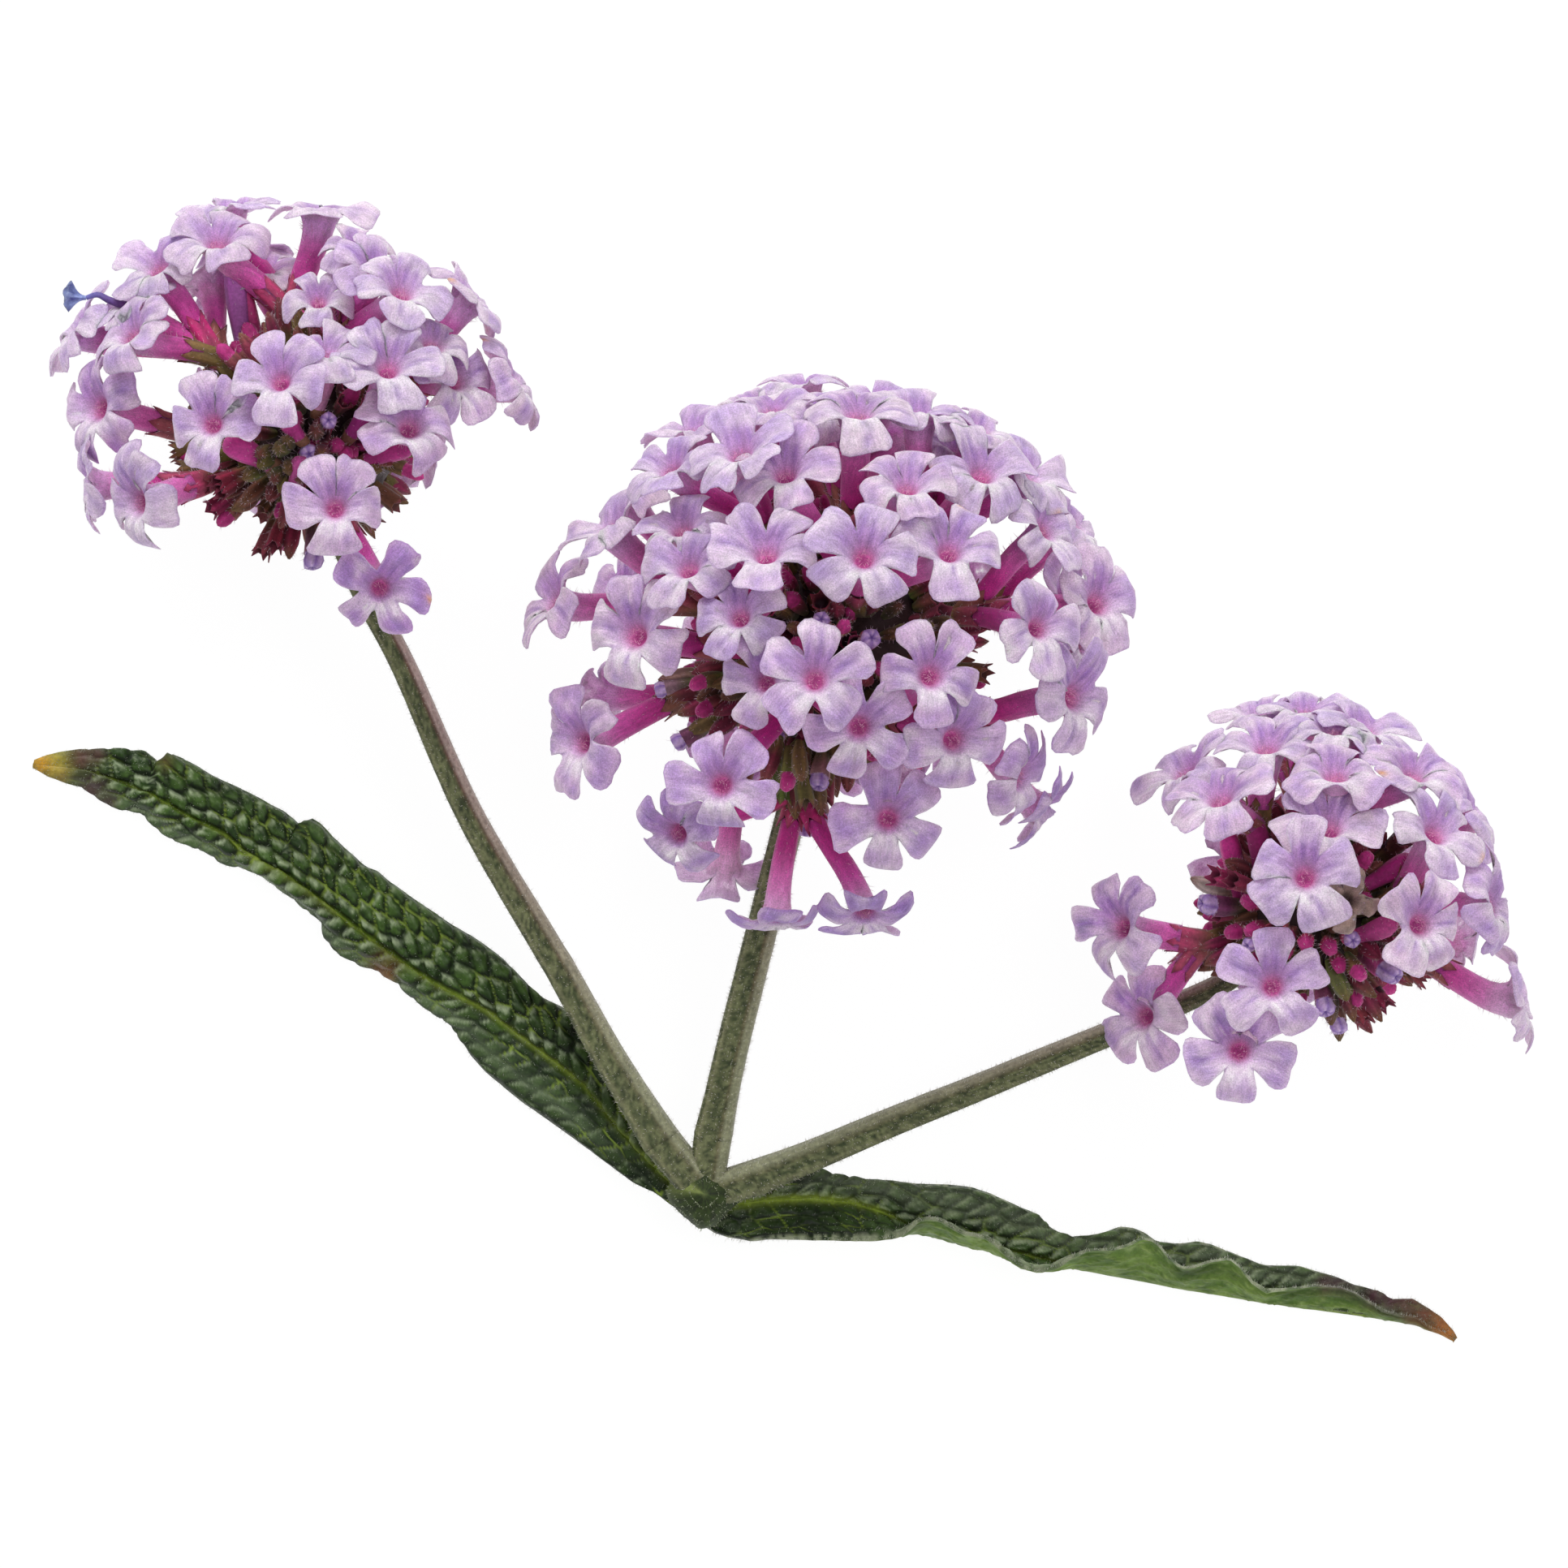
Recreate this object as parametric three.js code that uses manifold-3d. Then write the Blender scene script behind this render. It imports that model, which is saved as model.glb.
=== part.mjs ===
// Verbena sprig (tall verbena, Verbena bonariensis), cut and laid flat on a table.
// Three globular flower heads on three stems that meet at one node with a pair of opposite leaves.
// Millimetres, +Z up. X runs across the sprig, Y from the node towards the heads.
// The origin is on the table under the middle of the sprig's bounding box.
import * as THREE from 'three';
import { mergeVertices } from 'three/addons/utils/BufferGeometryUtils.js';
import Module from 'manifold-3d';

const wasm = await Module();
wasm.setup();

// ---------- driving dimensions ----------
const FLORET_R = 3.05;      // throat centre to lobe tip of a floret of size 1
const CLEFT_R = 0.95;       // throat centre to the cleft between two lobes
const LOBE_HALF = 0.86;     // half width of the broad lobe end
const LOBE_END = 2.86;      // where the lobe is broadest
const LIMB_T = 0.50;        // thickness of the limb at the throat, thinning to the rim
const TUBE_R = 0.52;        // corolla tube radius
const CALYX_R = 0.74;       // calyx radius around the tube's foot
const SPIKE_FOOT = 1.30;    // radius of a flowering branchlet where it leaves the core
const SPIKE_TOP = 0.80;     // radius of a flowering branchlet at its top
const SPIKE_H = 2.9;        // length of a branchlet
const GAP = 0.30;           // clearance kept between neighbouring pieces
const STEM_R = { left: [1.00, 0.66], centre: [1.00, 0.88], right: [0.92, 0.62] }; // node end, head end
const LEAF_T = 0.42;        // leaf blade thickness
const SHIFT = [0.285, -0.834, 0];    // brings the middle of the bounding box over the origin

// ---------- flower heads: centre, core radius ----------
const HEADS = {
  centre: { centre: [2.911, 7.55, 13.106], core: 6.4 },
  left: { centre: [-26.544, 19.463, 10.497], core: 5.0 },
  right: { centre: [29.904, -7.042, 9.945], core: 4.6 },
};
// ---------- branchlets: head, direction from the head's centre ----------
const BRANCHLETS = [
  ['centre', [0.095, 0.773, 0.627]],
  ['centre', [0.316, -0.432, 0.845]],
  ['centre', [0.842, 0.226, 0.49]],
  ['centre', [-0.116, -0.108, -0.987]],
  ['centre', [-0.316, 0.501, -0.806]],
  ['centre', [0.138, 0.338, 0.931]],
  ['centre', [0.258, -0.478, -0.84]],
  ['centre', [0.919, 0.24, -0.314]],
  ['centre', [0.476, 0.43, -0.767]],
  ['centre', [-0.429, 0.77, 0.472]],
  ['centre', [-0.76, 0.271, -0.591]],
  ['centre', [-0.765, -0.009, 0.644]],
  ['centre', [-0.191, -0.262, 0.946]],
  ['centre', [-0.251, -0.921, 0.296]],
  ['centre', [-0.942, 0.306, 0.136]],
  ['centre', [-0.561, -0.617, -0.552]],
  ['centre', [-0.399, 0.317, 0.86]],
  ['centre', [-0.936, -0.269, -0.226]],
  ['centre', [-0.074, 0.992, -0.106]],
  ['centre', [0.807, -0.455, 0.375]],
  ['centre', [0.575, 0.716, 0.396]],
  ['left', [0.584, -0.163, -0.795]],
  ['left', [0.806, 0.422, 0.414]],
  ['left', [-0.168, 0.986, -0.012]],
  ['left', [0.224, -0.569, 0.791]],
  ['left', [0.23, 0.751, 0.619]],
  ['left', [-0.215, 0.245, 0.946]],
  ['left', [-0.105, -0.395, -0.913]],
  ['left', [0.022, 0.47, -0.882]],
  ['left', [-0.856, -0.362, 0.37]],
  ['left', [-0.989, 0.06, -0.135]],
  ['left', [0.454, 0.078, 0.888]],
  ['left', [-0.67, -0.02, -0.742]],
  ['left', [-0.758, 0.648, 0.075]],
  ['right', [0.121, -0.291, -0.949]],
  ['right', [-0.647, 0.145, -0.749]],
  ['right', [0.249, 0.81, 0.531]],
  ['right', [-0.502, 0.693, 0.518]],
  ['right', [0.881, -0.401, -0.25]],
  ['right', [0.692, 0.115, 0.712]],
  ['right', [0.232, 0.496, -0.837]],
  ['right', [-0.948, -0.29, 0.13]],
  ['right', [-0.152, 0.984, -0.088]],
  ['right', [-0.337, -0.55, 0.764]],
  ['right', [-0.008, 0.205, 0.979]],
];
// ---------- florets: branchlet, throat centre, facing direction, five lobe bearings, size ----------
const FLORETS = [
  [12, [1.69, 5.87, 30.434], [0, 0.1, 0.995], [78, 22, -42, -137, 155], 1.10],
  [5, [4.4, 12.64, 29.234], [0.05, 0.25, 0.967], [72, 0, -65, -140, 145], 1.12],
  [16, [-1.02, 12.98, 27.854], [-0.1, 0.6, 0.794], [125, 60, 5, -95, -180], 1.10],
  [5, [9.15, 13.05, 27.074], [0.2, 0.45, 0.87], [110, 60, 0, -90, 160], 1.06],
  [16, [-2.56, 9.36, 27.224], [-0.3, 0.3, 0.906], [-110, -38, 34, 106, 178], 0.95],
  [1, [8.11, 6.05, 28.994], [0.2, 0.05, 0.979], [110, 55, -20, -85, 175], 1.06],
  [12, [-1.12, 5.62, 27.214], [-0.25, -0.05, 0.967], [175, 103, 31, -41, -113], 0.95],
  [12, [4.13, 3.13, 28.404], [0.05, -0.2, 0.979], [-168, 38, -38, -103, 110], 1.10],
  [1, [9.53, 2.39, 26.454], [0.35, -0.25, 0.903], [-90, -5, 64, 122, -173], 1.08],
  [12, [-3.49, -0.03, 26.654], [-0.1, -0.151, 0.983], [-94, -23, 52, 114, 178], 1.10],
  [1, [5.76, -1.88, 24.174], [0.05, -0.151, 0.987], [100, 42, -35, -95, -168], 1.12],
  [13, [4.53, -7.65, 18.224], [0.05, -0.901, 0.431], [96, 169, -118, -66, 7], 1.00],
  [13, [-0.41, -8.02, 15.694], [0, -0.99, 0.141], [91, 167, -122, -65, 12], 1.00],
  [15, [-3.4, -4.91, 7.884], [-0.1, -0.75, -0.654], [-156, -81, -4, 43, 118], 0.95],
  [13, [-6.23, -2.91, 19.424], [-0.5, -0.45, 0.74], [-140, -58, 22, 69, 137], 1.00],
  [17, [-11.79, 2.41, 13.104], [-0.739, -0.08, 0.669], [100, 40, -35, -105, 170], 1.12],
  [17, [-10.48, 5.33, 6.844], [-0.888, 0.252, -0.384], [152, -130, -52, 1, 72], 1.00],
  [11, [-8.44, 8.31, 24.244], [-0.451, 0.05, 0.891], [-100, -24, 45, 98, 166], 1.15],
  [10, [-9.27, 10.94, 10.244], [-0.699, 0.3, 0.649], [164, -109, -37, 11, 88], 0.95],
  [16, [-5.39, 12.17, 25.684], [-0.3, 0.55, 0.78], [168, -109, -34, 18, 83], 1.00],
  [16, [-5.73, 14.46, 22.794], [-0.25, 0.7, 0.67], [90, 177, -124, -55, -1], 1.00],
  [9, [-2.55, 18.61, 24.244], [-0.279, 0.699, 0.659], [114, -161, -105, -38, 24], 1.08],
  [5, [0.01, 17.45, 24.694], [-0.12, 0.6, 0.791], [-69, 7, 76, 134, -148], 1.06],
  [0, [6.82, 16.67, 25.494], [0.12, 0.722, 0.682], [-84, 8, 78, 134, -166], 1.00],
  [20, [11.11, 17.52, 22.394], [0.33, 0.621, 0.711], [18, 104, 176, -138, -60], 1.10],
  [0, [4.13, 20.9, 21.724], [0.05, 0.863, 0.502], [-86, -1, 56, 124, -180], 1.15],
  [9, [-0.72, 21.14, 18.894], [-0.152, 0.892, 0.426], [58, 146, -142, -94, -18], 0.95],
  [9, [-5.16, 20.18, 16.554], [-0.303, 0.91, 0.283], [121, -159, -91, -36, 30], 1.15],
  [14, [-9.85, 14.73, 17.184], [-0.605, 0.756, 0.252], [135, -133, -61, -17, 50], 1.10],
  [10, [-8.76, 16.24, 8.044], [-0.621, 0.777, 0.104], [107, -176, -109, -56, 17], 0.95],
  [9, [-6.48, 17.82, 21.064], [-0.5, 0.7, 0.51], [95, 173, -119, -68, 12], 1.00],
  [14, [-13.28, 10.58, 13.414], [-0.842, 0.401, 0.361], [54, 144, -143, -97, -21], 1.10],
  [18, [1.1, 22.73, 11.194], [-0.1, 0.974, 0.201], [46, 126, -164, -118, -45], 1.00],
  [18, [-1.64, 21.79, 13.174], [-0.201, 0.954, 0.221], [15, 109, 169, -133, -57], 1.00],
  [18, [5.58, 22.05, 9.804], [0.121, 0.955, 0.271], [75, 161, -139, -82, -11], 1.10],
  [20, [7.71, 20.97, 18.584], [0.251, 0.935, 0.251], [110, -169, -99, -47, 24], 1.10],
  [20, [10.91, 20.02, 18.664], [0.399, 0.848, 0.349], [37, 120, -176, -122, -56], 1.00],
  [20, [13.72, 17.51, 18.184], [0.6, 0.72, 0.35], [54, 141, -144, -87, -26], 1.10],
  [2, [14.79, 14.36, 20.434], [0.75, 0.4, 0.527], [4, 88, 155, -150, -80], 1.00],
  [7, [16.73, 14.9, 10.494], [0.836, 0.51, 0.204], [43, 132, -166, -107, -35], 1.10],
  [2, [17.82, 10.31, 16.664], [0.597, 0.199, 0.777], [13, 91, 168, -140, -73], 1.10],
  [2, [14.27, 8.76, 24.494], [0.55, 0.1, 0.829], [-87, 5, 68, 130, -164], 1.00],
  [19, [16.48, 4.85, 21.104], [0.755, -0.121, 0.644], [-16, 66, 136, -174, -102], 1.15],
  [7, [17.06, 8.03, 11.744], [0.901, 0.05, 0.431], [83, 169, -130, -67, 1], 0.95],
  [19, [13.55, 0.27, 21.434], [0.86, -0.35, 0.37], [-57, 31, 98, 148, -144], 1.05],
  [19, [14.83, -1.55, 13.104], [0.824, -0.553, 0.121], [-35, 59, 128, 178, -111], 1.00],
  [7, [16.03, 10.52, 12.744], [0.802, 0.251, 0.542], [63, 147, -153, -88, -23], 0.95],
  [6, [5.78, 1.29, 7.744], [0.101, -0.504, -0.858], [-58, 23, 94, 152, -142], 0.95],
  [23, [-31.59, 32.98, 5.818], [-0.08, 0.987, 0.14], [163, -123, -53, 7, 78], 1.10],
  [23, [-31.95, 30.94, 10.528], [-0.1, 0.779, 0.619], [5, 77, 149, -139, -67], 1.10],
  [33, [-35.5, 29.46, 9.918], [-0.501, 0.622, 0.602], [81, 172, -121, -73, 1], 1.00],
  [33, [-40.21, 25.98, 7.818], [-0.851, 0.5, 0.16], [166, -112, -43, 15, 82], 1.08],
  [33, [-36.92, 25.54, 12.818], [-0.62, 0.55, 0.56], [-164, -82, -8, 46, 118], 1.00],
  [33, [-36.67, 27.47, 9.418], [-0.55, 0.78, 0.3], [101, -180, -102, -59, 15], 0.95],
  [30, [-39.01, 21.29, 10.818], [-0.732, 0, 0.682], [102, -172, -108, -42, 19], 1.12],
  [29, [-39.38, 16.9, 10.828], [-0.983, -0.1, 0.151], [114, -154, -94, -31, 34], 1.00],
  [29, [-36.49, 15.76, 16.178], [-0.801, -0.18, 0.571], [-99, -10, 56, 107, -180], 1.15],
  [26, [-31.78, 20.07, 21.318], [-0.249, 0.05, 0.967], [107, 52, 7, -107, -169], 0.98],
  [26, [-27.94, 22.52, 22.878], [-0.251, 0.351, 0.902], [112, 55, -11, -90, -180], 1.00],
  [26, [-25.47, 24.25, 20.998], [0.05, 0.863, 0.502], [-88, -8, 57, 119, -173], 1.00],
  [31, [-21.87, 23.35, 21.238], [0.12, 0.499, 0.858], [-79, 6, 68, 121, -164], 1.05],
  [23, [-26.1, 32.59, 10.368], [0.02, 0.985, 0.17], [-97, -12, 63, 120, -179], 1.10],
  [25, [-25.96, 27.18, 16.818], [0, 0.6, 0.8], [-88, 0, 60, 117, -178], 0.78],
  [25, [-23.82, 30.13, 14.808], [0.15, 0.8, 0.58], [-63, 31, 90, 154, -138], 0.95],
  [25, [-22.58, 28.9, 16.938], [0.3, 0.699, 0.649], [-69, 11, 89, 138, -155], 0.95],
  [25, [-21.11, 27.7, 18.888], [0.351, 0.662, 0.662], [-32, 61, 122, 175, -114], 1.02],
  [22, [-17.37, 27.58, 15.038], [0.759, 0.649, 0.06], [25, 116, -179, -125, -50], 1.10],
  [22, [-19.39, 24.71, 18.608], [0.401, 0.622, 0.672], [65, 137, -148, -95, -18], 0.90],
  [22, [-18.07, 22.77, 17.448], [0.55, 0.3, 0.78], [94, 170, -121, -67, 13], 1.00],
  [22, [-14.74, 22.81, 15.208], [0.883, 0.451, 0.13], [27, 116, -178, -120, -52], 1.10],
  [31, [-20.66, 20.03, 20.958], [0.2, 0.331, 0.922], [150, 88, 8, -52, -160], 1.05],
  [21, [-20.57, 18.73, 4.818], [0.703, -0.201, -0.683], [-57, 19, 96, 145, -144], 0.84],
  [24, [-24.77, 15.37, 23.248], [0, 0.1, 0.995], [113, 61, 3, -90, -177], 0.99],
  [24, [-22.33, 10.81, 19.058], [0.2, -0.35, 0.915], [60, 150, -135, -75, 0], 0.97],
  [41, [18.52, -7.94, 11.621], [-0.722, 0, 0.692], [112, 52, -41, -129, 175], 1.12],
  [41, [19.94, -13.08, 9.941], [-0.603, -0.151, 0.784], [82, 138, -140, -62, 0], 1.05],
  [43, [27.03, -11.07, 21.841], [0, 0, 1], [90, 25, -57, -143, 153], 1.08],
  [43, [25.39, -14.84, 17.111], [0, -0.12, 0.993], [125, 55, -18, -90, -165], 1.12],
  [44, [28.77, -4.94, 23.501], [0, 0.12, 0.993], [92, 18, -68, -145, 158], 1.14],
  [39, [35.46, -7.66, 21.381], [0.45, 0, 0.893], [62, 135, 0, -60, -115], 1.05],
  [44, [30.33, -2.02, 19.841], [0.1, 0.602, 0.792], [-15, 60, 120, -160, -90], 1.10],
  [36, [30.68, 0.9, 18.761], [0.05, 0.799, 0.599], [85, 155, -148, -40, 15], 1.10],
  [36, [30.88, 3.32, 14.341], [0.1, 0.882, 0.461], [98, -179, -108, -52, 14], 1.00],
  [37, [24.16, -0.41, 17.771], [-0.301, 0.723, 0.622], [95, 170, -130, -65, 27], 1.10],
  [37, [22.29, 1.09, 12.151], [-0.549, 0.749, 0.37], [153, -125, -64, -6, 65], 1.10],
  [37, [26.96, 2.45, 14.631], [-0.1, 0.822, 0.561], [110, 40, -20, -100, 170], 1.10],
  [42, [26.89, 4.31, 8.051], [-0.25, 0.93, 0.27], [136, -141, -77, -29, 50], 1.05],
  [42, [29.35, 4.48, 10.231], [0, 0.929, 0.37], [89, 175, -115, -60, 6], 0.95],
  [36, [32.73, 3.46, 12.841], [0.349, 0.848, 0.399], [76, 152, -140, -77, -18], 1.08],
  [36, [35.33, 0.91, 15.951], [0.401, 0.753, 0.522], [85, 20, -30, -160, 150], 1.05],
  [39, [36.51, -2.44, 18.091], [0.5, 0.45, 0.74], [105, 40, -40, -110, 175], 1.08],
  [39, [39.36, -1.47, 6.811], [0.903, 0.402, 0.151], [57, 149, -154, -87, -21], 1.05],
  [39, [39.91, -6.61, 16.471], [0.931, 0.1, 0.35], [59, 141, -144, -86, -29], 1.05],
  [38, [41.67, -11.89, 9.941], [0.976, 0.191, 0.101], [80, 165, -128, -74, -9], 1.12],
  [38, [38.7, -8.98, 3.341], [0.85, -0.2, -0.487], [-9, 78, 136, -166, -90], 0.85],
  [44, [31.28, -6.48, 19.671], [0.15, -0.15, 0.977], [-15, -95, 70, 150, -160], 0.68],
  [3, [3.84, 7.79, 0.654], [0.052, 0.013, -0.999], [-73, 2, 80, 140, -152], 0.95],
  [4, [0.46, 10.26, 0.654], [-0.14, 0.156, -0.978], [-114, -19, 40, 102, 175], 0.95],
  [3, [-0.37, 5.08, 0.654], [-0.189, -0.143, -0.971], [-109, -22, 54, 100, 174], 0.95],
  [6, [5.3, 3.74, 0.664], [0.119, -0.19, -0.974], [144, -125, -65, -8, 63], 0.95],
  [8, [5.77, 12.39, 0.784], [0.126, 0.213, -0.969], [20, 111, -179, -121, -63], 0.95],
  [8, [8.88, 8.28, 1.104], [0.335, 0.041, -0.941], [153, -119, -53, 10, 70], 0.95],
  [10, [-3.58, 7.9, 1.524], [-0.399, 0.021, -0.917], [23, 99, 174, -132, -58], 0.95],
  [6, [1.97, 0.89, 1.764], [-0.059, -0.413, -0.909], [-158, -80, -8, 44, 119], 0.95],
  [4, [1.03, 15.08, 2.594], [-0.121, 0.473, -0.873], [-179, -94, -24, 37, 98], 0.95],
  [6, [9.34, 3.35, 2.874], [0.415, -0.271, -0.868], [-101, -25, 51, 99, 168], 0.95],
  [4, [-2.96, 12.98, 3.294], [-0.383, 0.36, -0.851], [-150, -57, 6, 59, 134], 0.95],
  [15, [-3.17, 2.12, 3.534], [-0.402, -0.359, -0.842], [14, 88, 158, -135, -71], 0.95],
  [8, [10.09, 12, 3.974], [0.483, 0.299, -0.823], [75, 171, -125, -67, -9], 0.95],
  [8, [6.73, 15.45, 4.534], [0.262, 0.542, -0.799], [-137, -55, 15, 74, 139], 0.95],
  [28, [-25.8, 19.66, 0.748], [0.052, 0.013, -0.999], [134, -132, -67, -9, 54], 0.84],
  [27, [-29.16, 17.49, 0.748], [-0.189, -0.143, -0.971], [-53, 32, 100, 158, -139], 0.84],
  [28, [-28.1, 23.23, 1.078], [-0.106, 0.263, -0.959], [28, 115, -180, -112, -49], 0.84],
  [28, [-24.26, 23.38, 0.438], [0.093, 0.157, -0.983], [-93, -3, 71, 123, -171], 0.84],
  [27, [-24.89, 16.99, 0.768], [0.053, -0.249, -0.967], [162, -113, -45, 14, 82], 0.84],
  [21, [-22.1, 19.78, 0.928], [0.362, 0.044, -0.931], [-48, 38, 106, 160, -130], 0.84],
  [32, [-32.25, 22.52, 1.988], [-0.428, 0.183, -0.885], [84, 162, -117, -69, 7], 0.84],
  [21, [-22.99, 17.43, 1.818], [0.415, -0.271, -0.868], [-110, -29, 46, 90, 166], 0.84],
  [32, [-31.25, 18.77, 3.578], [-0.553, -0.22, -0.804], [107, -168, -108, -51, 14], 0.84],
  [28, [-29.54, 29.4, 8.318], [0.101, 0.858, 0.504], [77, 166, -118, -71, -4], 0.95],
  [34, [30.58, -6.87, 0.691], [0.052, 0.013, -0.999], [166, -104, -36, 12, 81], 0.95],
  [35, [27.59, -6.22, 0.591], [-0.226, 0.063, -0.972], [-112, -32, 33, 97, 151], 0.95],
  [34, [28.98, -9.94, 0.701], [-0.076, -0.204, -0.976], [26, 105, 168, -129, -55], 0.95],
  [40, [29.71, -2.38, 1.051], [-0.01, 0.303, -0.953], [-175, -95, -27, 40, 103], 0.95],
  [34, [32.19, -9.23, 1.451], [0.274, -0.279, -0.92], [-29, 57, 123, -177, -113], 0.95],
  [40, [33.56, -4.13, 1.831], [0.316, 0.26, -0.913], [91, 173, -122, -66, 15], 0.95],
  [35, [26.07, -9.2, 3.581], [-0.553, -0.22, -0.804], [65, 147, -143, -93, -22], 0.95],
  [35, [25.59, -3.88, 3.931], [-0.528, 0.315, -0.789], [40, 129, -168, -108, -49], 0.95],
  [0, [1.81, 21.08, 16.544], [-0.05, 0.863, 0.502], [84, 12, -58, -128, 156], 1.00],
  [20, [9.95, 18.91, 16.744], [0.281, 0.842, 0.461], [70, 0, -68, -134, 140], 1.00],
  [18, [3.3, 20, 8.244], [0, 0.914, -0.406], [80, 10, -60, -130, 150], 1.00],
  [18, [6.39, 20.14, 6.744], [0.1, 0.902, -0.421], [100, 20, -50, -120, 170], 1.00],
  [20, [9.64, 18.64, 7.744], [0.304, 0.862, -0.406], [90, 15, -60, -125, 160], 1.00],
  [9, [-2.8, 18.35, 8.244], [-0.302, 0.855, -0.422], [85, 20, -60, -125, 155], 1.00],
  [33, [-32.58, 28.58, 6.318], [-0.403, 0.856, -0.322], [90, 15, -60, -130, 160], 0.95],
  [23, [-30.7, 29.87, 5.318], [-0.1, 0.902, -0.421], [80, 10, -60, -125, 150], 0.95],
];

// ---------- helpers ----------
const V = (x, y, z) => new THREE.Vector3(x, y, z);
const A = (a) => V(a[0], a[1], a[2]);

function solidOf(geometry) {
  const g = geometry.clone();
  g.deleteAttribute('normal'); g.deleteAttribute('uv');
  const m = mergeVertices(g, 1e-5);
  const mesh = new wasm.Mesh({
    numProp: 3,
    vertProperties: new Float32Array(m.attributes.position.array),
    triVerts: new Uint32Array(m.index.array),
  });
  mesh.merge();
  return new wasm.Manifold(mesh);
}
function geometryFrom(points, tris) {
  const g = new THREE.BufferGeometry();
  const p = [];
  for (const q of points) p.push(q.x, q.y, q.z);
  g.setAttribute('position', new THREE.Float32BufferAttribute(p, 3));
  g.setIndex(tris);
  return g;
}
function geometryOf(solid) {
  const m = solid.getMesh();
  const g = new THREE.BufferGeometry();
  const n = m.numProp, v = m.vertProperties, p = new Float32Array((v.length / n) * 3);
  for (let i = 0; i < v.length / n; i++) { p[3 * i] = v[n * i]; p[3 * i + 1] = v[n * i + 1]; p[3 * i + 2] = v[n * i + 2]; }
  g.setAttribute('position', new THREE.BufferAttribute(p, 3));
  g.setIndex(Array.from(m.triVerts));
  g.computeVertexNormals();
  return g;
}
function outward(points, tris) {
  // turns every face round if the closed surface has negative volume
  let vol = 0;
  for (let i = 0; i < tris.length; i += 3) {
    vol += points[tris[i]].dot(points[tris[i + 1]].clone().cross(points[tris[i + 2]]));
  }
  if (vol < 0) for (let i = 0; i < tris.length; i += 3) { const t = tris[i]; tris[i] = tris[i + 1]; tris[i + 1] = t; }
  return tris;
}
// rings of equal count joined into a closed tube with fan caps
function loft(rings) {
  const pts = [], tris = [], n = rings[0].length;
  for (const r of rings) for (const p of r) pts.push(p);
  for (let k = 0; k + 1 < rings.length; k++) for (let i = 0; i < n; i++) {
    const a = k * n + i, b = k * n + (i + 1) % n, c = a + n, d = b + n;
    tris.push(a, b, d, a, d, c);
  }
  for (let i = 1; i + 1 < n; i++) { tris.push(0, i + 1, i); const o = (rings.length - 1) * n; tris.push(o, o + i, o + i + 1); }
  return geometryFrom(pts, outward(pts, tris));
}
function frameFor(n) {
  const up = Math.abs(n.y) < 0.93 ? V(0, 1, 0) : V(0, 0, n.y > 0 ? -1 : 1);
  const e = up.clone().cross(n).normalize();
  const m = n.clone().cross(e);
  return [e, m];
}
function sweepRing(c, dir, ref, radius, sides, turn, square) {
  const e = ref.clone().addScaledVector(dir, -ref.dot(dir)).normalize();
  const m = dir.clone().cross(e);
  const out = [];
  for (let i = 0; i < sides; i++) {
    const t = (i / sides) * Math.PI * 2 + turn;
    const k = square ? 1 / Math.pow(Math.pow(Math.abs(Math.cos(t)), 4) + Math.pow(Math.abs(Math.sin(t)), 4), 0.25) * 0.94 : 1;
    out.push(c.clone().addScaledVector(e, Math.cos(t) * radius * k).addScaledVector(m, Math.sin(t) * radius * k));
  }
  return out;
}

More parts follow.
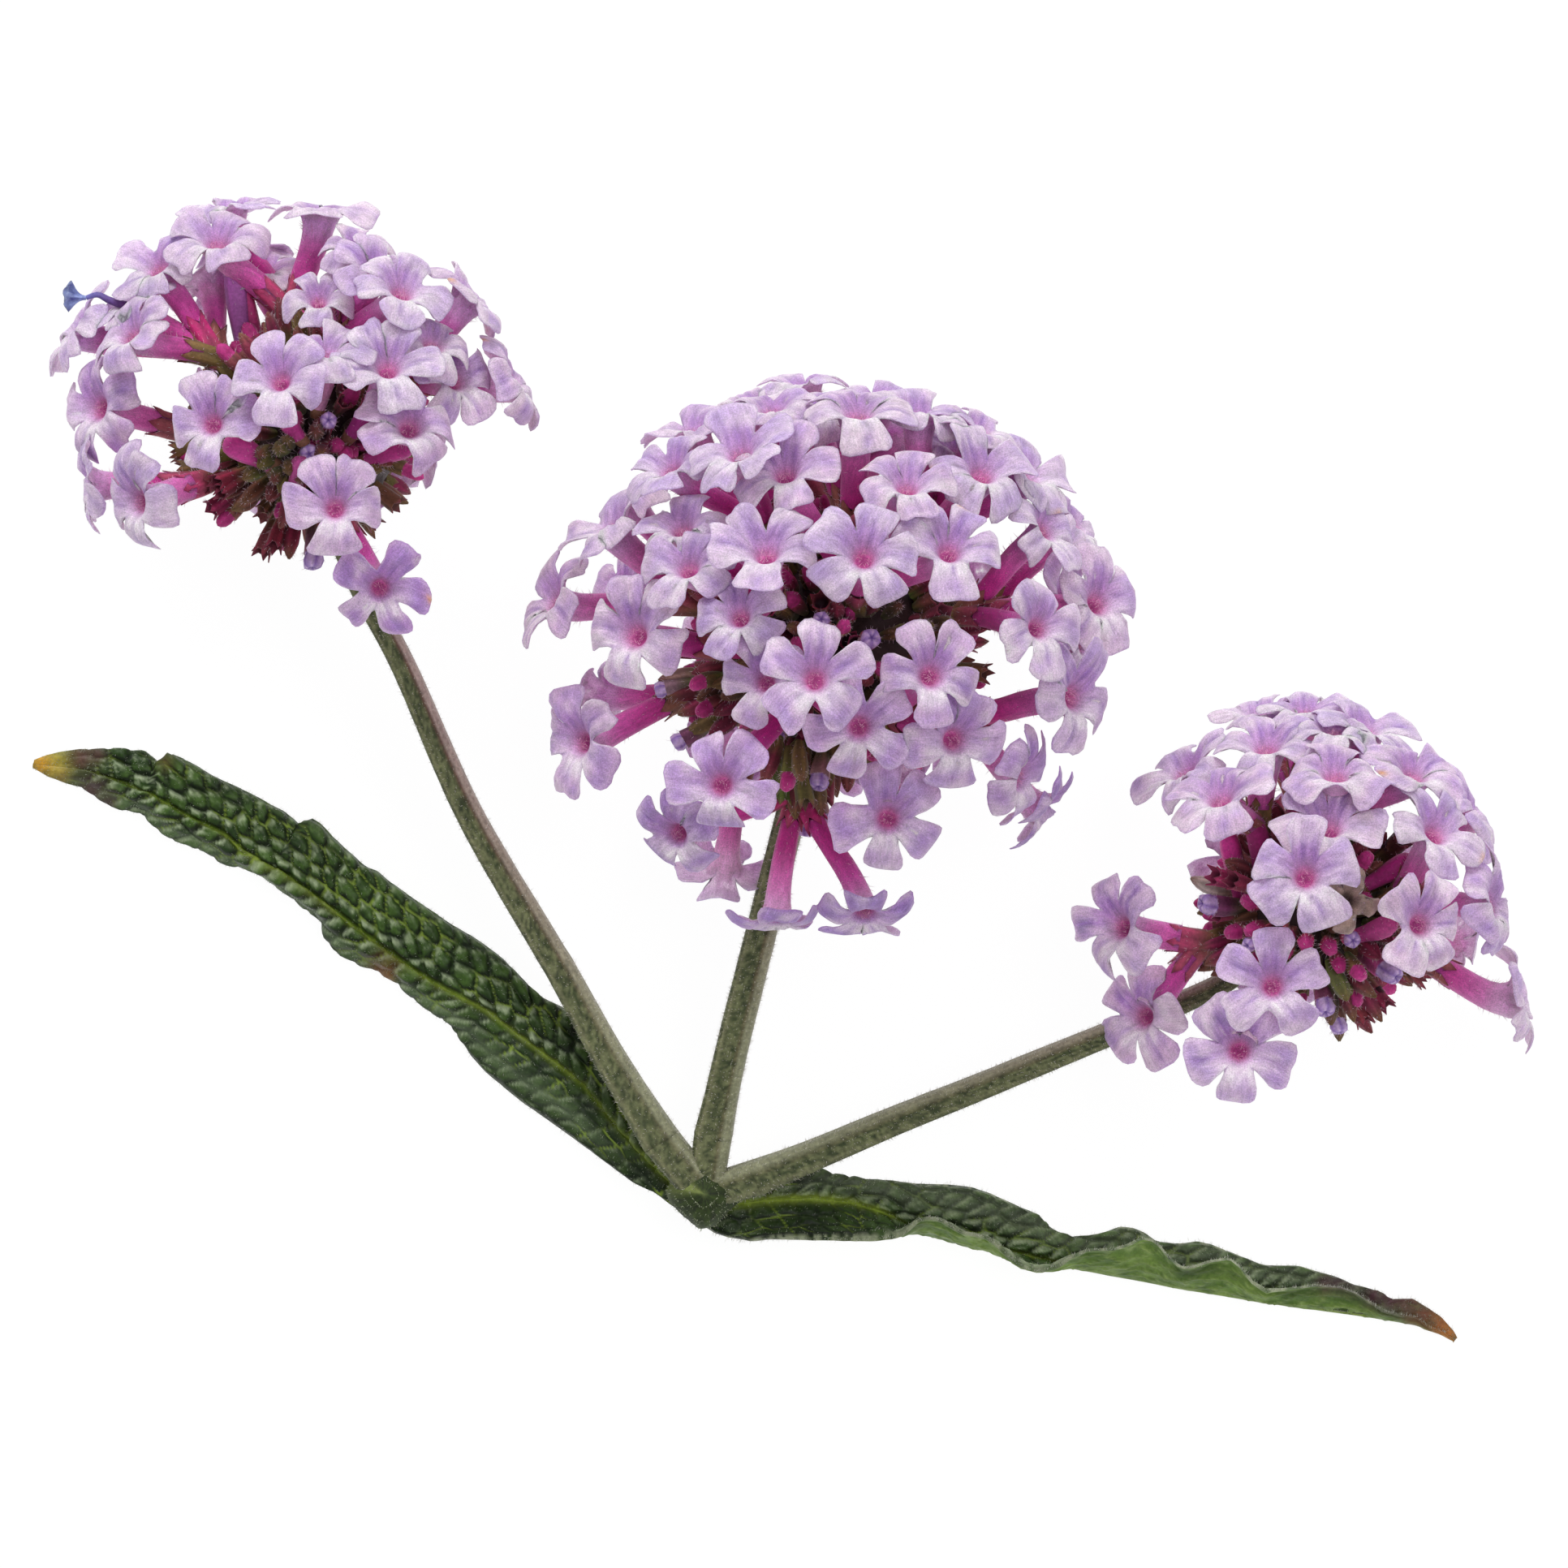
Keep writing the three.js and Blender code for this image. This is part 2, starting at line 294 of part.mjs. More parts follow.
// ---------- one floret: a curved tube that opens into five spreading lobes ----------
function tubePath(f) {
  const [b, T, N] = [BRANCHLETS[f[0]], A(f[1]), A(f[2]).normalize()];
  const head = HEADS[b[0]], C = A(head.centre), d = A(b[1]).normalize();
  const P0 = C.clone().addScaledVector(d, head.core + 1.7);
  const g = T.clone().sub(P0), L = g.length(); g.normalize();
  const P1 = P0.clone().addScaledVector(d.clone().multiplyScalar(0.45).addScaledVector(g, 0.75).normalize(), L * 0.36);
  const P2 = T.clone().addScaledVector(N, -L * 0.36);
  return new THREE.CubicBezierCurve3(P0, P1, P2, T);
}
function floret(f, pad) {
  const T = A(f[1]), N = A(f[2]).normalize(), s = f[4];
  const [e, m] = frameFor(N);
  const path = tubePath(f);
  const bear = f[3].map((x) => ((x % 360) + 360) % 360).sort((x, y) => x - y);
  const dir = (deg) => e.clone().multiplyScalar(Math.cos(deg * Math.PI / 180)).addScaledVector(m, Math.sin(deg * Math.PI / 180));
  const clefts = bear.map((x, i) => { let y = bear[(i + 1) % 5]; if (y <= x) y += 360; return (x + y) / 2; });
  const pts = [], tris = [];
  // tube rings, five corners each under a cleft
  const stops = [[0.0, CALYX_R], [0.42, CALYX_R * 0.92], [0.82, TUBE_R * 1.05]];
  const ref = dir(clefts[0]);
  for (const [t, r] of stops) {
    const c = path.getPoint(t), d = path.getTangent(t).normalize();
    const E = ref.clone().addScaledVector(d, -ref.dot(d)).normalize(), M = d.clone().cross(E);
    for (let i = 0; i < 5; i++) {
      const a = (clefts[i] - clefts[0]) * Math.PI / 180;
      pts.push(c.clone().addScaledVector(E, Math.cos(a) * (r * s + pad)).addScaledVector(M, Math.sin(a) * (r * s + pad)));
    }
  }
  // neck ring under the limb
  for (let i = 0; i < 5; i++) pts.push(T.clone().addScaledVector(N, -LIMB_T * s - pad).addScaledVector(dir(clefts[i]), 0.62 * s + pad));
  const R = stops.length + 1;
  for (let k = 0; k + 1 < R; k++) for (let i = 0; i < 5; i++) {
    const a = k * 5 + i, b = k * 5 + (i + 1) % 5;
    tris.push(a, b, b + 5, a, b + 5, a + 5);
  }
  for (let i = 1; i < 4; i++) tris.push(0, i + 1, i);
  // rim: cleft, then the two corners of the next lobe
  const rimLow = pts.length, rims = pad > 0 ? [-LIMB_T * 0.2 * s - pad, pad] : [0];
  for (const h of rims) for (let i = 0; i < 5; i++) {
    const c = T.clone().addScaledVector(N, h), lobe = bear[(i + 1) % 5], d = dir(lobe);
    const q = N.clone().cross(d);
    pts.push(c.clone().addScaledVector(dir(clefts[i]), (CLEFT_R * s) + pad));
    pts.push(c.clone().addScaledVector(d, LOBE_END * s + pad).addScaledVector(q, -LOBE_HALF * s - pad));
    pts.push(c.clone().addScaledVector(d, LOBE_END * s + pad).addScaledVector(q, LOBE_HALF * s + pad));
  }
  const neck = (R - 1) * 5;
  for (let i = 0; i < 5; i++) {
    const a = rimLow + i * 3, nx = rimLow + ((i + 1) % 5) * 3, k = neck + i, k2 = neck + (i + 1) % 5;
    tris.push(k, a + 1, a, k, k2, a + 1, k2, a + 2, a + 1, k2, nx, a + 2);
  }
  let rimTop = rimLow;
  if (pad > 0) {
    rimTop = rimLow + 15;
    for (let i = 0; i < 15; i++) { const a = rimLow + i, b = rimLow + (i + 1) % 15; tris.push(a, b, b + 15, a, b + 15, a + 15); }
  }
  const top = pts.length; pts.push(T.clone().addScaledVector(N, pad > 0 ? pad : 0.02 * s));
  for (let i = 0; i < 15; i++) tris.push(rimTop + i, rimTop + (i + 1) % 15, top);
  return geometryFrom(pts, outward(pts, tris));
}
function branchlet(i, pad) {
  const [h, dd] = BRANCHLETS[i];
  const d = A(dd).normalize(), C = A(HEADS[h].centre), r0 = HEADS[h].core;
  const ref = Math.abs(d.z) < 0.9 ? V(0, 0, 1) : V(1, 0, 0);
  const rings = [[r0 + GAP - pad, SPIKE_FOOT], [r0 + 1.9, SPIKE_FOOT * 0.96], [r0 + SPIKE_H, SPIKE_TOP]]
    .map(([t, r]) => sweepRing(C.clone().addScaledVector(d, t), d, ref, r + pad, 5, 0.2, false));
  let s = solidOf(loft(rings));
  for (const f of FLORETS) if (f[0] === i) s = s.add(solidOf(floret(f, pad)));
  return s;
}
const largest = (s) => s.decompose().sort((a, b) => b.volume() - a.volume())[0];

// ---------- stems ----------
function stem(points, radii, ref) {
  const path = new THREE.CatmullRomCurve3(points.map(A), false, 'centripetal');
  const rings = [], n = 12;
  for (let k = 0; k <= n; k++) {
    const t = k / n, d = path.getTangentAt(t).normalize();
    const flare = 1 + 0.16 * Math.exp(-t * 14);
    rings.push(sweepRing(path.getPointAt(t), d, ref, (radii[0] + (radii[1] - radii[0]) * t) * flare, 8, Math.PI / 8, true));
  }
  return loft(rings);
}
// ---------- leaves: blade lofted across far margin, vein and near margin ----------
function leaf(stations, bulge) {
  // each station: far margin, midrib, near margin; two extra points between them follow the bulge
  const cols = [];
  for (const [a, m, b] of stations) {
    const P = A(a), M = A(m), Q = A(b);
    const k = Math.min(1, (P.distanceTo(M) + Q.distanceTo(M)) / 5);
    cols.push([P, P.clone().lerp(M, 0.5).add(V(0, 0, bulge[0] * k)), M, Q.clone().lerp(M, 0.5).add(V(0, bulge[2] * k, bulge[1] * k)), Q]);
  }
  const n = cols.length, W = 5, top = [], low = [], tris = [];
  const at = (i, j) => cols[Math.max(0, Math.min(n - 1, i))][Math.max(0, Math.min(W - 1, j))];
  for (let i = 0; i < n; i++) for (let j = 0; j < W; j++) {
    const du = at(i + 1, j).clone().sub(at(i - 1, j)), dv = at(i, j + 1).clone().sub(at(i, j - 1));
    const nn = dv.cross(du).normalize();
    const t = LEAF_T * (j === 0 || j === W - 1 ? 0.30 : 0.5) * (i === 0 || i === n - 1 ? 0.8 : 1);
    top.push(at(i, j).clone().addScaledVector(nn, t)); low.push(at(i, j).clone().addScaledVector(nn, -t));
  }
  const pts = top.concat(low), o = top.length;
  const id = (i, j) => i * W + j;
  for (let i = 0; i + 1 < n; i++) for (let j = 0; j + 1 < W; j++) {
    const a = id(i, j), b = id(i, j + 1), c = id(i + 1, j + 1), d = id(i + 1, j);
    tris.push(a, b, c, a, c, d, a + o, c + o, b + o, a + o, d + o, c + o);
  }
  for (let i = 0; i + 1 < n; i++) for (const j of [0, W - 1]) {
    const a = id(i, j), d = id(i + 1, j);
    if (j === 0) tris.push(a, d, d + o, a, d + o, a + o); else tris.push(a, a + o, d + o, a, d + o, d);
  }
  for (let j = 0; j + 1 < W; j++) for (const i of [0, n - 1]) {
    const a = id(i, j), b = id(i, j + 1);
    if (i === 0) tris.push(a, a + o, b + o, a, b + o, b); else tris.push(a, b, b + o, a, b + o, a + o);
  }
  return geometryFrom(pts, outward(pts, tris));
}

// ---------- assembly ----------
const group = new THREE.Group();
const MAT = {
  stem: new THREE.MeshStandardMaterial({ color: 0x55613c, roughness: 0.75, metalness: 0 }),
  leaf: new THREE.MeshStandardMaterial({ color: 0x3d5a2c, roughness: 0.7, metalness: 0 }),
  core: new THREE.MeshStandardMaterial({ color: 0x4a1c2c, roughness: 0.85, metalness: 0 }),
  petal: new THREE.MeshStandardMaterial({ color: 0xb49ad0, roughness: 0.6, metalness: 0, side: THREE.FrontSide }),
};
function addPiece(name, geometry, material) {
  const m = new THREE.Mesh(geometry, material);
  m.name = name;
  group.add(m);
  return m;
}

// the node where the sprig was cut: a short stub under it, and three arms that carry the stems
const NODE = [-4.53, -23.31, 3.4];
const STEMS = {
  left: [[-7.02, -20.28, 4.1], [-10.01, -15.41, 4.8], [-12.54, -10.78, 5.6], [-13.63, -8.94, 5.9], [-17.88, -1.56, 7.1], [-21.52, 6.7, 8.4], [-23.73, 10.81, 9.2], [-24.98, 13.82, 10]],
  centre: [[-4.02, -19.91, 4], [-3.04, -15.4, 5.4], [-1.89, -10.76, 6.9], [-0.73, -6.15, 8.6], [0.55, -1.1, 10.6], [1.19, 0.96, 11.4]],
  right: [[-1.57, -22.41, 3.9], [1.57, -21.15, 4.4], [6.18, -19.18, 5.2], [10.78, -17.32, 6], [15.36, -15.41, 6.8], [19.93, -13.5, 7.7], [24.49, -11.42, 8.7], [25.71, -10.49, 9.1]],
};
{
  const stub = [[0, 1.15], [1.5, 1.15], [2.5, 1.7], [3.5, 1.85], [4.5, 1.15]].map(([z, r]) =>
    sweepRing(V(NODE[0], NODE[1], z), V(0, 0, 1), V(1, 0, 0), r, 8, Math.PI / 8, true));
  let s = solidOf(loft(stub));
  for (const k of ['left', 'centre', 'right']) {
    const end = A(STEMS[k][0]), from = A(NODE), dir = A(STEMS[k][1]).sub(end).normalize();
    const stop = end.clone().addScaledVector(dir, -GAP);
    const mid = from.clone().lerp(stop, 0.5);
    const r = STEM_R[k][0];
    s = s.add(solidOf(loft([
      sweepRing(from, stop.clone().sub(from).normalize(), V(0, 0, 1), r * 0.9, 8, Math.PI / 8, true),
      sweepRing(mid, stop.clone().sub(from).normalize(), V(0, 0, 1), r, 8, Math.PI / 8, true),
      sweepRing(stop, dir, V(0, 0, 1), r, 8, Math.PI / 8, true)])));
  }
  addPiece('stem_node', geometryOf(s), MAT.stem);
}
for (const k of ['left', 'centre', 'right']) addPiece('stem_' + k, stem(STEMS[k], STEM_R[k], V(0, 0, 1)), MAT.stem);

// the pair of opposite leaves
const LEAVES = {
  left: [
    [[-6.68, -20.68, 1.9], [-7.14, -21.98, 1.9], [-7.42, -23.27, 2]],
    [[-8.16, -18.74, 1.6], [-8.63, -20.37, 1.5], [-9.56, -22.08, 1.5]],
    [[-9.79, -16.19, 1.4], [-10.26, -18.38, 1.2], [-11.65, -20.61, 1]],
    [[-11.42, -14.01, 1.3], [-12.12, -16.67, 1.1], [-13.98, -18.95, 0.7]],
    [[-12.81, -12.81, 1.2], [-14.11, -15.09, 1], [-15.85, -17.61, 0.5]],
    [[-14.67, -11.42, 1.1], [-16.06, -13.65, 1], [-17.47, -16.03, 0.4]],
    [[-16.53, -9.7, 1], [-17.92, -12.35, 1], [-18.64, -14.6, 0.3]],
    [[-18.39, -8.45, 1], [-19.78, -11.47, 1], [-20.03, -13.11, 0.3]],
    [[-20.47, -7.06, 1.1], [-21.73, -10.21, 1.1], [-21.66, -11.71, 0.3]],
    [[-22.33, -5.76, 1.1], [-23.58, -8.77, 1.1], [-23.43, -10.5, 0.3]],
    [[-23.95, -4.69, 1.1], [-25.11, -7.52, 1.1], [-25.14, -9.9, 0.4]],
    [[-25.57, -3.25, 1.2], [-26.65, -6.5, 1.1], [-26.17, -8.55, 0.4]],
    [[-26.96, -2, 1.3], [-28.13, -5.43, 1.2], [-27.61, -6.83, 0.3]],
    [[-28.6, -1.58, 1.1], [-29.9, -4.46, 1.1], [-29.33, -5.48, 0.3]],
    [[-30.45, -0.6, 1.1], [-31.61, -3.25, 1.1], [-31.18, -4.65, 0.4]],
    [[-32.54, 0.42, 1.1], [-33.7, -1.95, 1.1], [-33.28, -3.76, 0.4]],
    [[-34.72, 1.58, 1.2], [-35.33, -1.11, 1.1], [-35.04, -3.11, 0.5]],
    [[-36.03, 1.44, 1], [-36.96, -0.28, 1], [-36.62, -1.67, 0.5]],
    [[-38.36, 1.95, 0.9], [-38.91, 0.42, 0.9], [-38.85, -1.07, 0.5]],
    [[-40.92, 1.86, 0.7], [-41.16, 0.93, 0.7], [-40.94, 0.09, 0.5]],
    [[-42.66, 1.44, 0.5], [-42.94, 1.21, 0.5], [-42.66, 0.88, 0.45]],
  ],
  right: [
    [[-1.9, -22.54, 1.6], [-2.83, -23.92, 1.9], [-2.36, -25.76, 2.3]],
    [[-0.05, -22.28, 1.2], [-0.74, -23.75, 1.6], [-0.51, -25.89, 2.6]],
    [[2.04, -22.05, 1], [1.58, -23.71, 1.4], [1.81, -25.88, 2.8]],
    [[3.9, -22.57, 0.8], [3.9, -23.99, 1.3], [4.12, -25.87, 3]],
    [[5.76, -22.62, 0.8], [5.76, -24.6, 1.2], [5.97, -25.67, 3.4]],
    [[7.62, -22.85, 0.9], [7.38, -25.53, 1.1], [7.35, -24.91, 3.9]],
    [[9.24, -22.99, 0.8], [9.01, -26, 1.1], [8.73, -24.71, 4.2]],
    [[10.87, -23.13, 0.7], [10.63, -26.42, 1], [10.35, -25.5, 4]],
    [[12.73, -23.88, 0.6], [12.35, -26.84, 1], [12.11, -26.12, 3.7]],
    [[14.36, -24.58, 0.6], [14.02, -27.21, 1], [13.69, -27.48, 3.3]],
    [[15.52, -25.6, 0.6], [15.51, -27.49, 1], [15.45, -27.48, 3.2]],
    [[17.37, -25.87, 0.7], [17.37, -27.86, 0.9], [17.29, -26.49, 3.6]],
    [[19.46, -25.36, 0.8], [19.46, -28.28, 0.9], [19.36, -26.29, 3.9]],
    [[21.09, -26.01, 0.7], [21.31, -28.65, 0.9], [20.61, -25.83, 4]],
    [[22.72, -26.39, 0.6], [23.17, -28.98, 0.9], [22.48, -27.48, 3.3]],
    [[24.34, -26.34, 0.6], [25.03, -29.31, 0.8], [24.71, -27.11, 3.2]],
    [[26.44, -27.13, 0.6], [27.12, -29.59, 0.8], [26.8, -28.42, 2.8]],
    [[29, -27.6, 0.5], [29.45, -29.92, 0.7], [29.13, -28.76, 2.6]],
    [[31.32, -28.21, 0.5], [31.77, -30.29, 0.7], [31.46, -28.68, 2.3]],
    [[33.64, -28.86, 0.5], [34.1, -30.62, 0.6], [33.95, -29.96, 1.7]],
    [[35.73, -29.41, 0.5], [36.05, -30.94, 0.6], [35.69, -30.4, 1.3]],
    [[37.5, -30.44, 0.45], [37.55, -31.23, 0.5], [37.38, -31.07, 0.9]],
    [[38.25, -31.37, 0.4], [38.39, -31.7, 0.4], [38.19, -31.78, 0.55]],
  ],
};
for (const [k, bulge] of [['left', [0.45, 0.45, 0]], ['right', [0.25, 0.15, -0.35]]]) {
  const g = leaf(LEAVES[k], bulge);
  g.computeBoundingBox();
  g.translate(0, 0, -g.boundingBox.min.z); // it lies on the table
  addPiece('leaf_' + k, g, MAT.leaf);
}
// a small bract under the right flower head
addPiece('bract_right', loft([
  [V(24.56, -9.99, 9.2), V(24.43, -10.27, 9.0), V(24.53, -10.18, 8.8), V(24.66, -9.9, 9.0)],
  [V(24.13, -9.57, 9.5), V(23.96, -10.26, 9.2), V(24.11, -10.13, 8.9), V(24.29, -9.53, 9.1)],
  [V(23.54, -9.62, 9.4), V(23.5, -9.76, 9.3), V(23.6, -9.81, 9.1), V(23.64, -9.58, 9.2)],
]), MAT.leaf);

// receptacles: the crowded middle of each head
for (const h of Object.keys(HEADS)) {
  const g = new THREE.SphereGeometry(HEADS[h].core, 12, 8);
  g.translate(...HEADS[h].centre);
  addPiece('receptacle_' + h, g, MAT.core);
}

// florets, in the groups that share a branchlet
const made = [], keep = [], stemRoom = {};
const count = {};
for (const h of Object.keys(HEADS)) stemRoom[h] = solidOf(stem(STEMS[h], STEM_R[h].map((r) => r + 0.15), V(0, 0, 1)));
for (let i = 0; i < BRANCHLETS.length; i++) {
  let s = branchlet(i, 0);
  const near = stemRoom[BRANCHLETS[i][0]];
  if (s.intersect(near).volume() > 2e-4) s = largest(s.subtract(near));
  for (let j = 0; j < i; j++) {
    if (BRANCHLETS[j][0] !== BRANCHLETS[i][0]) continue;
    if (s.intersect(made[j]).volume() < 2e-4) continue;
    if (!keep[j]) keep[j] = branchlet(j, 0.12);
    s = largest(s.subtract(keep[j]));
  }
  made.push(s);
  const h = BRANCHLETS[i][0];
  count[h] = (count[h] || 0) + 1;
  addPiece('florets_' + h + '_' + String(count[h]).padStart(2, '0'), geometryOf(s), MAT.petal);
}


group.position.set(SHIFT[0], SHIFT[1], SHIFT[2]);
const sprig = new THREE.Group();
sprig.add(group);
sprig.updateMatrixWorld(true);
export default sprig;
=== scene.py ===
# A cut sprig of tall verbena lying on a pale table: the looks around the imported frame.
# Lengths in this script are millimetres in the sprig's own frame until a mesh is made.
import math
import bpy
import numpy as np
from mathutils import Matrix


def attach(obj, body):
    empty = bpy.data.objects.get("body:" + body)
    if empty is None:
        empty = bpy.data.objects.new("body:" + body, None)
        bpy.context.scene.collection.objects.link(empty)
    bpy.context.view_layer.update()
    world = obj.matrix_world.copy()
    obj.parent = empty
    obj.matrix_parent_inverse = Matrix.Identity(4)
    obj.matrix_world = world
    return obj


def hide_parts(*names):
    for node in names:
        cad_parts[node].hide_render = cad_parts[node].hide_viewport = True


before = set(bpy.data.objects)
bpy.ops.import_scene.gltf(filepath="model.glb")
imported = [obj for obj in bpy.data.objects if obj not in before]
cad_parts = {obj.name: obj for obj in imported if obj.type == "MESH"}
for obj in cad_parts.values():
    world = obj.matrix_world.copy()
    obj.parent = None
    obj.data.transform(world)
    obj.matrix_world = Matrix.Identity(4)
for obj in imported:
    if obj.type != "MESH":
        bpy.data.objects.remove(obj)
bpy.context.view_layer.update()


SHIFT = np.array([0.285, -0.834, 0.0])
HEADS = {
    "centre": {"centre": (2.911, 7.55, 13.106), "core": 6.4},
    "left": {"centre": (-26.544, 19.463, 10.497), "core": 5},
    "right": {"centre": (29.904, -7.042, 9.945), "core": 4.6},
}
# branchlets: head, direction from the head's centre
BRANCHLETS = [
    ("centre", (0.095, 0.773, 0.627)),
    ("centre", (0.316, -0.432, 0.845)),
    ("centre", (0.842, 0.226, 0.49)),
    ("centre", (-0.116, -0.108, -0.987)),
    ("centre", (-0.316, 0.501, -0.806)),
    ("centre", (0.138, 0.338, 0.931)),
    ("centre", (0.258, -0.478, -0.84)),
    ("centre", (0.919, 0.24, -0.314)),
    ("centre", (0.476, 0.43, -0.767)),
    ("centre", (-0.429, 0.77, 0.472)),
    ("centre", (-0.76, 0.271, -0.591)),
    ("centre", (-0.765, -0.009, 0.644)),
    ("centre", (-0.191, -0.262, 0.946)),
    ("centre", (-0.251, -0.921, 0.296)),
    ("centre", (-0.942, 0.306, 0.136)),
    ("centre", (-0.561, -0.617, -0.552)),
    ("centre", (-0.399, 0.317, 0.86)),
    ("centre", (-0.936, -0.269, -0.226)),
    ("centre", (-0.074, 0.992, -0.106)),
    ("centre", (0.807, -0.455, 0.375)),
    ("centre", (0.575, 0.716, 0.396)),
    ("left", (0.584, -0.163, -0.795)),
    ("left", (0.806, 0.422, 0.414)),
    ("left", (-0.168, 0.986, -0.012)),
    ("left", (0.224, -0.569, 0.791)),
    ("left", (0.23, 0.751, 0.619)),
    ("left", (-0.215, 0.245, 0.946)),
    ("left", (-0.105, -0.395, -0.913)),
    ("left", (0.022, 0.47, -0.882)),
    ("left", (-0.856, -0.362, 0.37)),
    ("left", (-0.989, 0.06, -0.135)),
    ("left", (0.454, 0.078, 0.888)),
    ("left", (-0.67, -0.02, -0.742)),
    ("left", (-0.758, 0.648, 0.075)),
    ("right", (0.121, -0.291, -0.949)),
    ("right", (-0.647, 0.145, -0.749)),
    ("right", (0.249, 0.81, 0.531)),
    ("right", (-0.502, 0.693, 0.518)),
    ("right", (0.881, -0.401, -0.25)),
    ("right", (0.692, 0.115, 0.712)),
    ("right", (0.232, 0.496, -0.837)),
    ("right", (-0.948, -0.29, 0.13)),
    ("right", (-0.152, 0.984, -0.088)),
    ("right", (-0.337, -0.55, 0.764)),
    ("right", (-0.008, 0.205, 0.979)),
]
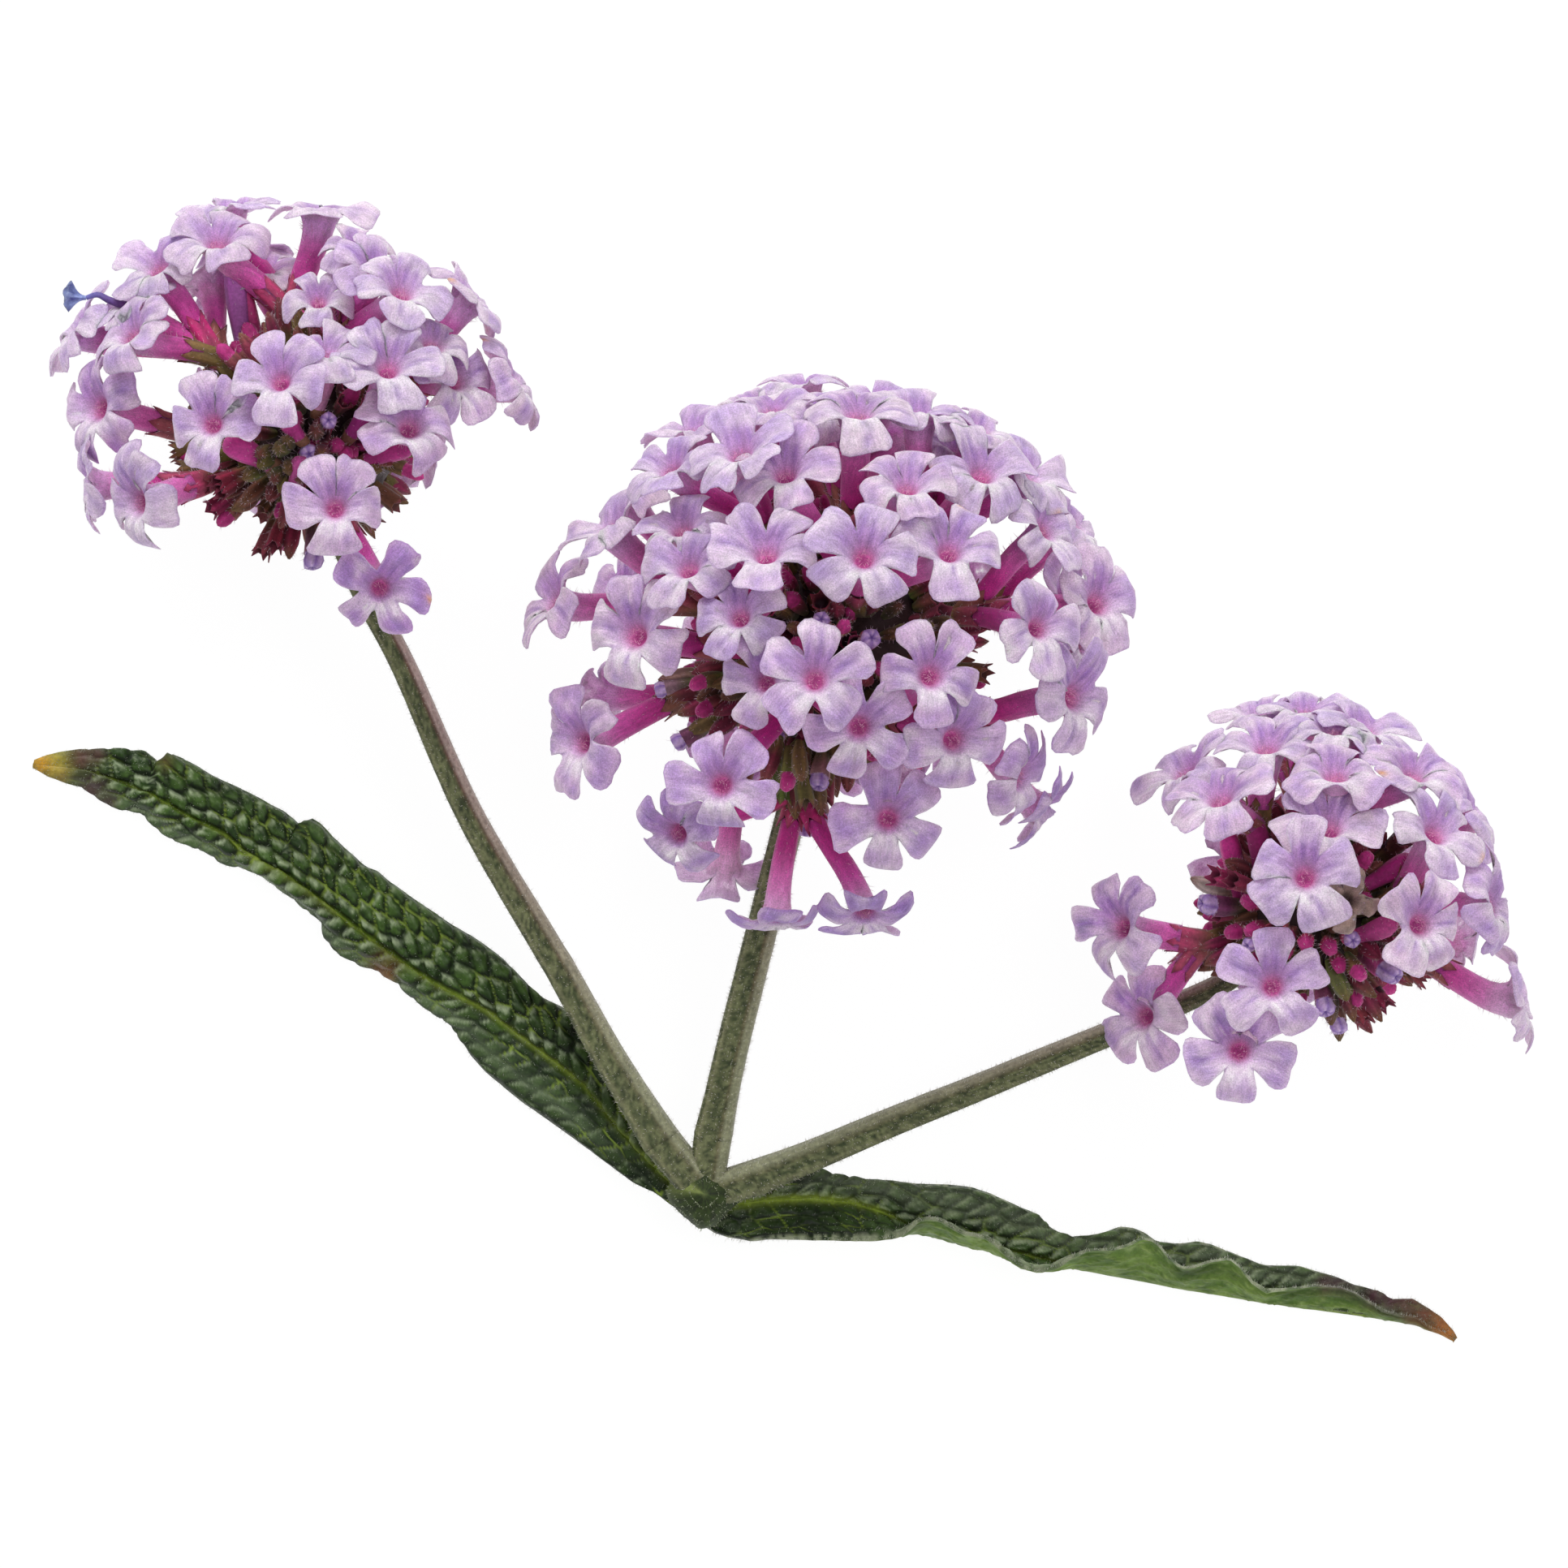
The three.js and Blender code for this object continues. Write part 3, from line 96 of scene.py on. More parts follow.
# florets: branchlet, throat centre, facing direction, five lobe bearings, size, seen from the front
FLORETS = [
    (12, (1.69, 5.87, 30.434), (0, 0.1, 0.995), (78, 22, -42, -137, 155), 1.1, 1),
    (5, (4.4, 12.64, 29.234), (0.05, 0.25, 0.967), (72, 0, -65, -140, 145), 1.12, 1),
    (16, (-1.02, 12.98, 27.854), (-0.1, 0.6, 0.794), (125, 60, 5, -95, -180), 1.1, 1),
    (5, (9.15, 13.05, 27.074), (0.2, 0.45, 0.87), (110, 60, 0, -90, 160), 1.06, 1),
    (16, (-2.56, 9.36, 27.224), (-0.3, 0.3, 0.906), (-110, -38, 34, 106, 178), 0.95, 1),
    (1, (8.11, 6.05, 28.994), (0.2, 0.05, 0.979), (110, 55, -20, -85, 175), 1.06, 1),
    (12, (-1.12, 5.62, 27.214), (-0.25, -0.05, 0.967), (175, 103, 31, -41, -113), 0.95, 1),
    (12, (4.13, 3.13, 28.404), (0.05, -0.2, 0.979), (-168, 38, -38, -103, 110), 1.1, 1),
    (1, (9.53, 2.39, 26.454), (0.35, -0.25, 0.903), (-90, -5, 64, 122, -173), 1.08, 1),
    (12, (-3.49, -0.03, 26.654), (-0.1, -0.151, 0.983), (-94, -23, 52, 114, 178), 1.1, 1),
    (1, (5.76, -1.88, 24.174), (0.05, -0.151, 0.987), (100, 42, -35, -95, -168), 1.12, 1),
    (13, (4.53, -7.65, 18.224), (0.05, -0.901, 0.431), (96, 169, -118, -66, 7), 1, 1),
    (13, (-0.41, -8.02, 15.694), (0, -0.99, 0.141), (91, 167, -122, -65, 12), 1, 1),
    (15, (-3.4, -4.91, 7.884), (-0.1, -0.75, -0.654), (-156, -81, -4, 43, 118), 0.95, 1),
    (13, (-6.23, -2.91, 19.424), (-0.5, -0.45, 0.74), (-140, -58, 22, 69, 137), 1, 1),
    (17, (-11.79, 2.41, 13.104), (-0.739, -0.08, 0.669), (100, 40, -35, -105, 170), 1.12, 1),
    (17, (-10.48, 5.33, 6.844), (-0.888, 0.252, -0.384), (152, -130, -52, 1, 72), 1, 1),
    (11, (-8.44, 8.31, 24.244), (-0.451, 0.05, 0.891), (-100, -24, 45, 98, 166), 1.15, 1),
    (10, (-9.27, 10.94, 10.244), (-0.699, 0.3, 0.649), (164, -109, -37, 11, 88), 0.95, 1),
    (16, (-5.39, 12.17, 25.684), (-0.3, 0.55, 0.78), (168, -109, -34, 18, 83), 1, 1),
    (16, (-5.73, 14.46, 22.794), (-0.25, 0.7, 0.67), (90, 177, -124, -55, -1), 1, 1),
    (9, (-2.55, 18.61, 24.244), (-0.279, 0.699, 0.659), (114, -161, -105, -38, 24), 1.08, 1),
    (5, (0.01, 17.45, 24.694), (-0.12, 0.6, 0.791), (-69, 7, 76, 134, -148), 1.06, 1),
    (0, (6.82, 16.67, 25.494), (0.12, 0.722, 0.682), (-84, 8, 78, 134, -166), 1, 1),
    (20, (11.11, 17.52, 22.394), (0.33, 0.621, 0.711), (18, 104, 176, -138, -60), 1.1, 1),
    (0, (4.13, 20.9, 21.724), (0.05, 0.863, 0.502), (-86, -1, 56, 124, -180), 1.15, 1),
    (9, (-0.72, 21.14, 18.894), (-0.152, 0.892, 0.426), (58, 146, -142, -94, -18), 0.95, 1),
    (9, (-5.16, 20.18, 16.554), (-0.303, 0.91, 0.283), (121, -159, -91, -36, 30), 1.15, 1),
    (14, (-9.85, 14.73, 17.184), (-0.605, 0.756, 0.252), (135, -133, -61, -17, 50), 1.1, 1),
    (10, (-8.76, 16.24, 8.044), (-0.621, 0.777, 0.104), (107, -176, -109, -56, 17), 0.95, 1),
    (9, (-6.48, 17.82, 21.064), (-0.5, 0.7, 0.51), (95, 173, -119, -68, 12), 1, 1),
    (14, (-13.28, 10.58, 13.414), (-0.842, 0.401, 0.361), (54, 144, -143, -97, -21), 1.1, 1),
    (18, (1.1, 22.73, 11.194), (-0.1, 0.974, 0.201), (46, 126, -164, -118, -45), 1, 1),
    (18, (-1.64, 21.79, 13.174), (-0.201, 0.954, 0.221), (15, 109, 169, -133, -57), 1, 1),
    (18, (5.58, 22.05, 9.804), (0.121, 0.955, 0.271), (75, 161, -139, -82, -11), 1.1, 1),
    (20, (7.71, 20.97, 18.584), (0.251, 0.935, 0.251), (110, -169, -99, -47, 24), 1.1, 1),
    (20, (10.91, 20.02, 18.664), (0.399, 0.848, 0.349), (37, 120, -176, -122, -56), 1, 1),
    (20, (13.72, 17.51, 18.184), (0.6, 0.72, 0.35), (54, 141, -144, -87, -26), 1.1, 1),
    (2, (14.79, 14.36, 20.434), (0.75, 0.4, 0.527), (4, 88, 155, -150, -80), 1, 1),
    (7, (16.73, 14.9, 10.494), (0.836, 0.51, 0.204), (43, 132, -166, -107, -35), 1.1, 1),
    (2, (17.82, 10.31, 16.664), (0.597, 0.199, 0.777), (13, 91, 168, -140, -73), 1.1, 1),
    (2, (14.27, 8.76, 24.494), (0.55, 0.1, 0.829), (-87, 5, 68, 130, -164), 1, 1),
    (19, (16.48, 4.85, 21.104), (0.755, -0.121, 0.644), (-16, 66, 136, -174, -102), 1.15, 1),
    (7, (17.06, 8.03, 11.744), (0.901, 0.05, 0.431), (83, 169, -130, -67, 1), 0.95, 1),
    (19, (13.55, 0.27, 21.434), (0.86, -0.35, 0.37), (-57, 31, 98, 148, -144), 1.05, 1),
    (19, (14.83, -1.55, 13.104), (0.824, -0.553, 0.121), (-35, 59, 128, 178, -111), 1, 1),
    (7, (16.03, 10.52, 12.744), (0.802, 0.251, 0.542), (63, 147, -153, -88, -23), 0.95, 1),
    (6, (5.78, 1.29, 7.744), (0.101, -0.504, -0.858), (-58, 23, 94, 152, -142), 0.95, 1),
    (23, (-31.59, 32.98, 5.818), (-0.08, 0.987, 0.14), (163, -123, -53, 7, 78), 1.1, 1),
    (23, (-31.95, 30.94, 10.528), (-0.1, 0.779, 0.619), (5, 77, 149, -139, -67), 1.1, 1),
    (33, (-35.5, 29.46, 9.918), (-0.501, 0.622, 0.602), (81, 172, -121, -73, 1), 1, 1),
    (33, (-40.21, 25.98, 7.818), (-0.851, 0.5, 0.16), (166, -112, -43, 15, 82), 1.08, 1),
    (33, (-36.92, 25.54, 12.818), (-0.62, 0.55, 0.56), (-164, -82, -8, 46, 118), 1, 1),
    (33, (-36.67, 27.47, 9.418), (-0.55, 0.78, 0.3), (101, -180, -102, -59, 15), 0.95, 1),
    (30, (-39.01, 21.29, 10.818), (-0.732, 0, 0.682), (102, -172, -108, -42, 19), 1.12, 1),
    (29, (-39.38, 16.9, 10.828), (-0.983, -0.1, 0.151), (114, -154, -94, -31, 34), 1, 1),
    (29, (-36.49, 15.76, 16.178), (-0.801, -0.18, 0.571), (-99, -10, 56, 107, -180), 1.15, 1),
    (26, (-31.78, 20.07, 21.318), (-0.249, 0.05, 0.967), (107, 52, 7, -107, -169), 0.98, 1),
    (26, (-27.94, 22.52, 22.878), (-0.251, 0.351, 0.902), (112, 55, -11, -90, -180), 1, 1),
    (26, (-25.47, 24.25, 20.998), (0.05, 0.863, 0.502), (-88, -8, 57, 119, -173), 1, 1),
    (31, (-21.87, 23.35, 21.238), (0.12, 0.499, 0.858), (-79, 6, 68, 121, -164), 1.05, 1),
    (23, (-26.1, 32.59, 10.368), (0.02, 0.985, 0.17), (-97, -12, 63, 120, -179), 1.1, 1),
    (25, (-25.96, 27.18, 16.818), (0, 0.6, 0.8), (-88, 0, 60, 117, -178), 0.78, 1),
    (25, (-23.82, 30.13, 14.808), (0.15, 0.8, 0.58), (-63, 31, 90, 154, -138), 0.95, 1),
    (25, (-22.58, 28.9, 16.938), (0.3, 0.699, 0.649), (-69, 11, 89, 138, -155), 0.95, 1),
    (25, (-21.11, 27.7, 18.888), (0.351, 0.662, 0.662), (-32, 61, 122, 175, -114), 1.02, 1),
    (22, (-17.37, 27.58, 15.038), (0.759, 0.649, 0.06), (25, 116, -179, -125, -50), 1.1, 1),
    (22, (-19.39, 24.71, 18.608), (0.401, 0.622, 0.672), (65, 137, -148, -95, -18), 0.9, 1),
    (22, (-18.07, 22.77, 17.448), (0.55, 0.3, 0.78), (94, 170, -121, -67, 13), 1, 1),
    (22, (-14.74, 22.81, 15.208), (0.883, 0.451, 0.13), (27, 116, -178, -120, -52), 1.1, 1),
    (31, (-20.66, 20.03, 20.958), (0.2, 0.331, 0.922), (150, 88, 8, -52, -160), 1.05, 1),
    (21, (-20.57, 18.73, 4.818), (0.703, -0.201, -0.683), (-57, 19, 96, 145, -144), 0.84, 0),
    (24, (-24.77, 15.37, 23.248), (0, 0.1, 0.995), (113, 61, 3, -90, -177), 0.99, 1),
    (24, (-22.33, 10.81, 19.058), (0.2, -0.35, 0.915), (60, 150, -135, -75, 0), 0.97, 1),
    (41, (18.52, -7.94, 11.621), (-0.722, 0, 0.692), (112, 52, -41, -129, 175), 1.12, 1),
    (41, (19.94, -13.08, 9.941), (-0.603, -0.151, 0.784), (82, 138, -140, -62, 0), 1.05, 1),
    (43, (27.03, -11.07, 21.841), (0, 0, 1), (90, 25, -57, -143, 153), 1.08, 1),
    (43, (25.39, -14.84, 17.111), (0, -0.12, 0.993), (125, 55, -18, -90, -165), 1.12, 1),
    (44, (28.77, -4.94, 23.501), (0, 0.12, 0.993), (92, 18, -68, -145, 158), 1.14, 1),
    (39, (35.46, -7.66, 21.381), (0.45, 0, 0.893), (62, 135, 0, -60, -115), 1.05, 1),
    (44, (30.33, -2.02, 19.841), (0.1, 0.602, 0.792), (-15, 60, 120, -160, -90), 1.1, 1),
    (36, (30.68, 0.9, 18.761), (0.05, 0.799, 0.599), (85, 155, -148, -40, 15), 1.1, 1),
    (36, (30.88, 3.32, 14.341), (0.1, 0.882, 0.461), (98, -179, -108, -52, 14), 1, 1),
    (37, (24.16, -0.41, 17.771), (-0.301, 0.723, 0.622), (95, 170, -130, -65, 27), 1.1, 1),
    (37, (22.29, 1.09, 12.151), (-0.549, 0.749, 0.37), (153, -125, -64, -6, 65), 1.1, 1),
    (37, (26.96, 2.45, 14.631), (-0.1, 0.822, 0.561), (110, 40, -20, -100, 170), 1.1, 1),
    (42, (26.89, 4.31, 8.051), (-0.25, 0.93, 0.27), (136, -141, -77, -29, 50), 1.05, 1),
    (42, (29.35, 4.48, 10.231), (0, 0.929, 0.37), (89, 175, -115, -60, 6), 0.95, 1),
    (36, (32.73, 3.46, 12.841), (0.349, 0.848, 0.399), (76, 152, -140, -77, -18), 1.08, 1),
    (36, (35.33, 0.91, 15.951), (0.401, 0.753, 0.522), (85, 20, -30, -160, 150), 1.05, 1),
    (39, (36.51, -2.44, 18.091), (0.5, 0.45, 0.74), (105, 40, -40, -110, 175), 1.08, 1),
    (39, (39.36, -1.47, 6.811), (0.903, 0.402, 0.151), (57, 149, -154, -87, -21), 1.05, 1),
    (39, (39.91, -6.61, 16.471), (0.931, 0.1, 0.35), (59, 141, -144, -86, -29), 1.05, 1),
    (38, (41.67, -11.89, 9.941), (0.976, 0.191, 0.101), (80, 165, -128, -74, -9), 1.12, 1),
    (38, (38.7, -8.98, 3.341), (0.85, -0.2, -0.487), (-9, 78, 136, -166, -90), 0.85, 1),
    (44, (31.28, -6.48, 19.671), (0.15, -0.15, 0.977), (-15, -95, 70, 150, -160), 0.68, 1),
    (3, (3.84, 7.79, 0.654), (0.052, 0.013, -0.999), (-73, 2, 80, 140, -152), 0.95, 0),
    (4, (0.46, 10.26, 0.654), (-0.14, 0.156, -0.978), (-114, -19, 40, 102, 175), 0.95, 0),
    (3, (-0.37, 5.08, 0.654), (-0.189, -0.143, -0.971), (-109, -22, 54, 100, 174), 0.95, 0),
    (6, (5.3, 3.74, 0.664), (0.119, -0.19, -0.974), (144, -125, -65, -8, 63), 0.95, 0),
    (8, (5.77, 12.39, 0.784), (0.126, 0.213, -0.969), (20, 111, -179, -121, -63), 0.95, 0),
    (8, (8.88, 8.28, 1.104), (0.335, 0.041, -0.941), (153, -119, -53, 10, 70), 0.95, 0),
    (10, (-3.58, 7.9, 1.524), (-0.399, 0.021, -0.917), (23, 99, 174, -132, -58), 0.95, 0),
    (6, (1.97, 0.89, 1.764), (-0.059, -0.413, -0.909), (-158, -80, -8, 44, 119), 0.95, 0),
    (4, (1.03, 15.08, 2.594), (-0.121, 0.473, -0.873), (-179, -94, -24, 37, 98), 0.95, 0),
    (6, (9.34, 3.35, 2.874), (0.415, -0.271, -0.868), (-101, -25, 51, 99, 168), 0.95, 0),
    (4, (-2.96, 12.98, 3.294), (-0.383, 0.36, -0.851), (-150, -57, 6, 59, 134), 0.95, 0),
    (15, (-3.17, 2.12, 3.534), (-0.402, -0.359, -0.842), (14, 88, 158, -135, -71), 0.95, 0),
    (8, (10.09, 12, 3.974), (0.483, 0.299, -0.823), (75, 171, -125, -67, -9), 0.95, 0),
    (8, (6.73, 15.45, 4.534), (0.262, 0.542, -0.799), (-137, -55, 15, 74, 139), 0.95, 0),
    (28, (-25.8, 19.66, 0.748), (0.052, 0.013, -0.999), (134, -132, -67, -9, 54), 0.84, 0),
    (27, (-29.16, 17.49, 0.748), (-0.189, -0.143, -0.971), (-53, 32, 100, 158, -139), 0.84, 0),
    (28, (-28.1, 23.23, 1.078), (-0.106, 0.263, -0.959), (28, 115, -180, -112, -49), 0.84, 0),
    (28, (-24.26, 23.38, 0.438), (0.093, 0.157, -0.983), (-93, -3, 71, 123, -171), 0.84, 0),
    (27, (-24.89, 16.99, 0.768), (0.053, -0.249, -0.967), (162, -113, -45, 14, 82), 0.84, 0),
    (21, (-22.1, 19.78, 0.928), (0.362, 0.044, -0.931), (-48, 38, 106, 160, -130), 0.84, 0),
    (32, (-32.25, 22.52, 1.988), (-0.428, 0.183, -0.885), (84, 162, -117, -69, 7), 0.84, 0),
    (21, (-22.99, 17.43, 1.818), (0.415, -0.271, -0.868), (-110, -29, 46, 90, 166), 0.84, 0),
    (32, (-31.25, 18.77, 3.578), (-0.553, -0.22, -0.804), (107, -168, -108, -51, 14), 0.84, 0),
    (28, (-29.54, 29.4, 8.318), (0.101, 0.858, 0.504), (77, 166, -118, -71, -4), 0.95, 1),
    (34, (30.58, -6.87, 0.691), (0.052, 0.013, -0.999), (166, -104, -36, 12, 81), 0.95, 0),
    (35, (27.59, -6.22, 0.591), (-0.226, 0.063, -0.972), (-112, -32, 33, 97, 151), 0.95, 0),
    (34, (28.98, -9.94, 0.701), (-0.076, -0.204, -0.976), (26, 105, 168, -129, -55), 0.95, 0),
    (40, (29.71, -2.38, 1.051), (-0.01, 0.303, -0.953), (-175, -95, -27, 40, 103), 0.95, 0),
    (34, (32.19, -9.23, 1.451), (0.274, -0.279, -0.92), (-29, 57, 123, -177, -113), 0.95, 0),
    (40, (33.56, -4.13, 1.831), (0.316, 0.26, -0.913), (91, 173, -122, -66, 15), 0.95, 0),
    (35, (26.07, -9.2, 3.581), (-0.553, -0.22, -0.804), (65, 147, -143, -93, -22), 0.95, 0),
    (35, (25.59, -3.88, 3.931), (-0.528, 0.315, -0.789), (40, 129, -168, -108, -49), 0.95, 0),
    (0, (1.81, 21.08, 16.544), (-0.05, 0.863, 0.502), (84, 12, -58, -128, 156), 1, 1),
    (20, (9.95, 18.91, 16.744), (0.281, 0.842, 0.461), (70, 0, -68, -134, 140), 1, 1),
    (18, (3.3, 20, 8.244), (0, 0.914, -0.406), (80, 10, -60, -130, 150), 1, 0),
    (18, (6.39, 20.14, 6.744), (0.1, 0.902, -0.421), (100, 20, -50, -120, 170), 1, 0),
    (20, (9.64, 18.64, 7.744), (0.304, 0.862, -0.406), (90, 15, -60, -125, 160), 1, 0),
    (9, (-2.8, 18.35, 8.244), (-0.302, 0.855, -0.422), (85, 20, -60, -125, 155), 1, 0),
    (33, (-32.58, 28.58, 6.318), (-0.403, 0.856, -0.322), (90, 15, -60, -130, 160), 0.95, 0),
    (23, (-30.7, 29.87, 5.318), (-0.1, 0.902, -0.421), (80, 10, -60, -125, 150), 0.95, 0),
]
STEMS = {
    "left": [(-7.02, -20.28, 4.1), (-10.01, -15.41, 4.8), (-12.54, -10.78, 5.6), (-13.63, -8.94, 5.9), (-17.88, -1.56, 7.1), (-21.52, 6.7, 8.4), (-23.73, 10.81, 9.2), (-24.98, 13.82, 10)],
    "centre": [(-4.02, -19.91, 4), (-3.04, -15.4, 5.4), (-1.89, -10.76, 6.9), (-0.73, -6.15, 8.6), (0.55, -1.1, 10.6), (1.19, 0.96, 11.4)],
    "right": [(-1.57, -22.41, 3.9), (1.57, -21.15, 4.4), (6.18, -19.18, 5.2), (10.78, -17.32, 6), (15.36, -15.41, 6.8), (19.93, -13.5, 7.7), (24.49, -11.42, 8.7), (25.71, -10.49, 9.1)],
}
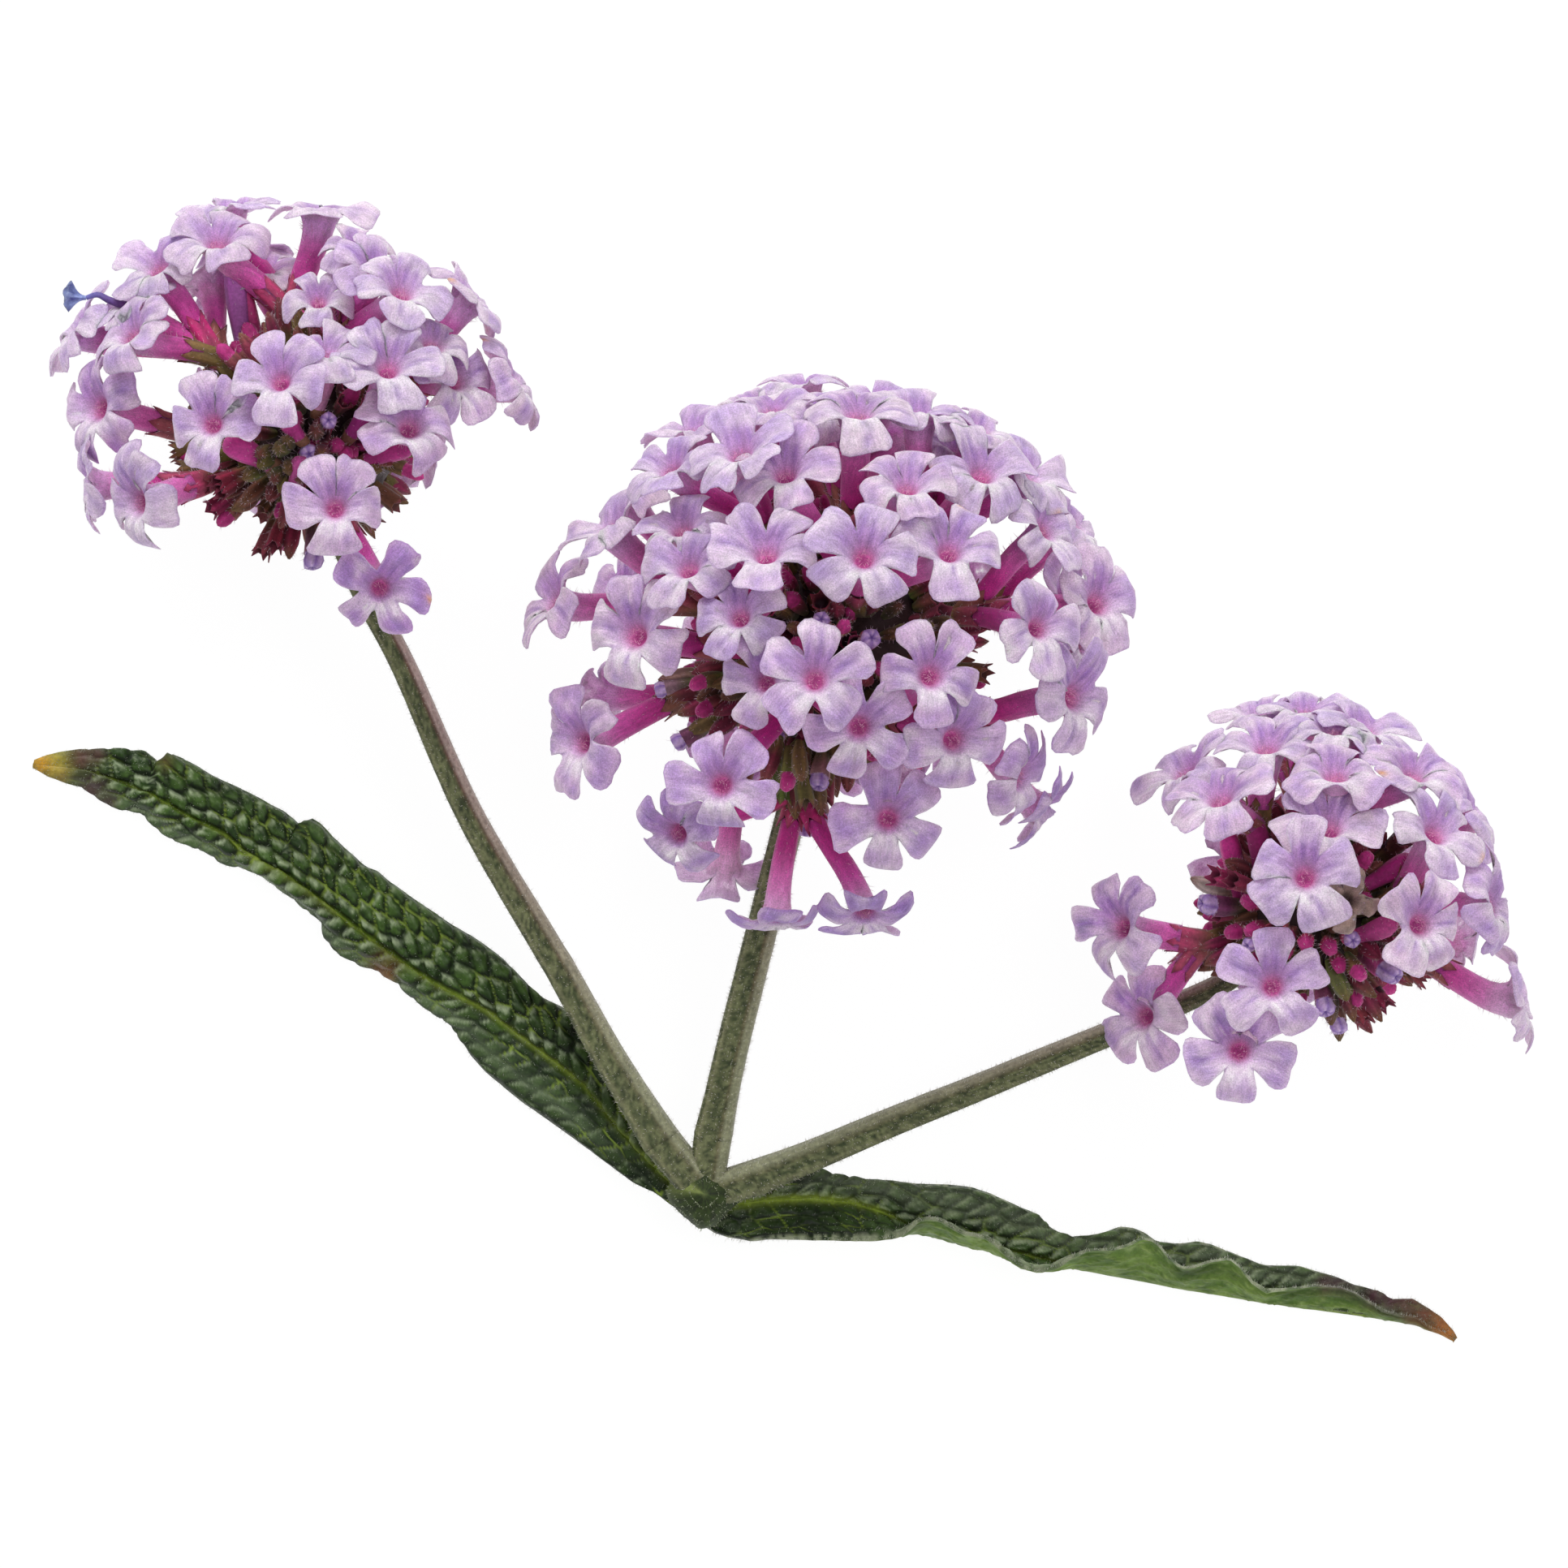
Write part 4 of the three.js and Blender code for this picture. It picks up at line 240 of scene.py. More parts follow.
# traced buds: head, tip, the way it points, length, radius, kind, colour
BUDS = [
    ("centre", (2.06, 9.14, 22.33), (-0.09, 0.17, 0.981), 2.4, 0.5, "violet", None),
    ("centre", (4.89, 8.12, 22.28), (0.21, 0.06, 0.976), 2.6, 0.58, "violet", None),
    ("centre", (-0.63, 2.43, 20.15), (-0.377, -0.545, 0.749), 2.4, 0.5, "violet", (150, 120, 110)),
    ("centre", (1.9, -0.27, 18.22), (-0.108, -0.832, 0.544), 2.6, 0.58, "violet", (150, 110, 110)),
    ("centre", (-6.28, 2.19, 13.71), (-0.864, -0.504, 0), 2.6, 0.55, "violet", (110, 60, 90)),
    ("centre", (-7.28, 5.19, 13.71), (-0.974, -0.226, 0), 2.4, 0.5, "violet", (140, 110, 120)),
    ("centre", (1.18, -3, 13.71), (-0.161, -0.987, 0), 2.6, 0.52, "violet", (130, 110, 110)),
    ("centre", (-4.79, 4.7, 17.68), (-0.819, -0.303, 0.487), 2.6, 0.5, "closed", (96, 60, 50)),
    ("centre", (-3.88, 3.88, 18.47), (-0.722, -0.39, 0.571), 2.6, 0.45, "closed", (120, 40, 70)),
    ("centre", (11.32, 10.32, 16.26), (0.895, 0.295, 0.335), 3.2, 0.55, "teeth", (110, 70, 60)),
    ("centre", (12.11, 9.74, 13.71), (0.973, 0.232, 0), 2.8, 0.42, "closed", (140, 60, 90)),
    ("centre", (11.59, 6.07, 16.4), (0.923, -0.158, 0.35), 2.6, 0.5, "teeth", (110, 80, 50)),
    ("centre", (1.97, 10.23, 22.07), (-0.1, 0.285, 0.953), 2.4, 0.5, "teeth", (130, 50, 50)),
    ("centre", (3.41, 8.88, 22.4), (0.053, 0.141, 0.989), 2.4, 0.46, "magenta", (130, 110, 60)),
    ("centre", (5.65, 6.32, 22.01), (0.292, -0.13, 0.948), 2.4, 0.45, "magenta", None),
    ("centre", (0, 0.36, 18.42), (-0.31, -0.765, 0.565), 2.6, 0.5, "magenta", (120, 40, 60)),
    ("centre", (0.41, -1.09, 15.84), (-0.266, -0.919, 0.291), 2.8, 0.5, "closed", (106, 130, 60)),
    ("centre", (1.55, -2, 13.71), (-0.141, -0.99, 0), 2.8, 0.48, "closed", (110, 90, 50)),
    ("centre", (0.86, -1.54, 14.9), (-0.218, -0.968, 0.128), 2.6, 0.45, "teeth", (120, 60, 60)),
    ("centre", (-0.81, -0.86, 19.03), (-0.153, -0.921, 0.358), 3.4, 0.6, "closed", (92, 104, 48)),
    ("centre", (-0.18, -1.54, 16.71), (-0.101, -0.962, 0.253), 3.4, 0.52, "teeth", (96, 112, 52)),
    ("centre", (0.63, -1.9, 16.51), (0, -0.967, 0.254), 3.2, 0.55, "closed", (120, 50, 60)),
    ("centre", (1.35, -1.53, 18.11), (0.102, -0.973, 0.205), 3.4, 0.52, "teeth", (100, 96, 50)),
    ("centre", (0.09, -0.4, 21.84), (-0.05, -0.799, 0.599), 3, 0.52, "magenta", (110, 120, 56)),
    ("centre", (2.08, -1.72, 16.98), (0.202, -0.958, 0.202), 3.2, 0.5, "closed", (104, 84, 50)),
    ("centre", (-1.17, 0.04, 21.22), (-0.304, -0.862, 0.406), 3, 0.52, "closed", (110, 40, 56)),
    ("centre", (2.27, -2.45, 14.71), (0.205, -0.973, 0.102), 2.6, 0.5, "violet", (140, 110, 110)),
    ("centre", (0.98, 0.18, 23.41), (0.05, -0.755, 0.654), 2.8, 0.5, "closed", (106, 92, 48)),
    ("centre", (-7, 5.82, 13.61), (-0.984, -0.172, 0.05), 2.8, 0.5, "closed", (150, 120, 110)),
    ("centre", (-6.55, 4.91, 13.91), (-0.96, -0.268, 0.081), 2.8, 0.52, "closed", (104, 34, 48)),
    ("centre", (-5.91, 3.91, 13.91), (-0.921, -0.38, 0.084), 2.8, 0.52, "closed", (130, 36, 70)),
    ("centre", (-5.23, 5.41, 18.77), (-0.802, -0.211, 0.558), 2.6, 0.5, "magenta", (100, 84, 46)),
    ("centre", (-4.87, 3.88, 18.27), (-0.776, -0.365, 0.515), 2.6, 0.54, "magenta", (110, 50, 54)),
    ("centre", (-5.5, 2.77, 13.91), (-0.867, -0.492, 0.082), 2.6, 0.5, "closed", (100, 80, 44)),
    ("centre", (-4.11, 2.75, 18.31), (-0.704, -0.481, 0.522), 2.6, 0.5, "closed", (110, 36, 60)),
    ("centre", (-3.42, 4.76, 20.67), (-0.617, -0.272, 0.738), 2.6, 0.5, "closed", (80, 64, 38)),
    ("centre", (8.27, 8.81, 20.73), (0.57, 0.134, 0.811), 2.4, 0.45, "closed", (60, 40, 32)),
    ("centre", (9.41, 9.05, 19.73), (0.691, 0.16, 0.705), 2.6, 0.45, "closed", (70, 50, 34)),
    ("centre", (6.46, 9.92, 21.48), (0.378, 0.252, 0.891), 2.4, 0.42, "closed", (66, 60, 34)),
    ("left", (-25.32, 20.26, 18.36), (0.154, 0.1, 0.983), 2.4, 0.5, "violet", None),
    ("left", (-26.4, 18.32, 18.41), (0.018, -0.143, 0.99), 3.2, 0.55, "violet", (180, 60, 130)),
    ("left", (-27.35, 20.49, 18.39), (-0.1, 0.128, 0.987), 3, 0.5, "magenta", None),
    ("left", (-24.73, 18.87, 18.27), (0.226, -0.075, 0.971), 2.8, 0.5, "magenta", None),
    ("left", (-24.2, 18.33, 18.06), (0.293, -0.141, 0.946), 2.6, 0.45, "magenta", (110, 60, 50)),
    ("left", (-28.48, 27.34, 11.1), (-0.239, 0.971, 0), 3, 0.46, "closed", (104, 36, 50)),
    ("left", (-27.29, 26.74, 13.74), (-0.093, 0.91, 0.405), 2.6, 0.4, "closed", (110, 90, 50)),
    ("left", (-25.23, 25.96, 14.98), (0.164, 0.812, 0.56), 2.4, 0.42, "closed", (110, 96, 54)),
    ("left", (-28.93, 26.43, 13.63), (-0.298, 0.87, 0.392), 2.6, 0.4, "closed", (120, 40, 70)),
    ("left", (-34.84, 18.56, 11.1), (-0.994, -0.108, 0), 3.4, 0.5, "teeth", (104, 84, 46)),
    ("left", (-34.47, 17.65, 11.1), (-0.975, -0.223, 0), 3.2, 0.46, "teeth", (120, 96, 60)),
    ("left", (-32.94, 17.97, 15.06), (-0.8, -0.187, 0.571), 3, 0.5, "closed", (96, 84, 40)),
    ("left", (-32.1, 16.68, 15.54), (-0.694, -0.347, 0.63), 3.4, 0.46, "teeth", (120, 26, 52)),
    ("left", (-31.93, 16.06, 15.33), (-0.673, -0.426, 0.605), 3.4, 0.46, "teeth", (110, 30, 50)),
    ("left", (-30.14, 15.75, 16.6), (-0.45, -0.464, 0.763), 3, 0.46, "closed", (104, 60, 44)),
    ("left", (-29.5, 12.47, 13.03), (-0.37, -0.874, 0.317), 3.4, 0.48, "teeth", (120, 50, 60)),
    ("left", (-28.66, 12.9, 14.55), (-0.264, -0.821, 0.507), 3.2, 0.46, "teeth", (130, 40, 60)),
    ("left", (-27.7, 12.63, 14.49), (-0.145, -0.855, 0.499), 3.2, 0.5, "closed", (120, 28, 58)),
    ("left", (-26.48, 12.01, 13.41), (0.008, -0.931, 0.364), 3.4, 0.6, "violet", (130, 90, 110)),
    ("left", (-31.16, 19.1, 17.99), (-0.853, 0.431, 0.294), 3.6, 0.72, "club", None),
    ("left", (-27.8, 20.95, 19.24), (-0.431, 0.765, 0.478), 2.6, 0.6, "club", None),
    ("left", (-22.61, 21.35, 18.22), (0.577, 0.721, 0.384), 3.2, 0.56, "club", (176, 50, 140)),
    ("left", (-20.76, 18.77, 17.02), (0.91, 0.293, 0.293), 3.4, 0.62, "club", None),
    ("left", (-26.69, 18.12, 18.98), (0.303, 0.808, 0.505), 2.4, 0.58, "club", (190, 80, 150)),
    ("left", (-25.51, 23.25, 16.98), (0.197, 0.935, 0.295), 3, 0.6, "club", (214, 150, 192)),
    ("left", (-31.03, 29.65, 9.9), (-0.121, 0.988, 0.101), 7, 0.66, "club", (170, 96, 172)),
    ("left", (-30.5, 28.12, 9.5), (-0.305, 0.947, 0.102), 4.5, 0.45, "club", (206, 70, 140)),
    ("left", (-24.58, 17.64, 18.64), (0.398, 0.697, 0.597), 2.4, 0.5, "club", (160, 40, 110)),
    ("left", (-28.21, 18.65, 19.27), (-0.185, -0.09, 0.979), 2.8, 0.5, "closed", (84, 88, 42)),
    ("left", (-27.58, 17.4, 19.16), (-0.116, -0.231, 0.966), 2.8, 0.5, "closed", (92, 72, 40)),
    ("left", (-28.41, 16.86, 18.83), (-0.209, -0.291, 0.934), 3, 0.5, "closed", (76, 80, 38)),
    ("left", (-27.67, 19.2, 19.21), (-0.128, -0.03, 0.991), 2.8, 0.5, "closed", (70, 66, 36)),
    ("left", (-26.86, 16.86, 19.06), (-0.036, -0.291, 0.956), 2.8, 0.46, "closed", (110, 40, 60)),
    ("left", (-29.22, 18.31, 18.74), (-0.307, -0.132, 0.943), 3, 0.5, "closed", (98, 92, 46)),
    ("left", (-29.23, 17.64, 18.6), (-0.308, -0.209, 0.928), 3.2, 0.5, "closed", (84, 84, 40)),
    ("left", (-28.01, 16.24, 18.67), (-0.165, -0.362, 0.918), 3, 0.5, "closed", (96, 88, 44)),
    ("left", (-30.08, 16.98, 17.82), (-0.416, -0.292, 0.861), 3.2, 0.5, "closed", (90, 96, 46)),
    ("left", (-28.71, 15.8, 18.07), (-0.25, -0.421, 0.872), 3.2, 0.5, "closed", (110, 50, 56)),
    ("left", (-25.74, 18.3, 18.98), (0.093, -0.135, 0.986), 2.6, 0.5, "closed", (100, 34, 56)),
    ("left", (-26.05, 19.65, 19.08), (0.057, 0.022, 0.998), 2.6, 0.5, "closed", (84, 60, 38)),
    ("left", (-27.36, 15.39, 18.14), (-0.105, -0.943, 0.314), 3, 0.52, "closed", (120, 36, 66)),
    ("left", (-28.1, 14.3, 16.81), (-0.309, -0.928, 0.206), 3, 0.5, "closed", (128, 34, 64)),
    ("left", (-21.9, 17.83, 16.8), (0.581, -0.205, 0.788), 3.4, 0.46, "closed", (130, 80, 60)),
    ("left", (-22.43, 17.46, 17.06), (0.514, -0.251, 0.82), 3.2, 0.42, "closed", (110, 96, 56)),
    ("right", (34.14, -7.6, 17.19), (0.808, 0.303, 0.505), 3.4, 0.62, "club", (190, 70, 140)),
    ("right", (35.21, -4.08, 15.07), (0.845, 0.497, 0.199), 3.8, 0.6, "club", (166, 40, 120)),
    ("right", (24.79, -2.37, 12.43), (-0.2, 0.968, 0.15), 6.4, 0.6, "club", (196, 50, 140)),
    ("right", (26.3, -2, 14.35), (-0.1, 0.974, 0.201), 3.6, 0.62, "club", (150, 30, 104)),
    ("right", (28.89, -0.41, 12.5), (0, 0.995, 0.103), 3.6, 0.55, "club", (150, 26, 92)),
    ("right", (30.62, -13.45, 14.35), (0.1, -0.949, 0.3), 3.2, 0.56, "closed", (84, 70, 60)),
    ("right", (31.24, -14.43, 11.1), (0.202, -0.958, 0.202), 3.4, 0.56, "closed", (100, 84, 76)),
    ("right", (31.88, -13.26, 14.59), (0.346, -0.89, 0.297), 3.4, 0.5, "closed", (110, 44, 60)),
    ("right", (33.11, -13.99, 10.35), (0.497, -0.845, 0.199), 3.6, 0.5, "closed", (130, 30, 66)),
    ("right", (33.52, -13.3, 12.81), (0.588, -0.784, 0.196), 3.6, 0.5, "closed", (120, 34, 66)),
    ("right", (31.41, -12.04, 16.63), (0.309, -0.722, 0.619), 3, 0.52, "closed", (96, 104, 56)),
    ("right", (33.03, -11.87, 15.85), (0.609, -0.609, 0.508), 3.2, 0.5, "closed", (104, 40, 54)),
    ("right", (32.28, -10.8, 17.27), (0.277, -0.439, 0.855), 2.8, 0.5, "magenta", (110, 84, 50)),
    ("right", (33.2, -9.68, 17.04), (0.399, -0.319, 0.86), 2.8, 0.5, "closed", (120, 30, 60)),
    ("right", (33.9, -8.78, 16.55), (0.505, -0.22, 0.835), 2.8, 0.5, "closed", (60, 40, 34)),
    ("right", (23.29, -6.64, 13.66), (-0.871, 0.053, 0.489), 3.2, 0.62, "violet", (120, 60, 100)),
    ("right", (22.88, -5.29, 12.27), (-0.924, 0.231, 0.306), 3, 0.5, "closed", (190, 180, 170)),
    ("right", (23.73, -5.09, 13.93), (-0.812, 0.257, 0.524), 3, 0.5, "teeth", (180, 60, 110)),
    ("right", (24.77, -5.26, 15.26), (-0.676, 0.234, 0.699), 2.8, 0.48, "teeth", (170, 70, 100)),
    ("right", (25.63, -6.43, 16.2), (-0.562, 0.08, 0.823), 2.4, 0.5, "magenta", None),
    ("right", (24.67, -8.35, 15.3), (-0.688, -0.172, 0.705), 2.6, 0.52, "magenta", None),
    ("right", (25.81, -8.24, 16.24), (-0.538, -0.158, 0.828), 2.4, 0.48, "magenta", (140, 40, 80)),
    ("right", (27.32, -8.1, 17.01), (-0.34, -0.139, 0.93), 2.2, 0.46, "teeth", (150, 50, 70)),
    ("right", (29.12, -9.13, 17.21), (-0.103, -0.275, 0.956), 2.2, 0.5, "magenta", (150, 40, 80)),
    ("right", (30.57, -9.31, 17.17), (0.087, -0.299, 0.95), 2.2, 0.5, "magenta", (150, 40, 80)),
    ("right", (31.05, -10.41, 16.66), (0.15, -0.443, 0.884), 2.4, 0.46, "magenta", None),
    ("right", (31.75, -8.77, 17.11), (0.242, -0.228, 0.943), 2.4, 0.5, "violet", (190, 80, 120)),
    ("right", (34.41, -10.9, 14.69), (0.594, -0.507, 0.625), 4.4, 0.62, "violet", (176, 70, 130)),
    ("right", (30.32, -12.89, 14.78), (0.055, -0.77, 0.636), 3, 0.58, "violet", (120, 60, 90)),
    ("right", (31.25, -14.03, 12.6), (0.178, -0.92, 0.35), 3, 0.52, "violet", (120, 80, 70)),
    ("right", (32.14, -12.44, 14.81), (0.294, -0.71, 0.64), 3, 0.46, "magenta", (140, 90, 60)),
    ("right", (32.94, -13.78, 12.32), (0.4, -0.887, 0.233), 3.4, 0.46, "teeth", (130, 50, 60)),
    ("right", (34.17, -12.76, 12.56), (0.562, -0.752, 0.345), 3.2, 0.48, "teeth", (130, 40, 70)),
    ("right", (35.59, -10.92, 13.15), (0.749, -0.511, 0.422), 3.4, 0.46, "teeth", (120, 80, 50)),
    ("right", (36.42, -11.44, 10.54), (0.829, -0.559, 0), 3.4, 0.46, "teeth", (120, 50, 60)),
    ("right", (34.82, -2.82, 13.91), (0.647, 0.556, 0.522), 3, 0.56, "teeth", (70, 36, 34)),
    ("right", (25.78, -9.06, 16), (-0.543, -0.266, 0.797), 2.4, 0.44, "violet", (190, 160, 160)),
    ("right", (31.69, -11.74, 15.65), (0.234, -0.618, 0.75), 2.6, 0.46, "closed", (100, 110, 60)),
    ("right", (28.66, -6.51, 17.42), (-0.164, 0.07, 0.984), 2.2, 0.42, "closed", (110, 110, 60)),
]
BLUE = [(-38.08, 27.31, 9), (-39.41, 27.45, 9), (-41.05, 27.54, 9.2)]
WITHERED = {95: 0.95}
HABIT = {59: {2: (0.78, -0.12, 0.25)}}
STEM_R = {"left": (1.00, 0.66), "centre": (1.00, 0.88), "right": (0.92, 0.62)}
NODE = (-4.53, -23.31, 3.4)
LEAF_LEFT = {
    "far": [
        (-4.54, -23, 1.9), (-5.47, -21.98, 1.9), (-6.68, -20.68, 1.9), (-8.16, -18.74, 1.6), (-9.79, -16.19, 1.4), (-11.42, -13.74, 1.29),
        (-12.35, -12.95, 1.23), (-13.97, -12.16, 1.14), (-15.13, -11, 1.07), (-16.06, -10.07, 1.02), (-16.99, -9.33, 1), (-17.92, -8.68, 1),
        (-18.85, -8.17, 1.02), (-19.78, -7.52, 1.07), (-20.7, -6.92, 1.1), (-21.63, -6.27, 1.1), (-22.56, -5.62, 1.1), (-23.26, -5.01, 1.1),
        (-23.95, -4.74, 1.1), (-24.79, -3.99, 1.15), (-25.81, -3.02, 1.22), (-26.5, -2.27, 1.27), (-26.96, -2, 1.3), (-27.34, -2.13, 1.27),
        (-27.61, -2.46, 1.26), (-28.04, -2.04, 1.19), (-28.6, -1.58, 1.1), (-29.29, -1.25, 1.1), (-29.99, -0.84, 1.1), (-30.92, -0.37, 1.1),
        (-31.85, 0.05, 1.1), (-32.77, 0.51, 1.11), (-33.47, 0.93, 1.14), (-34.39, 1.44, 1.19), (-34.95, 1.67, 1.15), (-35.23, 1.44, 1.13),
        (-35.42, 1.07, 1.14), (-35.65, 1.11, 1.1), (-36.03, 1.44, 1), (-36.49, 1.81, 0.97), (-37.43, 1.9, 0.94), (-38.82, 1.95, 0.86),
        (-40.22, 1.95, 0.75), (-41.16, 1.86, 0.67), (-42.09, 1.63, 0.56), (-42.8, 1.35, 0.5), (-42.98, 1.21, 0.5)],
    "mid": [
        (-5.01, -23.92, 1.9), (-5.84, -23.23, 1.9), (-6.77, -22.44, 1.9), (-9.56, -19.44, 1.34), (-11.42, -17.13, 1.13), (-14.21, -15.04, 1),
        (-16.99, -12.95, 1), (-19.78, -11.56, 1), (-21.63, -10.4, 1.09), (-24.42, -8.31, 1.1), (-26.27, -6.92, 1.1), (-28.13, -5.52, 1.2),
        (-30.92, -3.9, 1.1), (-31.85, -2.97, 1.1), (-34.17, -1.81, 1.1), (-36.49, -0.42, 1.03), (-38.35, 0.28, 0.93), (-39.76, 0.74, 0.82),
        (-41.39, 0.98, 0.68), (-42.98, 1.11, 0.51)],
    "near": [
        (-5.38, -24.71, 2), (-6.12, -24.24, 2), (-6.77, -23.78, 2), (-7.42, -23.27, 2), (-8.63, -22.77, 1.74), (-9.56, -22.08, 1.5),
        (-11.42, -20.71, 1.05), (-13.28, -19.37, 0.79), (-15.15, -18.07, 0.57), (-17.01, -16.54, 0.43), (-17.94, -15.52, 0.36), (-19.1, -13.67, 0.3),
        (-20.27, -12.97, 0.3), (-21.43, -11.95, 0.3), (-22.03, -11.25, 0.3), (-22.82, -10.83, 0.3), (-23.52, -10.41, 0.31), (-24.22, -10.32, 0.34),
        (-24.68, -10.09, 0.37), (-25.38, -9.81, 0.4), (-25.84, -9.34, 0.4), (-26.21, -8.78, 0.4), (-26.3, -7.99, 0.38), (-26.86, -7.34, 0.34),
        (-27.61, -6.83, 0.3), (-28.17, -6.28, 0.3), (-29.56, -5.3, 0.31), (-30.72, -4.69, 0.38), (-31.79, -4.55, 0.4), (-32.35, -4.37, 0.4),
        (-33.04, -3.81, 0.4), (-33.51, -3.67, 0.41), (-34.2, -3.3, 0.46), (-34.9, -3.16, 0.49), (-35.59, -2.74, 0.5), (-36.29, -2.04, 0.5),
        (-36.76, -1.53, 0.5), (-37.92, -1.39, 0.5), (-38.61, -1.16, 0.5), (-39.31, -0.7, 0.5), (-40.24, -0.09, 0.5), (-41.17, 0.14, 0.49),
        (-42.1, 0.47, 0.47), (-42.66, 0.84, 0.45), (-42.94, 1.02, 0.45)],
    "base": (-5.386, -23.865), "tip": (-42.982, 1.115), "from": -0.008, "facing": 1.0, "thick": 0.16,
    "bulge": (0.45, 0.45, 0.0), "quilt": (1.0, 1.0), "smooth": 0.6, "veins": 0.72, "hoary": 0.15,
    # bands: place across the leaf, width, colour, amount; the bands at 0.62 and 0.90 are a painted lit band and a
    # painted shaded band where the blade rolls over by the near margin
    "bands": [(0.62, 0.16, (118, 134, 104), 0.45), (0.90, 0.08, (34, 50, 24), 0.5), (-0.93, 0.06, (120, 138, 104), 0.35)],
    "spots": [(-23.17, -10.49, 0.8, (100, 64, 40), 0.9), (-22.57, -10.77, 0.5, (130, 84, 44), 0.8), (-40.21, 1.44, 0.8, (92, 60, 58), 0.95), (-39.19, 1.67, 0.5, (80, 54, 52), 0.9), (-39.65, -0.28, 0.9, (84, 58, 62), 0.9), (-38.54, -0.88, 0.5, (78, 56, 58), 0.8), (-41.37, 0.51, 0.5, (110, 70, 60), 0.7), (-41.79, 1.07, 0.9, (184, 164, 70), 0.85), (-42.53, 1.11, 0.6, (206, 152, 50), 0.95), (-35.33, 1.21, 0.5, (100, 80, 50), 0.6)],
    "hairs": (2600, 700, 1.0),
}
LEAF_RIGHT = {
    "far": [
        (-4.36, -23.01, 1.6), (-3.06, -22.73, 1.6), (-1.9, -22.54, 1.6), (-0.05, -22.28, 1.2), (2.04, -22.05, 1), (2.79, -22.43, 0.92),
        (4.37, -22.62, 0.8), (6.22, -22.71, 0.82), (7.62, -22.89, 0.9), (9.47, -22.94, 0.79), (10.87, -23.13, 0.7), (11.8, -23.46, 0.65),
        (12.73, -23.88, 0.6), (13.66, -24.3, 0.6), (14.49, -24.62, 0.6), (15.15, -25.37, 0.6), (15.75, -25.69, 0.61), (16.45, -25.92, 0.65),
        (17.37, -25.87, 0.7), (18.3, -25.69, 0.74), (19.23, -25.36, 0.79), (19.93, -25.41, 0.77), (20.62, -25.69, 0.73), (21.32, -26.2, 0.69),
        (22.49, -26.34, 0.61), (23.65, -26.2, 0.6), (24.34, -26.34, 0.6), (25.04, -26.62, 0.6), (25.97, -26.99, 0.6), (27.37, -27.55, 0.56),
        (28.3, -27.6, 0.53), (29.46, -27.6, 0.5), (30.16, -27.83, 0.5), (31.55, -28.21, 0.5), (32.71, -28.72, 0.5), (33.88, -29, 0.5),
        (34.8, -29.51, 0.5), (35.97, -29.46, 0.49), (36.9, -30.02, 0.47), (37.59, -30.48, 0.45), (38.3, -31.32, 0.4), (38.48, -31.74, 0.4)],
    "mid": [
        (-4.54, -24.2, 1.9), (-2.83, -23.92, 1.9), (-1.21, -23.75, 1.67), (1.58, -23.66, 1.4), (3.9, -23.95, 1.3), (5.75, -24.55, 1.2),
        (7.24, -25.53, 1.11), (10.87, -26.42, 1), (12.72, -26.84, 1), (15.74, -27.49, 0.99), (20.15, -28.37, 0.9), (24.8, -29.21, 0.81),
        (27.59, -29.63, 0.78), (29.45, -29.91, 0.7), (34.1, -30.57, 0.6), (36.19, -30.94, 0.59), (37.45, -31.27, 0.51), (38.44, -31.79, 0.4)],
    "near": [
        (-4.82, -25.02, 2.3), (-3.98, -25.62, 2.3), (-3.15, -25.9, 2.3), (-2.36, -25.99, 2.31), (-1.9, -26.08, 2.38), (-0.97, -25.89, 2.53),
        (4.81, -25.86, 3.16), (6.2, -25.71, 3.51), (6.75, -25.52, 3.72), (7.21, -25.14, 3.88), (7.58, -24.77, 3.96), (8.27, -24.62, 4.11),
        (9.19, -24.85, 4.14), (9.89, -25.36, 4.05), (10.58, -25.55, 3.95), (11.51, -25.75, 3.8), (12.21, -26.21, 3.66), (12.9, -26.91, 3.48),
        (13.69, -27.48, 3.3), (14.53, -27.66, 3.25), (15.45, -27.48, 3.22), (16.37, -26.87, 3.42), (17.29, -26.49, 3.61), (18.67, -26.44, 3.82),
        (19.59, -26.2, 3.93), (20.28, -25.83, 3.98), (20.89, -25.88, 3.87), (21.45, -26.3, 3.67), (21.92, -26.91, 3.48), (22.62, -27.52, 3.29),
        (23.32, -27.48, 3.26), (24.24, -27.16, 3.22), (25.41, -27.02, 3.07), (26.11, -27.59, 2.93), (26.8, -28.43, 2.79), (27.5, -28.89, 2.73),
        (28.43, -28.8, 2.65), (30.29, -28.58, 2.44), (31.7, -28.68, 2.23), (32.63, -29.02, 2.02), (33.57, -29.63, 1.79), (34.28, -30.1, 1.61),
        (35.22, -30.3, 1.4), (36.16, -30.45, 1.19), (36.86, -31.01, 1.02), (37.81, -31.35, 0.73), (38.42, -31.78, 0.55)],
    "base": (-4.55, -23.865), "tip": (38.475, -31.784), "from": 0.0, "facing": -1.0, "thick": 0.16,
    "bulge": (0.25, 0.15, -0.35), "quilt": (0.85, 0.5), "smooth": 0.0, "veins": 0.55, "hoary": 0.75,
    "bands": [(-0.7, 0.3, (128, 140, 112), 0.4)],
    "spots": [(30.92, -28.65, 0.5, (88, 58, 66), 0.8), (31.76, -28.69, 0.5, (82, 54, 66), 0.95), (32.59, -28.88, 0.5, (80, 52, 64), 0.95), (33.62, -29.34, 0.6, (88, 54, 66), 0.95), (34.64, -29.62, 0.6, (84, 52, 62), 0.95), (35.7, -29.71, 0.8, (96, 60, 62), 0.95), (36.63, -30.27, 0.8, (120, 70, 56), 0.95), (37.56, -30.92, 0.7, (160, 96, 50), 0.95), (38.12, -31.53, 0.7, (190, 118, 54), 0.95), (35.94, -30.74, 0.6, (104, 74, 50), 0.7)],
    "hairs": (2600, 900, 0.6),
}
